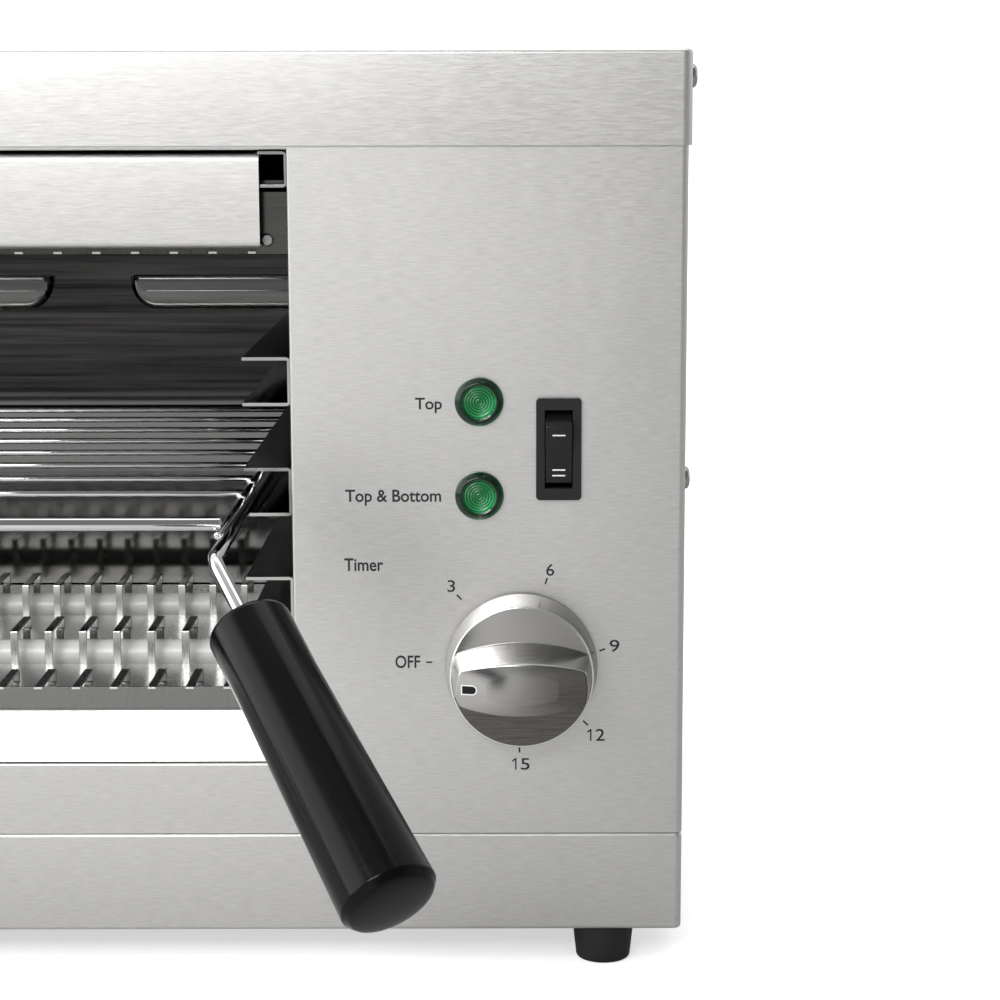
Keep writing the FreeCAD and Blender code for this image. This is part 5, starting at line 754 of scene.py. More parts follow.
def soften(piece: bpy.types.Object, width: float, segments: int = 2, angle: float = 32.0) -> bpy.types.Object:
    """Round the crisp edges of a piece.

    Args:
        piece: The piece.
        width: The width of the rounding in millimetres.
        segments: How many flats it has.
        angle: Edges that turn by more degrees than this are rounded.

    Returns:
        The same piece.
    """
    bevel = piece.modifiers.new("rounded_edges", "BEVEL")
    bevel.width = width * MM
    bevel.segments = segments
    bevel.limit_method = "ANGLE"
    bevel.angle_limit = math.radians(angle)
    bevel.harden_normals = True
    return piece


def formed_copy(node: str, name: str, finish: bpy.types.Material, rounding: float = 0.0) -> bpy.types.Object:
    """A copy of a node's mesh, merged and smoothed, for a finish that needs soft edges.

    Args:
        node: The node that is copied.
        name: The piece's name.
        finish: Its material.
        rounding: How wide its edges are rounded, in millimetres.

    Returns:
        The piece.
    """
    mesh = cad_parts[node].data.copy()
    shape = bmesh.new()
    shape.from_mesh(mesh)
    merge_doubles(shape)
    bmesh.ops.dissolve_limit(shape, angle_limit=FLAT_WITHIN, verts=shape.verts, edges=shape.edges)
    shape.to_mesh(mesh)
    shape.free()
    piece = wrap_mesh(name, mesh, finish, 30.0, turn_out=False)
    if rounding:
        soften(piece, rounding)
    return piece


def tone(piece: bpy.types.Object, rule: Callable[[Vector, Vector], float]) -> bpy.types.Object:
    """Paint light and shade on each face of a piece, as its "tone" attribute.

    Args:
        piece: The piece.
        rule: Gives a value from 0 to 1 for a face's middle, in the maker's frame, and its normal.

    Returns:
        The same piece.
    """
    values = piece.data.attributes.new("tone", "FLOAT", "FACE")
    for i, face in enumerate(piece.data.polygons):
        values.data[i].value = rule((face.center - ZERO) / MM, face.normal)
    return piece


def hand_over(piece: bpy.types.Object, body: Part, slot: Slot | None, *nodes: str) -> bpy.types.Object:
    """Ride a finished piece on its body and hide the nodes that it stands for.

    Args:
        piece: The finished piece.
        body: The body it moves with.
        slot: The material slot of the record, or none; not used.
        nodes: The nodes that it replaces.

    Returns:
        The same piece.
    """
    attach(piece, body.value)
    if nodes:
        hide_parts(*nodes)
    LOG.info("%s rides on %s, %d faces", piece.name, body.value, len(piece.data.polygons))
    return piece


def reshape(node: str, name: str, finish: bpy.types.Material, slot: Slot, rounding: float = 0.0,
            body: Part = Part.HOUSING, rule: Callable[[Vector, Vector], float] | None = None) -> None:
    """Put a smoothed copy in the place of a node.

    Args:
        node: The node that is replaced.
        name: The piece's name.
        finish: Its material.
        slot: The material slot of the record.
        rounding: How wide its edges are rounded, in millimetres.
        body: The body it moves with.
        rule: The tone of each face, where its finish reads one.
    """
    piece = formed_copy(node, name, finish, rounding)
    hand_over(tone(piece, rule) if rule else piece, body, slot, node)


def dress(finish: bpy.types.Material, *nodes: str) -> None:
    """Give nodes that keep their own mesh their finish.

    Args:
        finish: Its material.
        nodes: The nodes.
    """
    for node in nodes:
        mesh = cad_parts[node].data
        mesh.materials.clear()
        mesh.materials.append(finish)
        LOG.info("%s keeps its shape, dressed as %s", node, finish.name)


# Geometry Nodes

class Repeats:
    """Geometry Nodes that repeat a part: on each point of a host, or along a straight row."""

    def __init__(self) -> None:
        """Build both trees."""
        self.on_points = self._tree("part_on_each_point",
                                    {"Part": "NodeSocketObject", "Finish": "NodeSocketMaterial"})
        entry = self.on_points.nodes["Entry"]
        turn = add_node(self.on_points, "GeometryNodeInputNamedAttribute", {"Name": "turn"},
                        data_type="FLOAT_VECTOR")
        self._finish_tree(self.on_points, entry.outputs["Geometry"], turn.outputs[0])
        sizes = {"Part": "NodeSocketObject", "Finish": "NodeSocketMaterial", "Count": "NodeSocketInt",
                 "Pitch": "NodeSocketVector"}
        self.in_row = self._tree("part_along_a_row", sizes)
        entry = self.in_row.nodes["Entry"]
        line = add_node(self.in_row, "GeometryNodeMeshLine", None,
                        {"Count": entry.outputs["Count"], "Offset": entry.outputs["Pitch"]}, mode="OFFSET")
        self._finish_tree(self.in_row, line.outputs[0], None)

    @staticmethod
    def _tree(name: str, sizes: dict[str, str]) -> bpy.types.NodeTree:
        """A tree with a geometry input and output and the named sizes.

        Args:
            name: The tree's name.
            sizes: The kind of socket for each named input.

        Returns:
            The tree with its group input.
        """
        tree = bpy.data.node_groups.new(name, "GeometryNodeTree")
        tree.interface.new_socket(name="Geometry", in_out="INPUT", socket_type="NodeSocketGeometry")
        for label, kind in sizes.items():
            tree.interface.new_socket(name=label, in_out="INPUT", socket_type=kind)
        tree.interface.new_socket(name="Geometry", in_out="OUTPUT", socket_type="NodeSocketGeometry")
        add_node(tree, "NodeGroupInput", name="Entry")
        return tree

    @staticmethod
    def _finish_tree(tree: bpy.types.NodeTree, points: bpy.types.NodeSocket, turn: bpy.types.NodeSocket | None
                     ) -> None:
        """Add the instances, make them real and dress them.

        Args:
            tree: The tree.
            points: Where the copies go.
            turn: How each copy is turned, or none.
        """
        entry = tree.nodes["Entry"]
        part = add_node(tree, "GeometryNodeObjectInfo", None, {"Object": entry.outputs["Part"]})
        links = {"Points": points, "Instance": part.outputs["Geometry"]}
        if turn:
            links["Rotation"] = turn
        copies = add_node(tree, "GeometryNodeInstanceOnPoints", None, links)
        real = add_node(tree, "GeometryNodeRealizeInstances", None, {"Geometry": copies.outputs[0]})
        dressed = add_node(tree, "GeometryNodeSetMaterial", None,
                           {"Geometry": real.outputs[0], "Material": entry.outputs["Finish"]})
        add_node(tree, "NodeGroupOutput", None, {"Geometry": dressed.outputs[0]})

    @staticmethod
    def _run(name: str, host_mesh: bpy.types.Mesh, tree: bpy.types.NodeTree, sizes: dict[str, object]
             ) -> bpy.types.Object:
        """Evaluate a tree on a host and keep the result as a plain mesh.

        Args:
            name: The piece's name.
            host_mesh: The mesh whose points or object the tree starts from.
            tree: The tree.
            sizes: Values of the tree's named inputs.

        Returns:
            The plain piece.
        """
        host = in_scene(name + "_host", host_mesh)
        modifier = host.modifiers.new("repeats", "NODES")
        modifier.node_group = tree
        sockets = {item.name: item.identifier for item in tree.interface.items_tree
                   if item.item_type == "SOCKET" and item.in_out == "INPUT"}
        for label, value in sizes.items():
            modifier[sockets[label]] = value
        mesh = plain_mesh(host)
        bpy.data.objects.remove(sizes["Part"])
        return wrap_mesh(name, mesh, sizes["Finish"])

    def scattered(self, name: str, part: bpy.types.Object, spots: Sequence[Spot], finish: bpy.types.Material
                  ) -> bpy.types.Object:
        """Copies of a part, one at each spot.

        Args:
            name: The piece's name.
            part: The part, made round the row frame's zero with its head towards +Z.
            spots: Places in the maker's frame and the directions that the heads face.
            finish: The material.

        Returns:
            One object with all copies.
        """
        mesh = bpy.data.meshes.new(name + "_spots")
        mesh.from_pydata([place(*spot) for spot, _ in spots], [], [])
        turns = mesh.attributes.new("turn", "FLOAT_VECTOR", "POINT")
        for i, (_, facing) in enumerate(spots):
            turns.data[i].vector = facing.to_track_quat("Z", "Y").to_euler()
        return self._run(name, mesh, self.on_points, {"Part": part, "Finish": finish})

    def row(self, name: str, part: bpy.types.Object, count: int, pitch: Vector, finish: bpy.types.Material
            ) -> bpy.types.Object:
        """Copies of a part at equal steps.

        Args:
            name: The piece's name.
            part: The first of the row, in its place.
            count: How many there are.
            pitch: The step in millimetres.
            finish: The material.

        Returns:
            One object with all copies.
        """
        host = bpy.data.meshes.new(name + "_row")
        sizes = {"Part": part, "Finish": finish, "Count": count, "Pitch": pitch * MM}
        return self._run(name, host, self.in_row, sizes)


def merged_pieces(name: str, pieces: Sequence[bpy.types.Object],
                  finish: bpy.types.Material) -> bpy.types.Object:
    """One object from several, which are taken away.

    Args:
        name: The piece's name.
        pieces: The pieces.
        finish: Its material.

    Returns:
        The one object.
    """
    shape = bmesh.new()
    for piece in pieces:
        shape.from_mesh(piece.data)
    mesh = bpy.data.meshes.new(name)
    shape.to_mesh(mesh)
    shape.free()
    for piece in pieces:
        bpy.data.objects.remove(piece)
    return wrap_mesh(name, mesh, finish)


# The casing

@dataclass
class Casing:
    """The sheet metal shell: lid, base, front, sides and back, with the printed words and dial."""

    edge_rounding: float = 0.3
    ink_height: float = 0.06
    ink_sunk: float = 0.01
    word_weight: float = 0.017
    figure_weight: float = 0.006
    tick_half: float = 0.26
    tick_overrun: float = 0.02

    def build(self, finishes: Finishes) -> None:
        """Make the shell and the print.

        Args:
            finishes: Every finish of the grill.
        """
        for node in ("lid", "base_pan", "front_panel"):
            reshape(node, f"brushed_{node}", finishes.brushed, Slot.BRUSHED, self.edge_rounding)
        dress(finishes.brushed, "left_side_panel", "right_side_panel", "back_panel", "chassis_plate")
        self.print_labels(finishes)

    def labels(self) -> list[tuple[str, float, float, float, float]]:
        """The printed words and figures as (text, left, right, bottom, top).

        Returns:
            One entry for each word or figure.
        """
        return [("Top", 161.1, 169.4, 179.4, 184.2), ("Top & Bottom", 139.2, 169.0, 150.4, 155.5),
                ("Timer", 138.6, 150.8, 129.7, 133.8), ("OFF", 154.3, 162.1, 98.6, 102.7),
                ("3", 170.8, 173.2, 123.0, 126.8), ("6", 201.7, 204.2, 128.1, 131.9),
                ("9", 221.6, 224.7, 103.7, 107.6), ("2", 217.4, 220.2, 74.9, 78.8),
                ("5", 193.7, 196.5, 65.5, 69.3)]

    def ones(self) -> list[tuple[float, float]]:
        """The left lower corner of each figure one."""
        return [(214.6, 74.9), (190.9, 65.5)]

    def _inked(self, outline: Sequence[Corner]) -> Shape:
        """A patch of ink with an outline of (x, z) points."""
        return prism(*([Vector((x, y, z)) for x, z in outline] for y in (-self.ink_height, -self.ink_sunk)))

    def _one(self, x: float, z: float) -> Shape:
        """A figure one: an upright with a short flag."""
        outline = [(1.0, 0.0), (1.45, 0.0), (1.45, 3.85), (1.1, 3.85), (0.05, 3.05), (0.05, 2.6), (1.0, 3.15)]
        return self._inked([(x + u, z + v) for u, v in outline])

    def _tick(self, x1: float, z1: float, x2: float, z2: float) -> Shape:
        """A short line of the dial between two places.

        Args:
            x1: Its inner end in x.
            z1: Its inner end in z.
            x2: Its outer end in x.
            z2: Its outer end in z.

        Returns:
            The points and the faces.
        """
        along = Vector((x2 - x1, z2 - z1)).normalized()
        across = Vector((-along.y, along.x)) * self.tick_half
        first, last = (Vector((x1, z1)) - along * self.tick_overrun,
                       Vector((x2, z2)) + along * self.tick_overrun)
        return self._inked([tuple(p) for p in (first - across, last - across, last + across, first + across)])

    def ticks(self) -> list[tuple[float, float, float, float]]:
        """The dial's marks as (x, z) ends."""
        return [(164.0, 100.5, 165.9, 100.5), (173.7, 122.1, 175.2, 120.6), (202.0, 127.4, 201.4, 125.5),
                (218.5, 104.0, 220.2, 104.7), (213.4, 81.5, 214.9, 80.0), (193.3, 72.8, 193.3, 71.2)]

    def print_labels(self, finishes: Finishes) -> None:
        """Set the words and the dial's marks on the panel.

        Args:
            finishes: Every finish of the grill.
        """
        pieces = [self._word(*label) for label in self.labels()]
        marks = [self._tick(*ends) for ends in self.ticks()] + [self._one(*corner) for corner in self.ones()]
        pieces.append(add_mesh("dial_marks", *joined(marks), finishes.ink))
        hand_over(merged_pieces("printed_words_and_dial", pieces, finishes.ink), Part.HOUSING, None)

    def _word(self, text: str, left: float, right: float, bottom: float, top: float) -> bpy.types.Object:
        """One word as a thin raised mesh that fills a given box on the panel.

        Args:
            text: The word.
            left: The box's left side.
            right: Its right side.
            bottom: Its lower side.
            top: Its upper side.

        Returns:
            The word.
        """
        curve = bpy.data.curves.new("word", "FONT")
        curve.body = text
        curve.extrude = 0.5
        curve.offset = self.figure_weight if len(text) == 1 else self.word_weight
        mesh = plain_mesh(in_scene("word_holder", curve))
        lows = [min(v.co[i] for v in mesh.vertices) for i in range(3)]
        highs = [max(v.co[i] for v in mesh.vertices) for i in range(3)]
        for vertex in mesh.vertices:
            x, z, out = [(vertex.co[i] - lows[i]) / (highs[i] - lows[i]) for i in range(3)]
            deep = self.ink_sunk + out * (self.ink_height - self.ink_sunk)
            vertex.co = place(left + x * (right - left), -deep, bottom + z * (top - bottom))
        return in_scene("word_" + text[:3].strip(), mesh)


# The oven

@dataclass
class Oven:
    """The oven's walls, its guides and their rivets."""

    wall_x: float = 122.5
    middle_x: float = -55.0
    sheet: float = 1.0
    guide_lowest: float = 112.1
    guide_pitch: float = 34.6
    guide_height: float = 15.2
    rivet_rows: tuple[float, float] = (33.0, 192.0)
    rivet_radius: float = 3.0
    rivet_height: float = 1.2
    wall_face: float = 228.0
    louvre_top: float = 206.0
    louvre_depth: float = 5.0
    louvres: tuple[Corner, ...] = ((-223.5, -149.5), (-118.5, 8.5), (39.5, 113.5))
    bracket_floor: float = 229.5
    facing_front: float = -0.85
    guide_rounding: float = 0.18

    def build(self, finishes: Finishes, repeats: Repeats) -> None:
        """Dress the walls, round the guides' edges and set the rivets.

        Args:
            finishes: Every finish of the grill.
            repeats: The trees that repeat a part.
        """
        reshape("chamber_back_wall", "louvred_back_wall", finishes.rolled, Slot.MILL, rule=self.wall_tone)
        self.build_lips(finishes)
        dress(finishes.rolled, "chamber_left_wall", "chamber_right_wall", "chamber_floor", "chamber_ceiling")
        reshape("upper_end_brackets", "folded_end_brackets", finishes.guide, Slot.MILL,
                rule=self.bracket_tone)
        for node in ("left_rack_guides", "right_rack_guides", "upper_unit_rails"):
            reshape(node, f"bent_{node}", finishes.guide, Slot.MILL, self.guide_rounding,
                    rule=self.guide_tone)
        head = self._rivet_head(finishes)
        spots: list[Spot] = []
        for level in range(3):
            z = self.guide_lowest + self.guide_pitch * level + self.guide_height / 2.0
            for y in self.rivet_rows:
                x = self.wall_x - self.sheet
                spots.append((Vector((x, y, z)), Vector((-1, 0, 0))))
                spots.append((Vector((2.0 * self.middle_x - x, y, z)), Vector((1, 0, 0))))
        hand_over(repeats.scattered("domed_guide_rivets", head, spots, finishes.zinc), Part.HOUSING,
                  Slot.PLATED, "guide_rivets")
        reshape("bracket_rivets", "turned_bracket_rivets", finishes.zinc, Slot.PLATED)

    def build_lips(self, finishes: Finishes) -> None:
        """The rolled lip along the top of each louvre, and the crease under it. Their bright chrome, brighter
        than the wall sheet they belong to, is a painted highlight.

        Args:
            finishes: Every finish of the grill.
        """
        shapes = []
        for low, high in self.louvres:
            for down, radius, inset in ((0.65, 0.6, 3.5), (5.6, 0.3, 6.5)):
                y, z = self.wall_face - self.louvre_depth + radius * 0.6, self.louvre_top - down
                shapes.append(rod([Vector((low + inset, y, z)), Vector((high - inset, y, z))], radius, 10))
        hand_over(add_mesh("louvre_lips", *joined(shapes), finishes.chrome), Part.HOUSING, None)

    def wall_tone(self, spot: Vector, normal: Vector) -> float:
        """The back wall: a painted highlight round the edge of each louvre, a faint one on its front.

        Args:
            spot: A face's middle, in the maker's frame.
            normal: The way the face looks.

        Returns:
            How bright the face is, from 0 to 1.
        """
        if spot.y < self.wall_face - 0.3:
            return 0.42 if normal.y > -0.97 else 0.08
        return 0.0

    def bracket_tone(self, spot: Vector, normal: Vector) -> float:
        """An end bracket: a painted highlight on the narrow front edge of its floor, a faint one on its
        upright.

        Args:
            spot: A face's middle, in the maker's frame.
            normal: The way the face looks.

        Returns:
            How bright the face is, from 0 to 1.
        """
        if normal.y > self.facing_front:
            return 0.0
        return 0.75 if spot.z < self.bracket_floor else 0.06

    def guide_tone(self, _: Vector, normal: Vector) -> float:
        """A guide: a painted highlight on its front edges."""
        return 0.55 if normal.y < self.facing_front else 0.0

    def _rivet_head(self, finishes: Finishes) -> bpy.types.Object:
        """A domed rivet with its shank and tail, round the row frame's zero.

        Args:
            finishes: Every finish of the grill.

        Returns:
            The rivet.
        """
        shank, tail, end = self.rivet_radius / 2.0, -2.0 * self.sheet, -3.0 * self.sheet
        profile = [(end, 0.0), (end, 2.2), (end + 0.2, 2.5), (tail, 2.5), (tail, shank), (0.0, shank),
                   (0.0, self.rivet_radius)]
        for i in range(1, 7):
            a = math.pi / 2.0 * i / 6.0
            profile.append((self.rivet_height * math.sin(a), self.rivet_radius * math.cos(a)))
        profile[-1] = (self.rivet_height, 0.0)
        return loose_part("rivet_head", turned(profile, sides=24), finishes.zinc)


# The heaters

@dataclass
class Heater:
    """One heater: guard of bridged strips, tubes, holders and mirror. The upper one hangs upside down."""

    name: str
    x_low: float
    x_high: float
    front: float
    end_reach: float
    strip_shift: float
    mirror: float | None = None
    sheet: float = 0.8
    guard_top: float = 92.0
    guard_band: float = 80.0
    bar_height: float = 7.0
    proud: float = 0.25
    strip_width: float = 2.65
    strip_pitch: float = 12.0
    strips_each_side: int = 13
    row_pitch: float = 81.5
    row_window: float = 25.0
    rear_jog: float = 3.0
    rear_drop: float = 5.0
    back: float = 226.0
    middle_x: float = -55.0
    tube_radius: float = 5.0
    tube_wall: float = 1.2
    tube_setback: float = 12.5
    tube_height: float = 81.2
    tube_chamfer: float = 0.3
    holder_end: float = 4.3
    holder_rounding: float = 0.4
    bend: float = 0.5
    edge_rounding: float = 0.12

    def height(self, z: float) -> float:
        """A height of the lower heater, turned over for the upper one."""
        return z if self.mirror is None else self.mirror - z

    def fronts(self) -> list[float]:
        """The front edge of each row."""
        return [self.front + self.row_pitch * i for i in range(3)]

    def build(self, finishes: Finishes, repeats: Repeats) -> None:
        """Make the guard and the tubes.

        Args:
            finishes: Every finish of the grill.
            repeats: The trees that repeat a part.
        """
        self.build_guard(finishes, repeats)
        self.build_tubes(finishes)
        dress(finishes.reflector, f"{self.name}_reflector")
        dress(finishes.heating, f"{self.name}_heating_wires")
        holders = f"{self.name}_tube_holders"
        reshape(holders, f"fired_{holders}", finishes.ceramic, Slot.CERAMIC, self.holder_rounding)

    def strip_section(self, front: float, with_leg: bool) -> list[Corner]:
        """The section of one bridge strip, as (y, z) points, with small bend radii.

        Args:
            front: Where its row starts.
            with_leg: Whether it has its own leg; the first row stands on the front bar.

        Returns:
            The outline.
        """
        thick, back = self.sheet, front + self.row_window
        ledge, foot = self.guard_top - self.rear_drop, back - self.rear_jog
        low = self.guard_band - thick
        outer = [(front, low), (front, self.guard_top), (back, self.guard_top), (back, ledge),
                 (foot + thick, ledge), (foot + thick, low)]
        inner = [(foot, low), (foot, ledge + thick), (back - thick, ledge + thick),
                 (back - thick, self.guard_top - thick), (front + thick, self.guard_top - thick),
                 (front + thick, low)]
        if not with_leg:
            proud = front - self.proud
            outer = [(proud, self.guard_top)] + outer[2:]
            inner = inner[:-2] + [(proud, self.guard_top - thick)]
        bends = [0.0] + [self.bend] * (len(outer) - 2) + [0.0] * (len(inner) + 1)
        return [(p.x, self.height(p.y)) for p in eased([Vector(point) for point in outer + inner], bends, 2)]

    def build_guard(self, finishes: Finishes, repeats: Repeats) -> None:
        """The bar, the bands and the rows of strips.

        Args:
            finishes: Every finish of the grill.
            repeats: The trees that repeat a part.
        """
        pieces = []
        top = self.guard_top
        flat = [self._slab(self.front, self.front + self.sheet, top - self.bar_height, top)]
        fronts = self.fronts()
        for row_front, next_front in zip(fronts, fronts[1:] + [self.back - self.sheet]):
            foot = row_front + self.row_window - self.rear_jog
            flat.append(self._slab(foot, next_front + self.sheet, self.guard_band - self.sheet,
                                   self.guard_band))
            section = self.strip_section(row_front, row_front != self.front)
            for low, high in ((self.x_low, self.x_low + self.end_reach),
                              (self.x_high - self.end_reach, self.x_high)):
                flat.append(extruded(section, low, high))
            first = (self.middle_x + self.strip_shift - self.strip_pitch * self.strips_each_side
                     - self.strip_width / 2)
            part = add_mesh("first_strip", *extruded(section, first, first + self.strip_width),
                            finishes.strip)
            pieces.append(repeats.row(f"strips_{row_front:.0f}", part, 2 * self.strips_each_side + 1,
                                      Vector((self.strip_pitch, 0, 0)), finishes.strip))
        pieces.append(add_mesh("bands", *joined(flat), finishes.strip))
        guard = tone(merged_pieces(f"{self.name}_guard_of_strips", pieces, finishes.strip), self.guard_tone)
        hand_over(soften(guard, self.edge_rounding, 1, 40.0), Part.HOUSING, Slot.MILL, f"{self.name}_guard")

    def guard_tone(self, spot: Vector, normal: Vector) -> float:
        """The guard: painted highlights on its low bands, its legs and strip sides and the bend over its
        front bar, a faint one on the lower guard's bar; the flat tops are left dark as painted shade.

        Args:
            spot: A face's middle, in the maker's frame.
            normal: The way the face looks.

        Returns:
            How bright the face is, from 0 to 1.
        """
        over = abs(spot.z - self.height(self.guard_top))
        if abs(normal.z) > 0.7:
            return 0.8 if over > self.bar_height + self.sheet else 0.0
        if spot.y > self.front + self.sheet + 0.5:
            return 0.62 if normal.y < -0.7 else 0.4
        if over < 1.0:
            return 0.9
        return 0.2 if self.mirror is None else 0.0

    def _slab(self, y_low: float, y_high: float, z_low: float, z_high: float) -> Shape:
        """A flat length of the guard's sheet."""
        heights = sorted((self.height(z_low), self.height(z_high)))
        return box_shape((self.x_low, y_low, heights[0]), (self.x_high, y_high, heights[1]))

    def build_tubes(self, finishes: Finishes) -> None:
        """The three tubes, open at their ends.

        Args:
            finishes: Every finish of the grill.
        """
        radius, bore, chamfer = self.tube_radius, self.tube_radius - self.tube_wall, self.tube_chamfer
        low, length = self.x_low + self.holder_end, self.x_high - self.x_low - 2.0 * self.holder_end
        profile = [(0.0, bore), (0.0, radius - chamfer), (chamfer, radius), (length - chamfer, radius),
                   (length, radius - chamfer), (length, bore)]
        starts = [Vector((low, front + self.tube_setback, self.height(self.tube_height)))
                  for front in self.fronts()]
        tubes = joined([turned(profile, start, Vector((1, 0, 0)), 40, closed=True) for start in starts])
        hand_over(add_mesh(f"{self.name}_quartz_tubes", *tubes, finishes.quartz), Part.HOUSING, Slot.QUARTZ,
                  f"{self.name}_tubes")


# The toasting rack

@dataclass
class ToastingRack:
    """Two heavy rails that run on into the handles, with thin wires between them."""

    rail_x: float = 108.5
    middle_x: float = -59.5
    rail_z: float = 150.1
    rail_radius: float = 2.1
    rail_back: float = 225.0
    rail_front: float = -87.0
    bend: float = 9.0
    handle: tuple[float, float, float] = (52.46, -80.94, -71.95)
    bare_rod: float = 25.0
    rod_in_grip: float = 60.0
    wire_radius: float = 1.1
    front_wire_radius: float = 2.0
    front_wire_y: float = -48.0
    first_wire: float = 13.5
    wire_pitch: float = 30.0
    wire_count: int = 8
    overhang: float = 0.8
    bead: float = 1.75
    grip_bore: float = 2.15
    grip_top: float = 11.7
    grip_waist: float = 11.5
    grip_end: float = 13.0
    grip_dome: float = 3.0

    def build(self, finishes: Finishes, repeats: Repeats) -> None:
        """Make the rods, the wires and the grips.

        Args:
            finishes: Every finish of the grill.
            repeats: The trees that repeat a part.
        """
        self.build_rails(finishes)
        self.build_wires(finishes, repeats)
        self.build_grips(finishes)

    def direction(self) -> Vector:
        """Which way the right handle points."""
        return Vector(self.handle).normalized()

    def build_rails(self, finishes: Finishes) -> None:
        """The two rails, each bent from one rod.

        Args:
            finishes: Every finish of the grill.
        """
        corner = Vector((self.rail_x, self.rail_front, self.rail_z))
        end = corner + self.direction() * (self.bare_rod + self.rod_in_grip)
        path = eased([Vector((self.rail_x, self.rail_back, self.rail_z)), corner, end], self.bend, 12)
        right = rod(path, self.rail_radius, 28, 0.35)
        for name, node, shape in (("bent_right_rail", "rack_right_rail", right),
                                  ("bent_left_rail", "rack_left_rail", mirrored(right, self.middle_x))):
            hand_over(add_mesh(name, *shape, finishes.chrome), Part.RACK, Slot.WIRE, node)

    def build_wires(self, finishes: Finishes, repeats: Repeats) -> None:
        """The side wires, the front wire and the row of cross wires, with their welds.

        Args:
            finishes: Every finish of the grill.
            repeats: The trees that repeat a part.
        """
        side_x = self.rail_x - self.rail_radius - self.wire_radius
        front = self.front_wire_y - self.overhang - self.front_wire_radius
        side = rod([Vector((side_x, front, self.rail_z)), Vector((side_x, self.rail_back, self.rail_z))],
                   self.wire_radius, 18, 0.4)
        hand_over(add_mesh("side_wires", *joined([side, mirrored(side, self.middle_x)]), finishes.chrome),
                  Part.RACK, Slot.WIRE, "rack_side_wires")
        wire = self._level_wire(self.rail_x - self.rail_radius, self.front_wire_y,
                                self.wire_radius + self.front_wire_radius, self.front_wire_radius, 24, 0.3)
        hand_over(add_mesh("front_wire", *wire, finishes.chrome), Part.RACK, Slot.WIRE, "rack_front_wire")
        cross = self._level_wire(side_x + self.overhang, self.first_wire, 2.0 * self.wire_radius,
                                 self.wire_radius, 16, 0.4)
        part = add_mesh("first_cross_wire", *cross, finishes.chrome)
        row = repeats.row("cross_wires", part, self.wire_count, Vector((0, self.wire_pitch, 0)),
                          finishes.chrome)
        hand_over(row, Part.RACK, Slot.WIRE, "rack_cross_wires")
        self.build_welds(side_x, finishes, repeats)

    def _level_wire(self, right: float, y: float, rise: float, radius: float, sides: int,
                    dome: float) -> Shape:
        """A wire across the rack, as far to the left as to the right.

        Args:
            right: Where its right end is, in x.
            y: How far back it lies.
            rise: How far its middle is above the rails' middle.
            radius: Its radius.
            sides: How many flats go round.
            dome: How far its ends stand out, as a share of the radius.

        Returns:
            The points and the faces.
        """
        ends = (2.0 * self.middle_x - right, right)
        return rod([Vector((x, y, self.rail_z + rise)) for x in ends], radius, sides, dome)

    def build_welds(self, side_x: float, finishes: Finishes, repeats: Repeats) -> None:
        """The small beads where the wires are welded on the side wires.

        Args:
            side_x: Where the right side wire is, in x.
            finishes: Every finish of the grill.
            repeats: The trees that repeat a part.
        """
        profile = [(self.bead * math.sin(a) * 0.8, self.bead * math.cos(a))
                   for a in [math.pi * (i / 10.0 - 0.5) for i in range(11)]]
        profile[0], profile[-1] = (profile[0][0], 0.0), (profile[-1][0], 0.0)
        bead = loose_part("bead", turned(profile, sides=14), finishes.chrome)
        height = self.rail_z + self.wire_radius * 1.2
        rows = [self.first_wire + self.wire_pitch * i for i in range(self.wire_count)]
        spots = [(Vector((x, y, height)), Vector((0.35 * side, -0.3, 1.0)))
                 for x, side in ((side_x, 1), (2.0 * self.middle_x - side_x, -1)) for y in rows]
        hand_over(repeats.scattered("weld_beads", bead, spots, finishes.chrome), Part.RACK, None)

    def grip_profile(self) -> list[Corner]:
        """The outline of a grip from its upper end to its domed lower end.

        Returns:
            The outline, as (distance from the upper end, radius).
        """
        length = Vector(self.handle).length - self.bare_rod
        corners = [Vector((0.0, self.grip_bore)), Vector((0.0, self.grip_top)),
                   Vector((length * 0.22, self.grip_waist)), Vector((length - self.grip_dome, self.grip_end)),
                   Vector((length - self.grip_dome * 0.5, self.grip_end - 1.3))]
        outline = eased(corners, [0.0, 2.2, 60.0, 1.1, 0.0], 8)
        rim = outline[-1]
        angles = [math.pi / 2.0 * i / 10.0 for i in range(1, 11)]
        dome = [(length - (length - rim.x) * (1.0 - math.sin(a)), rim.y * math.cos(a)) for a in angles]
        dome[-1] = (length, 0.0)
        return [(p.x, p.y) for p in outline] + dome

    def build_grips(self, finishes: Finishes) -> None:
        """The two moulded grips.

        Args:
            finishes: Every finish of the grill.
        """
        start = Vector((self.rail_x, self.rail_front, self.rail_z)) + self.direction() * self.bare_rod
        profile = [(2.0, 0.0), (2.0, self.grip_bore)] + self.grip_profile()
        grip = turned(profile, start, self.direction(), 96)
        piece = add_mesh("moulded_grips", *joined([grip, mirrored(grip, self.middle_x)]),
                         finishes.bakelite, 50.0)
        hand_over(piece, Part.RACK, Slot.BAKELITE, "handle_grips")


# The knob

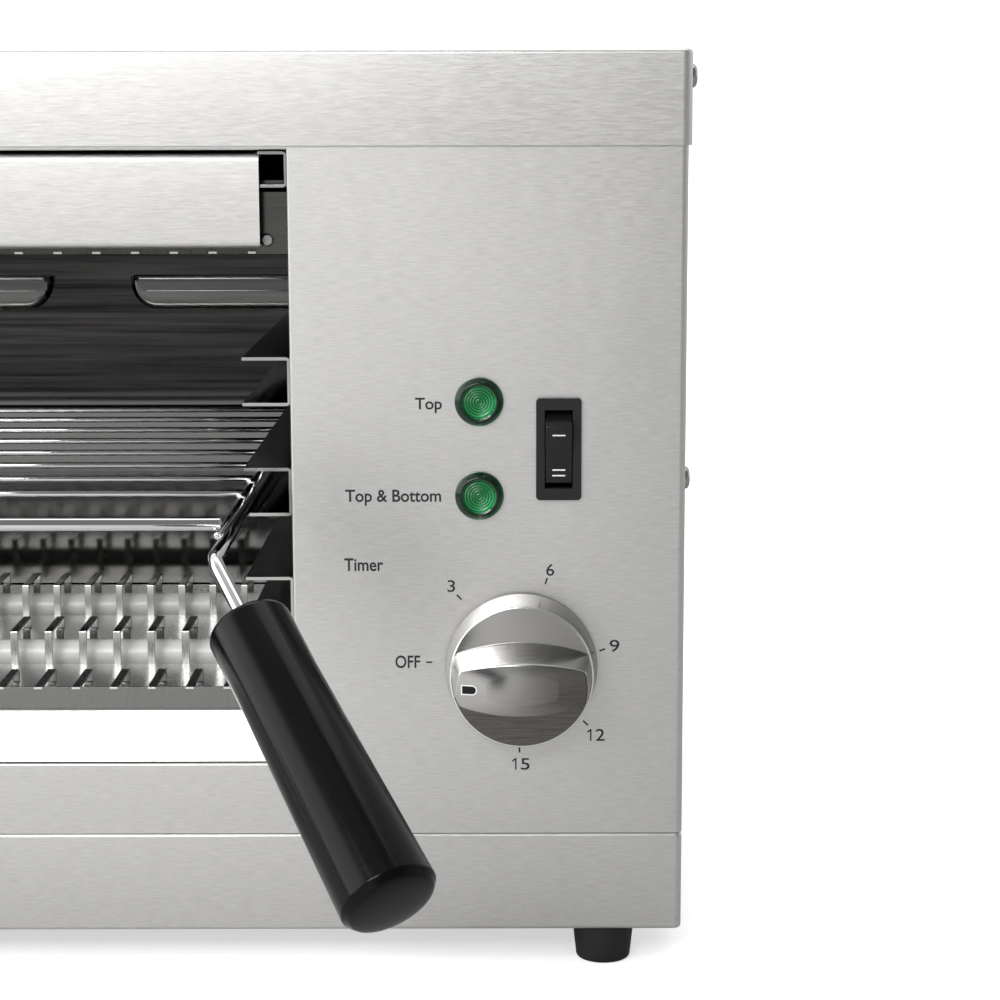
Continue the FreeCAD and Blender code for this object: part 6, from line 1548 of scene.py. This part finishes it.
@dataclass
class TimerKnob:
    """The round knob with its bowed grip bar, brushed level."""

    x: float = 193.9
    z: float = 98.9
    gap: float = 1.5
    base_radius: float = 23.9
    face_radius: float = 22.3
    skirt_depth: float = 12.5
    depth: float = 30.5
    root_half: float = 10.8
    front_half: float = 8.2
    side_radius: float = 60.0
    end_radius: float = 20.0
    front_radius: float = 70.0
    recess_radius: float = 20.0
    recess_depth: float = 7.0
    rounding: float = 0.8
    around: int = 288
    inner_share: float = 0.55
    corner_blend: float = 1.0
    pointer_half: float = 1.2
    pointer_span: Corner = (-18.2, -14.0)

    def outline(self, angle: float, share: float) -> float:
        """How far the grip bar reaches at an angle, at a share of the way from the face to the front.

        Args:
            angle: The angle round the knob's axis.
            share: 0 at the face, 1 at the front.

        Returns:
            The distance from the axis.
        """
        shift = self.side_radius - self.root_half
        radius = self.side_radius - (self.root_half - self.front_half) * share
        end = (self.face_radius - 0.7) + (self.end_radius - self.face_radius + 0.3) * share
        rise = abs(math.sin(angle)) * shift
        side = -rise + math.sqrt(rise * rise + radius * radius - shift * shift)
        blend = self.corner_blend
        h = max(0.0, min(1.0, 0.5 + 0.5 * (side - end) / blend))
        return side * (1 - h) + end * h - blend * h * (1 - h)

    def dome(self, radius: float) -> float:
        """How deep the convex front lies in front of the panel at a distance from the axis."""
        return self.gap + self.depth - self.front_radius + math.sqrt(self.front_radius ** 2 - radius ** 2)

    def column(self, angle: float) -> list[Corner]:
        """The knob's surface at one angle, as (distance from the axis, depth) points from back to front.

        Args:
            angle: The angle round the knob's axis.

        Returns:
            The points.
        """
        face = self.gap + self.skirt_depth
        run = [Vector((self.recess_radius, self.gap + self.recess_depth)),
               Vector((self.recess_radius, self.gap)), Vector((self.base_radius, self.gap)),
               Vector((self.face_radius, face))]
        root = self.outline(angle, 0.0)
        share = 1.0
        for _ in range(4):
            edge = self.outline(angle, share)
            share = (self.dome(edge) - face) / (self.depth - self.skirt_depth)
        inner = edge * self.inner_share
        run += [Vector((root + 0.02, face)), Vector((edge, self.dome(edge))),
                Vector((inner, self.dome(inner)))]
        radii = [0.0, 0.25, 0.35, 0.6, 0.5, self.rounding, 0.0]
        column = [(p.x, p.y) for p in eased(run, radii, 6)]
        return column + [(r, self.dome(r)) for r in [inner * (1.0 - i / 8.0) for i in range(1, 8)]]

    def build(self, finishes: Finishes) -> None:
        """Make the knob, its pointer and its shaft.

        Args:
            finishes: Every finish of the grill.
        """
        angles = [2.0 * math.pi * i / self.around for i in range(self.around)]
        points = [Vector((self.x, -(self.gap + self.recess_depth), self.z))]
        rings = [[0]]
        for row in zip(*(self.column(angle) for angle in angles)):
            first = len(points)
            for angle, (radius, deep) in zip(angles, row):
                points.append(Vector((self.x + radius * math.cos(angle), -deep,
                                      self.z + radius * math.sin(angle))))
            rings.append(list(range(first, len(points))))
        rings.append([len(points)])
        points.append(Vector((self.x, -self.dome(0.0), self.z)))
        faces = [face for a, b in zip(rings, rings[1:]) for face in bridge(a, b)]
        # The tone attribute paints highlights and shade on the knob.
        piece = tone(add_mesh("brushed_knob", points, faces, finishes.knob, 32.0), self.painted_knob_light)
        hand_over(piece, Part.KNOB, Slot.KNOB, "timer_knob")
        self.build_pointer(finishes)
        dress(finishes.zinc, "timer_shaft")

    def painted_knob_light(self, spot: Vector, normal: Vector) -> float:
        """Painted light on the knob: a painted highlight on its rims, faces lighter upwards and to the left,
        and painted shade on the face below its bar.

        Args:
            spot: A face's middle, in the maker's frame.
            normal: The way the face looks.

        Returns:
            How bright the face is, from 0 to 1.
        """
        across, up, deep = (spot.x - self.x) / self.base_radius, spot.z - self.z, -spot.y
        radius = math.hypot(spot.x - self.x, up)
        face = self.gap + self.skirt_depth
        if (0.24 < self.dome(radius) - deep < 0.8
                or (radius > self.face_radius - 0.5 and abs(deep - face) < 0.5)):
            return 0.95
        if abs(deep - face) < 0.3:
            return 0.38 - 0.12 * across if up > 0.0 else 0.02
        return max(0.0, min(0.75, 0.25 + 0.4 * normal.z - 0.32 * across))

    def build_pointer(self, finishes: Finishes) -> None:
        """The black pointer near the left end of the bar, with its light edge.

        Args:
            finishes: Every finish of the grill.
        """
        for name, grow, lift, finish, slot, nodes in (
                ("pointer_edge", 0.35, 0.02, finishes.white_ink, None, ()),
                ("pointer_inlay", 0.0, 0.05, finishes.pointer, Slot.POINTER, ("knob_pointer",))):
            half = self.pointer_half + grow
            left, right = self.x + self.pointer_span[0] - grow, self.x + self.pointer_span[1] + grow
            outline = [(left, self.z - half), (right - half, self.z - half)]
            outline += [(right - half + half * math.sin(a), self.z - half * math.cos(a))
                        for a in [math.pi * i / 14 for i in range(1, 14)]]
            outline += [(right - half, self.z + half), (left, self.z + half)]
            front = [Vector((x, -self.dome(math.hypot(x - self.x, z - self.z)) - lift, z))
                     for x, z in outline]
            patch = prism(front, [p + Vector((0, 0.5, 0)) for p in front])
            hand_over(add_mesh(name, *patch, finish), Part.KNOB, slot, *nodes)


# The switch and the lamps

@dataclass
class RockerSwitch:
    """The two-way rocker in its bezel, with a single and a double line."""

    x: float = 205.5
    z: float = 168.2
    pivot_y: float = 4.5
    tilt: float = 11.0
    middle_proud: float = 2.6
    ridge_proud: float = 3.4
    ridge_half: float = 9.4
    mark_half: float = 2.0
    mark_height: float = 0.45
    mark_lift: float = 0.07
    mark_sunk: float = 0.2
    mark_heights: tuple[float, ...] = (6.3, -5.0, -6.8)

    def build(self, finishes: Finishes) -> None:
        """Make the bezel, the rocker and its marks.

        Args:
            finishes: Every finish of the grill.
        """
        reshape("switch_housing", "switch_bezel", finishes.nylon, Slot.PLASTIC, 0.35)
        reshape("switch_rocker", "ridged_rocker", finishes.rocker, Slot.PLASTIC, 0.3, Part.ROCKER)
        shapes = [self._mark(up) for up in self.mark_heights]
        hand_over(add_mesh("rocker_lines", *joined(shapes), finishes.white_ink), Part.ROCKER, None)
        dress(finishes.brass, "switch_terminals")

    def _mark(self, up: float) -> Shape:
        """A short level line on the rocker's face, at a height above its middle when it isn't tipped.

        Args:
            up: The height.

        Returns:
            The points and the faces.
        """
        turn = Matrix.Rotation(math.radians(self.tilt), 3, "X")
        pivot = Vector((self.x, self.pivot_y, self.z))
        layers = []
        for lift in (self.mark_lift, -self.mark_sunk):
            points = []
            for dx, dz in ((-1, -1), (1, -1), (1, 1), (-1, 1)):
                height = up + dz * self.mark_height / 2.0
                proud = (self.middle_proud
                         + (self.ridge_proud - self.middle_proud) * abs(height) / self.ridge_half)
                points.append(pivot + turn @ Vector((dx * self.mark_half, -proud - lift - self.pivot_y,
                                                     height)))
            layers.append(points)
        return prism(*layers)


@dataclass
class Lamps:
    """Two green lenses with a bevelled rim and a ringed middle."""

    x: float = 180.9
    heights: tuple[float, float] = (183.0, 153.6)
    radius: float = 7.6
    face_radius: float = 5.0
    proud: float = 3.2
    ring_pitch: float = 0.86
    ring_depth: float = 0.22
    disc_drop: float = 0.3
    neck_radius: float = 6.1
    neck_length: float = 8.0

    def profile(self) -> list[Corner]:
        """The lens from its neck over the rounded rim to the ringed middle, as (depth, radius).

        Returns:
            The outline.
        """
        disc = self.proud - self.disc_drop
        corners = [Vector((-self.neck_length, 0.0)), Vector((-self.neck_length, self.neck_radius)),
                   Vector((0.0, self.neck_radius)), Vector((0.0, self.radius)), Vector((1.3, self.radius)),
                   Vector((self.proud + 0.1, self.face_radius + 0.9)), Vector((disc, self.face_radius))]
        profile = [(p.x, p.y) for p in eased(corners, [0, 0.2, 0, 0.2, 1.6, 0.8, 0], 8)]
        steps = int(self.face_radius / self.ring_pitch) * 6
        for i in range(1, steps):
            radius = self.face_radius * (1.0 - i / steps)
            wave = math.cos(2.0 * math.pi * radius / self.ring_pitch)
            profile.append((disc - self.ring_depth * (0.5 - 0.5 * wave), radius))
        return profile + [(disc, 0.0)]

    def painted_lens_light(self, across: float, up: float) -> float:
        """Painted light on the lens off its middle: ringed disc with painted shade in its grooves and a
        painted glow towards the lower right, dark ditch, painted edge light at the lower right.

        Args:
            across: How far right of the middle.
            up: How far above it.

        Returns:
            0 where it is deep and dark, 1 where it is bright.
        """
        radius = math.hypot(across, up)
        if radius < self.face_radius:
            glow = 0.2 * max(0.0, (across - up) / self.face_radius)
            return 0.5 + glow + 0.16 * math.cos(2.0 * math.pi * radius / self.ring_pitch)
        share = (radius - self.face_radius) / (self.radius - self.face_radius)
        lit = max(0.0, (across - up) / (math.sqrt(2.0) * radius))
        return max(0.0, 0.3 - 1.2 * share) if share < 0.55 else 0.1 + 0.7 * lit * (share - 0.55) / 0.45

    def build(self, finishes: Finishes) -> None:
        """Make the lenses and dress their holders.

        Args:
            finishes: Every finish of the grill.
        """
        profile = self.profile()
        shapes = [turned(profile, Vector((self.x, 0, z)), Vector((0, -1, 0)), 72) for z in self.heights]
        piece = add_mesh("ringed_lenses", *joined(shapes), finishes.lens, 24.0)
        # Each point's attribute holds painted light and shade for the lens.
        lens_shading = piece.data.attributes.new("lens_shading", "FLOAT", "POINT")
        for i, vertex in enumerate(piece.data.vertices):
            spot = (vertex.co - ZERO) / MM
            ups = [spot.z - z for z in self.heights]
            lens_shading.data[i].value = self.painted_lens_light(spot.x - self.x, min(ups, key=abs))
        hand_over(piece, Part.HOUSING, Slot.LENS, "lamp_lenses")
        dress(finishes.nylon, "lamp_holders")


# Feet, screws and the back

@dataclass
class Fixings:
    """Feet, screws, nuts, the cable gland and the earth stud."""

    foot_x: float = 220.5
    foot_ys: tuple[float, float] = (11.5, 268.5)
    foot_height: float = 12.6
    foot_top: float = 10.0
    foot_bottom: float = 8.6
    foot_bore: float = 2.2
    recess: float = 5.0
    recess_depth: float = 6.0
    screw_radius: float = 2.0
    head_radius: float = 3.6
    head_height: float = 2.0
    half_width: float = 245.0
    depth: float = 280.0
    inset: float = 11.0
    lid_screw_z: float = 282.0
    side_screw_z: float = 157.4
    back_screw_zs: tuple[float, ...] = (62.8, 153.0, 243.2)
    flange_inset: float = 8.0
    base_screw_ys: tuple[float, float] = (6.5, 273.5)
    base_screw_z: float = 45.8
    slot_half: float = 1.9
    slot_width: float = 0.84

    def build(self, finishes: Finishes, repeats: Repeats) -> None:
        """Make them all.

        Args:
            finishes: Every finish of the grill.
            repeats: The trees that repeat a part.
        """
        self.build_feet(finishes, repeats)
        for name, node, length, spots in self.screw_groups():
            part = self._screw(length, finishes)
            hand_over(repeats.scattered(name, part, spots, finishes.zinc), Part.HOUSING, Slot.PLATED, node)
        for node in ("cable_gland", "gland_nut"):
            reshape(node, f"moulded_{node}", finishes.nylon, Slot.PLASTIC, 0.3)
        reshape("earth_stud", "turned_earth_stud", finishes.brass, Slot.BRASS, 0.2)
        dress(finishes.zinc, "foot_nuts", "timer_nut", "timer_body")
        dress(finishes.brass, "timer_bell")
        dress(finishes.nylon, "terminal_block")
        dress(finishes.silicone, "control_wiring")
        dress(finishes.heating, "element_wiring")

    def build_feet(self, finishes: Finishes, repeats: Repeats) -> None:
        """The four moulded feet.

        Args:
            finishes: Every finish of the grill.
            repeats: The trees that repeat a part.
        """
        corners = [Vector((self.recess_depth, self.foot_bore)), Vector((self.recess_depth, self.recess)),
                   Vector((0.0, self.recess)), Vector((0.0, self.foot_bottom)),
                   Vector((self.foot_height, self.foot_top)), Vector((self.foot_height, self.foot_bore))]
        profile = [(p.x, p.y) for p in eased(corners, [0, 0, 0.4, 1.2, 0.2, 0], 6)]
        foot = loose_part("foot", turned(profile, sides=56, closed=True), finishes.rubber)
        spots = [(Vector((side * self.foot_x, y, 0.0)), Vector((0, 0, 1)))
                 for side in (-1, 1) for y in self.foot_ys]
        hand_over(repeats.scattered("moulded_feet", foot, spots, finishes.rubber), Part.HOUSING,
                  Slot.RUBBER, "feet")

    def screw_groups(self) -> list[tuple[str, str, float, list[Spot]]]:
        """Each group of screws as (piece, node, shank length, spots).

        Returns:
            The groups.
        """
        sides, right, flange = (-1, 1), Vector((1, 0, 0)), self.half_width - self.flange_inset
        front_y, back_y = self.inset, self.depth - self.inset
        lid = [(Vector((s * (self.half_width + 1), y, self.lid_screw_z)), right * s)
               for s in sides for y in (front_y, back_y)]
        side = [(Vector((s * self.half_width, front_y, self.side_screw_z)), right * s) for s in sides]
        side += [(Vector((s * (self.half_width - 1), back_y, self.side_screw_z)), right * s) for s in sides]
        back = [(Vector((s * flange, self.depth, z)), Vector((0, 1, 0)))
                for s in sides for z in self.back_screw_zs]
        base = [(Vector((s * flange, y, self.base_screw_z)), UP) for s in sides for y in self.base_screw_ys]
        feet = [(Vector((s * self.foot_x, y, self.recess_depth)), -UP) for s in sides for y in self.foot_ys]
        return [("domed_side_screws", "side_screws", 9.0, lid + side),
                ("domed_back_screws", "back_screws", 9.0, back),
                ("domed_base_screws", "base_screws", 9.0, base),
                ("domed_foot_screws", "foot_screws", 14.5, feet)]

    def _screw(self, length: float, finishes: Finishes) -> bpy.types.Object:
        """A pan-head screw with a cross recess, its head's underside at the row frame's zero.

        Args:
            length: How long its shank is.
            finishes: Every finish of the grill.

        Returns:
            The screw.
        """
        profile = [(-length, 0.0), (-length, self.screw_radius - 0.3), (-length + 0.5, self.screw_radius),
                   (0.0, self.screw_radius), (0.0, self.head_radius)]
        for i in range(1, 7):
            a = math.pi / 2.0 * i / 7.0
            profile.append((self.head_height * (0.35 + 0.65 * math.sin(a)),
                            self.head_radius * (0.45 + 0.55 * math.cos(a))))
        profile += [(self.head_height, self.head_radius * 0.4), (self.head_height, 0.0)]
        head = loose_part("screw", turned(profile, sides=32), finishes.zinc)
        half, wide = self.slot_half, self.slot_width / 2.0
        floor, top = self.head_height - 1.0, self.head_height + 1.0
        for x, y in ((half, wide), (wide, half)):
            cutter = loose_part("recess", box_shape((-x, -y, floor), (x, y, top)), finishes.zinc)
            cut = head.modifiers.new("recess", "BOOLEAN")
            cut.operation = "DIFFERENCE"
            cut.solver = "EXACT"
            cut.object = cutter
            head = wrap_mesh("screw", plain_mesh(head), finishes.zinc)
            bpy.data.objects.remove(cutter)
        return head


@dataclass
class Trays:
    """The crumb tray and the cover of the upper heater."""

    rim_rounding: float = 0.15

    def build(self, finishes: Finishes) -> None:
        """Make both from smoothed copies, the tray's rim with soft edges.

        Args:
            finishes: Every finish of the grill.
        """
        for node, rounding in (("crumb_tray_floor", 0.0), ("crumb_tray_rim", self.rim_rounding)):
            reshape(node, f"polished_{node}", finishes.polished, Slot.POLISHED, rounding, Part.TRAY)
        reshape("upper_cover_plate", "folded_cover_plate", finishes.brushed, Slot.BRUSHED)


# The studio

@dataclass
class Studio:
    """A plain white sweep, soft light and a camera at the photograph's angle."""

    camera_at: tuple[float, float, float] = (187.3, -730.0, 273.0)
    pitch: float = 9.4
    roll: float = -0.12
    focal_pixels: float = 2380.0
    picture: float = 1000.0
    sensor: float = 36.0
    floor_glow: float = 0.45
    floor_reach: float = 12.0

    def build(self) -> None:
        """Make the floor, the lights, the world and the camera."""
        self.build_floor()
        self.build_lights()
        self.build_world()
        self.build_camera()
        bpy.context.scene.view_settings.view_transform = "Standard"

    def build_floor(self) -> None:
        """A wide pale floor."""
        mesh = bpy.data.meshes.new("floor")
        corners = ((-1, -1), (1, -1), (1, 1), (-1, 1))
        mesh.from_pydata([(x * self.floor_reach, y * self.floor_reach, 0) for x, y in corners], [],
                         [[0, 1, 2, 3]])
        # Lit paper sweep: white to the eye; what metal mirrors of it is greyer, and darker at the right.
        material, tree, shader = blank_material("lit_white_sweep")
        spot = add_node(tree, "ShaderNodeTexCoord").outputs["Object"]
        fibre = add_node(tree, "ShaderNodeTexNoise", {"Scale": 400.0}, {"Vector": spot}).outputs["Fac"]
        shade = add_node(tree, "ShaderNodeMix", {6: linear("#FAFAFA"), 7: linear("#FDFDFD")}, {0: fibre},
                         data_type="RGBA")
        seen = add_node(tree, "ShaderNodeLightPath").outputs["Is Camera Ray"]
        across = add_node(tree, "ShaderNodeSeparateXYZ", links={0: spot}).outputs["X"]
        side = add_node(tree, "ShaderNodeMapRange", {"From Min": 0.12, "From Max": 0.34}, {"Value": across},
                        interpolation_type="SMOOTHSTEP").outputs[0]
        card = add_node(tree, "ShaderNodeMix", {6: linear("#C8C8C8"), 7: linear("#9A9A9A")}, {0: side},
                        data_type="RGBA")
        pale = add_node(tree, "ShaderNodeMix", None, {0: seen, 6: card.outputs[2], 7: shade.outputs[2]},
                        data_type="RGBA")
        tree.links.new(pale.outputs[2], shader.inputs["Base Color"])
        shader.inputs["Roughness"].default_value = 0.9
        shader.inputs["Emission Color"].default_value = linear("#FFFFFF")
        glow = add_node(tree, "ShaderNodeMath", {1: self.floor_glow, 2: self.floor_glow * 0.15}, {0: seen},
                        operation="MULTIPLY_ADD")
        tree.links.new(glow.outputs[0], shader.inputs["Emission Strength"])
        mesh.materials.append(material)
        in_scene("floor", mesh)

    def build_lights(self) -> None:
        """A large soft box at the upper left, a low one that reaches into the oven, and a weak one on top."""
        for name, spot, target, size, power in (
                ("key_soft_box", (-0.46, -1.15, 1.15), (0.05, 0.0, 0.1), (0.85, 0.55), 8.0),
                ("oven_soft_box", (-0.3, -1.7, 1.0), (-0.05, 0.1, 0.08), (0.9, 0.3), 12.5),
                ("top_soft_box", (0.3, 0.5, 2.0), (0.1, 0.1, 0.1), (1.4, 1.0), 7.0)):
            data = bpy.data.lights.new(name, "AREA")
            data.shape = "RECTANGLE"
            data.size, data.size_y = size
            data.energy = power
            light = in_scene(name, data)
            light.location = spot
            light.rotation_euler = (Vector(target) - Vector(spot)).to_track_quat("-Z", "Y").to_euler()

    def build_world(self) -> None:
        """A room that is white on the left and behind and dim at the right front, for metal to show."""
        world = bpy.data.worlds.new("studio")
        bpy.context.scene.world = world
        world.use_nodes = True
        tree = world.node_tree
        tree.nodes.clear()
        direction = add_node(tree, "ShaderNodeTexCoord").outputs["Generated"]
        parts = add_node(tree, "ShaderNodeSeparateXYZ", links={0: direction})
        room = None
        for axis, start, end, low, high in (("X", -0.06, 0.1, 0.6, 0.22), ("X", -0.6, -0.85, 0.0, 2.4),
                                            ("X", 0.8, 0.95, 0.0, 0.25), ("Y", -0.2, 0.3, 0.0, 0.6)):
            lobe = add_node(tree, "ShaderNodeMapRange", {"From Min": start, "From Max": end, "To Min": low,
                                                         "To Max": high}, {"Value": parts.outputs[axis]},
                            interpolation_type="SMOOTHSTEP").outputs[0]
            room = lobe if room is None else add_node(tree, "ShaderNodeMath", links={0: room, 1: lobe},
                                                      operation="ADD").outputs[0]
        seen = add_node(tree, "ShaderNodeLightPath").outputs["Is Camera Ray"]
        strength = add_node(tree, "ShaderNodeMix", {3: 1.1}, {0: seen, 2: room})
        background = add_node(tree, "ShaderNodeBackground", {"Color": (1.0, 1.0, 1.0, 1.0)},
                              {"Strength": strength.outputs[0]})
        add_node(tree, "ShaderNodeOutputWorld", links={"Surface": background.outputs[0]})

    def build_camera(self) -> None:
        """The camera, level across and looking slightly down."""
        data = bpy.data.cameras.new("camera")
        data.sensor_width = self.sensor
        data.lens = self.focal_pixels * self.sensor / self.picture
        data.clip_start = 0.05
        camera = in_scene("camera", data)
        camera.location = place(*self.camera_at)
        down = Matrix.Rotation(math.radians(90.0 - self.pitch), 4, "X")
        camera.rotation_euler = (down @ Matrix.Rotation(math.radians(self.roll), 4, "Z")).to_euler()
        bpy.context.scene.camera = camera


def main() -> None:
    """Build every sub-assembly, then the studio."""
    finishes = Finishes()
    repeats = Repeats()
    Studio().build()
    lower = Heater("lower", -232.5, 122.5, front=3.0, end_reach=13.0, strip_shift=0.0)
    upper = Heater("upper", -222.0, 112.0, front=9.0, end_reach=2.5, strip_shift=-2.4, mirror=320.0)
    for assembly, tools in ((Casing(), (finishes,)), (Oven(), (finishes, repeats)),
                            (lower, (finishes, repeats)),
                            (upper, (finishes, repeats)), (ToastingRack(), (finishes, repeats)),
                            (Trays(), (finishes,)), (TimerKnob(), (finishes,)), (RockerSwitch(), (finishes,)),
                            (Lamps(), (finishes,)), (Fixings(), (finishes, repeats))):
        assembly.build(*tools)
        LOG.info("%s done", type(assembly).__name__)


if __name__ == "__main__":
    logging.basicConfig(level=logging.INFO, format="%(name)s: %(message)s")
    main()
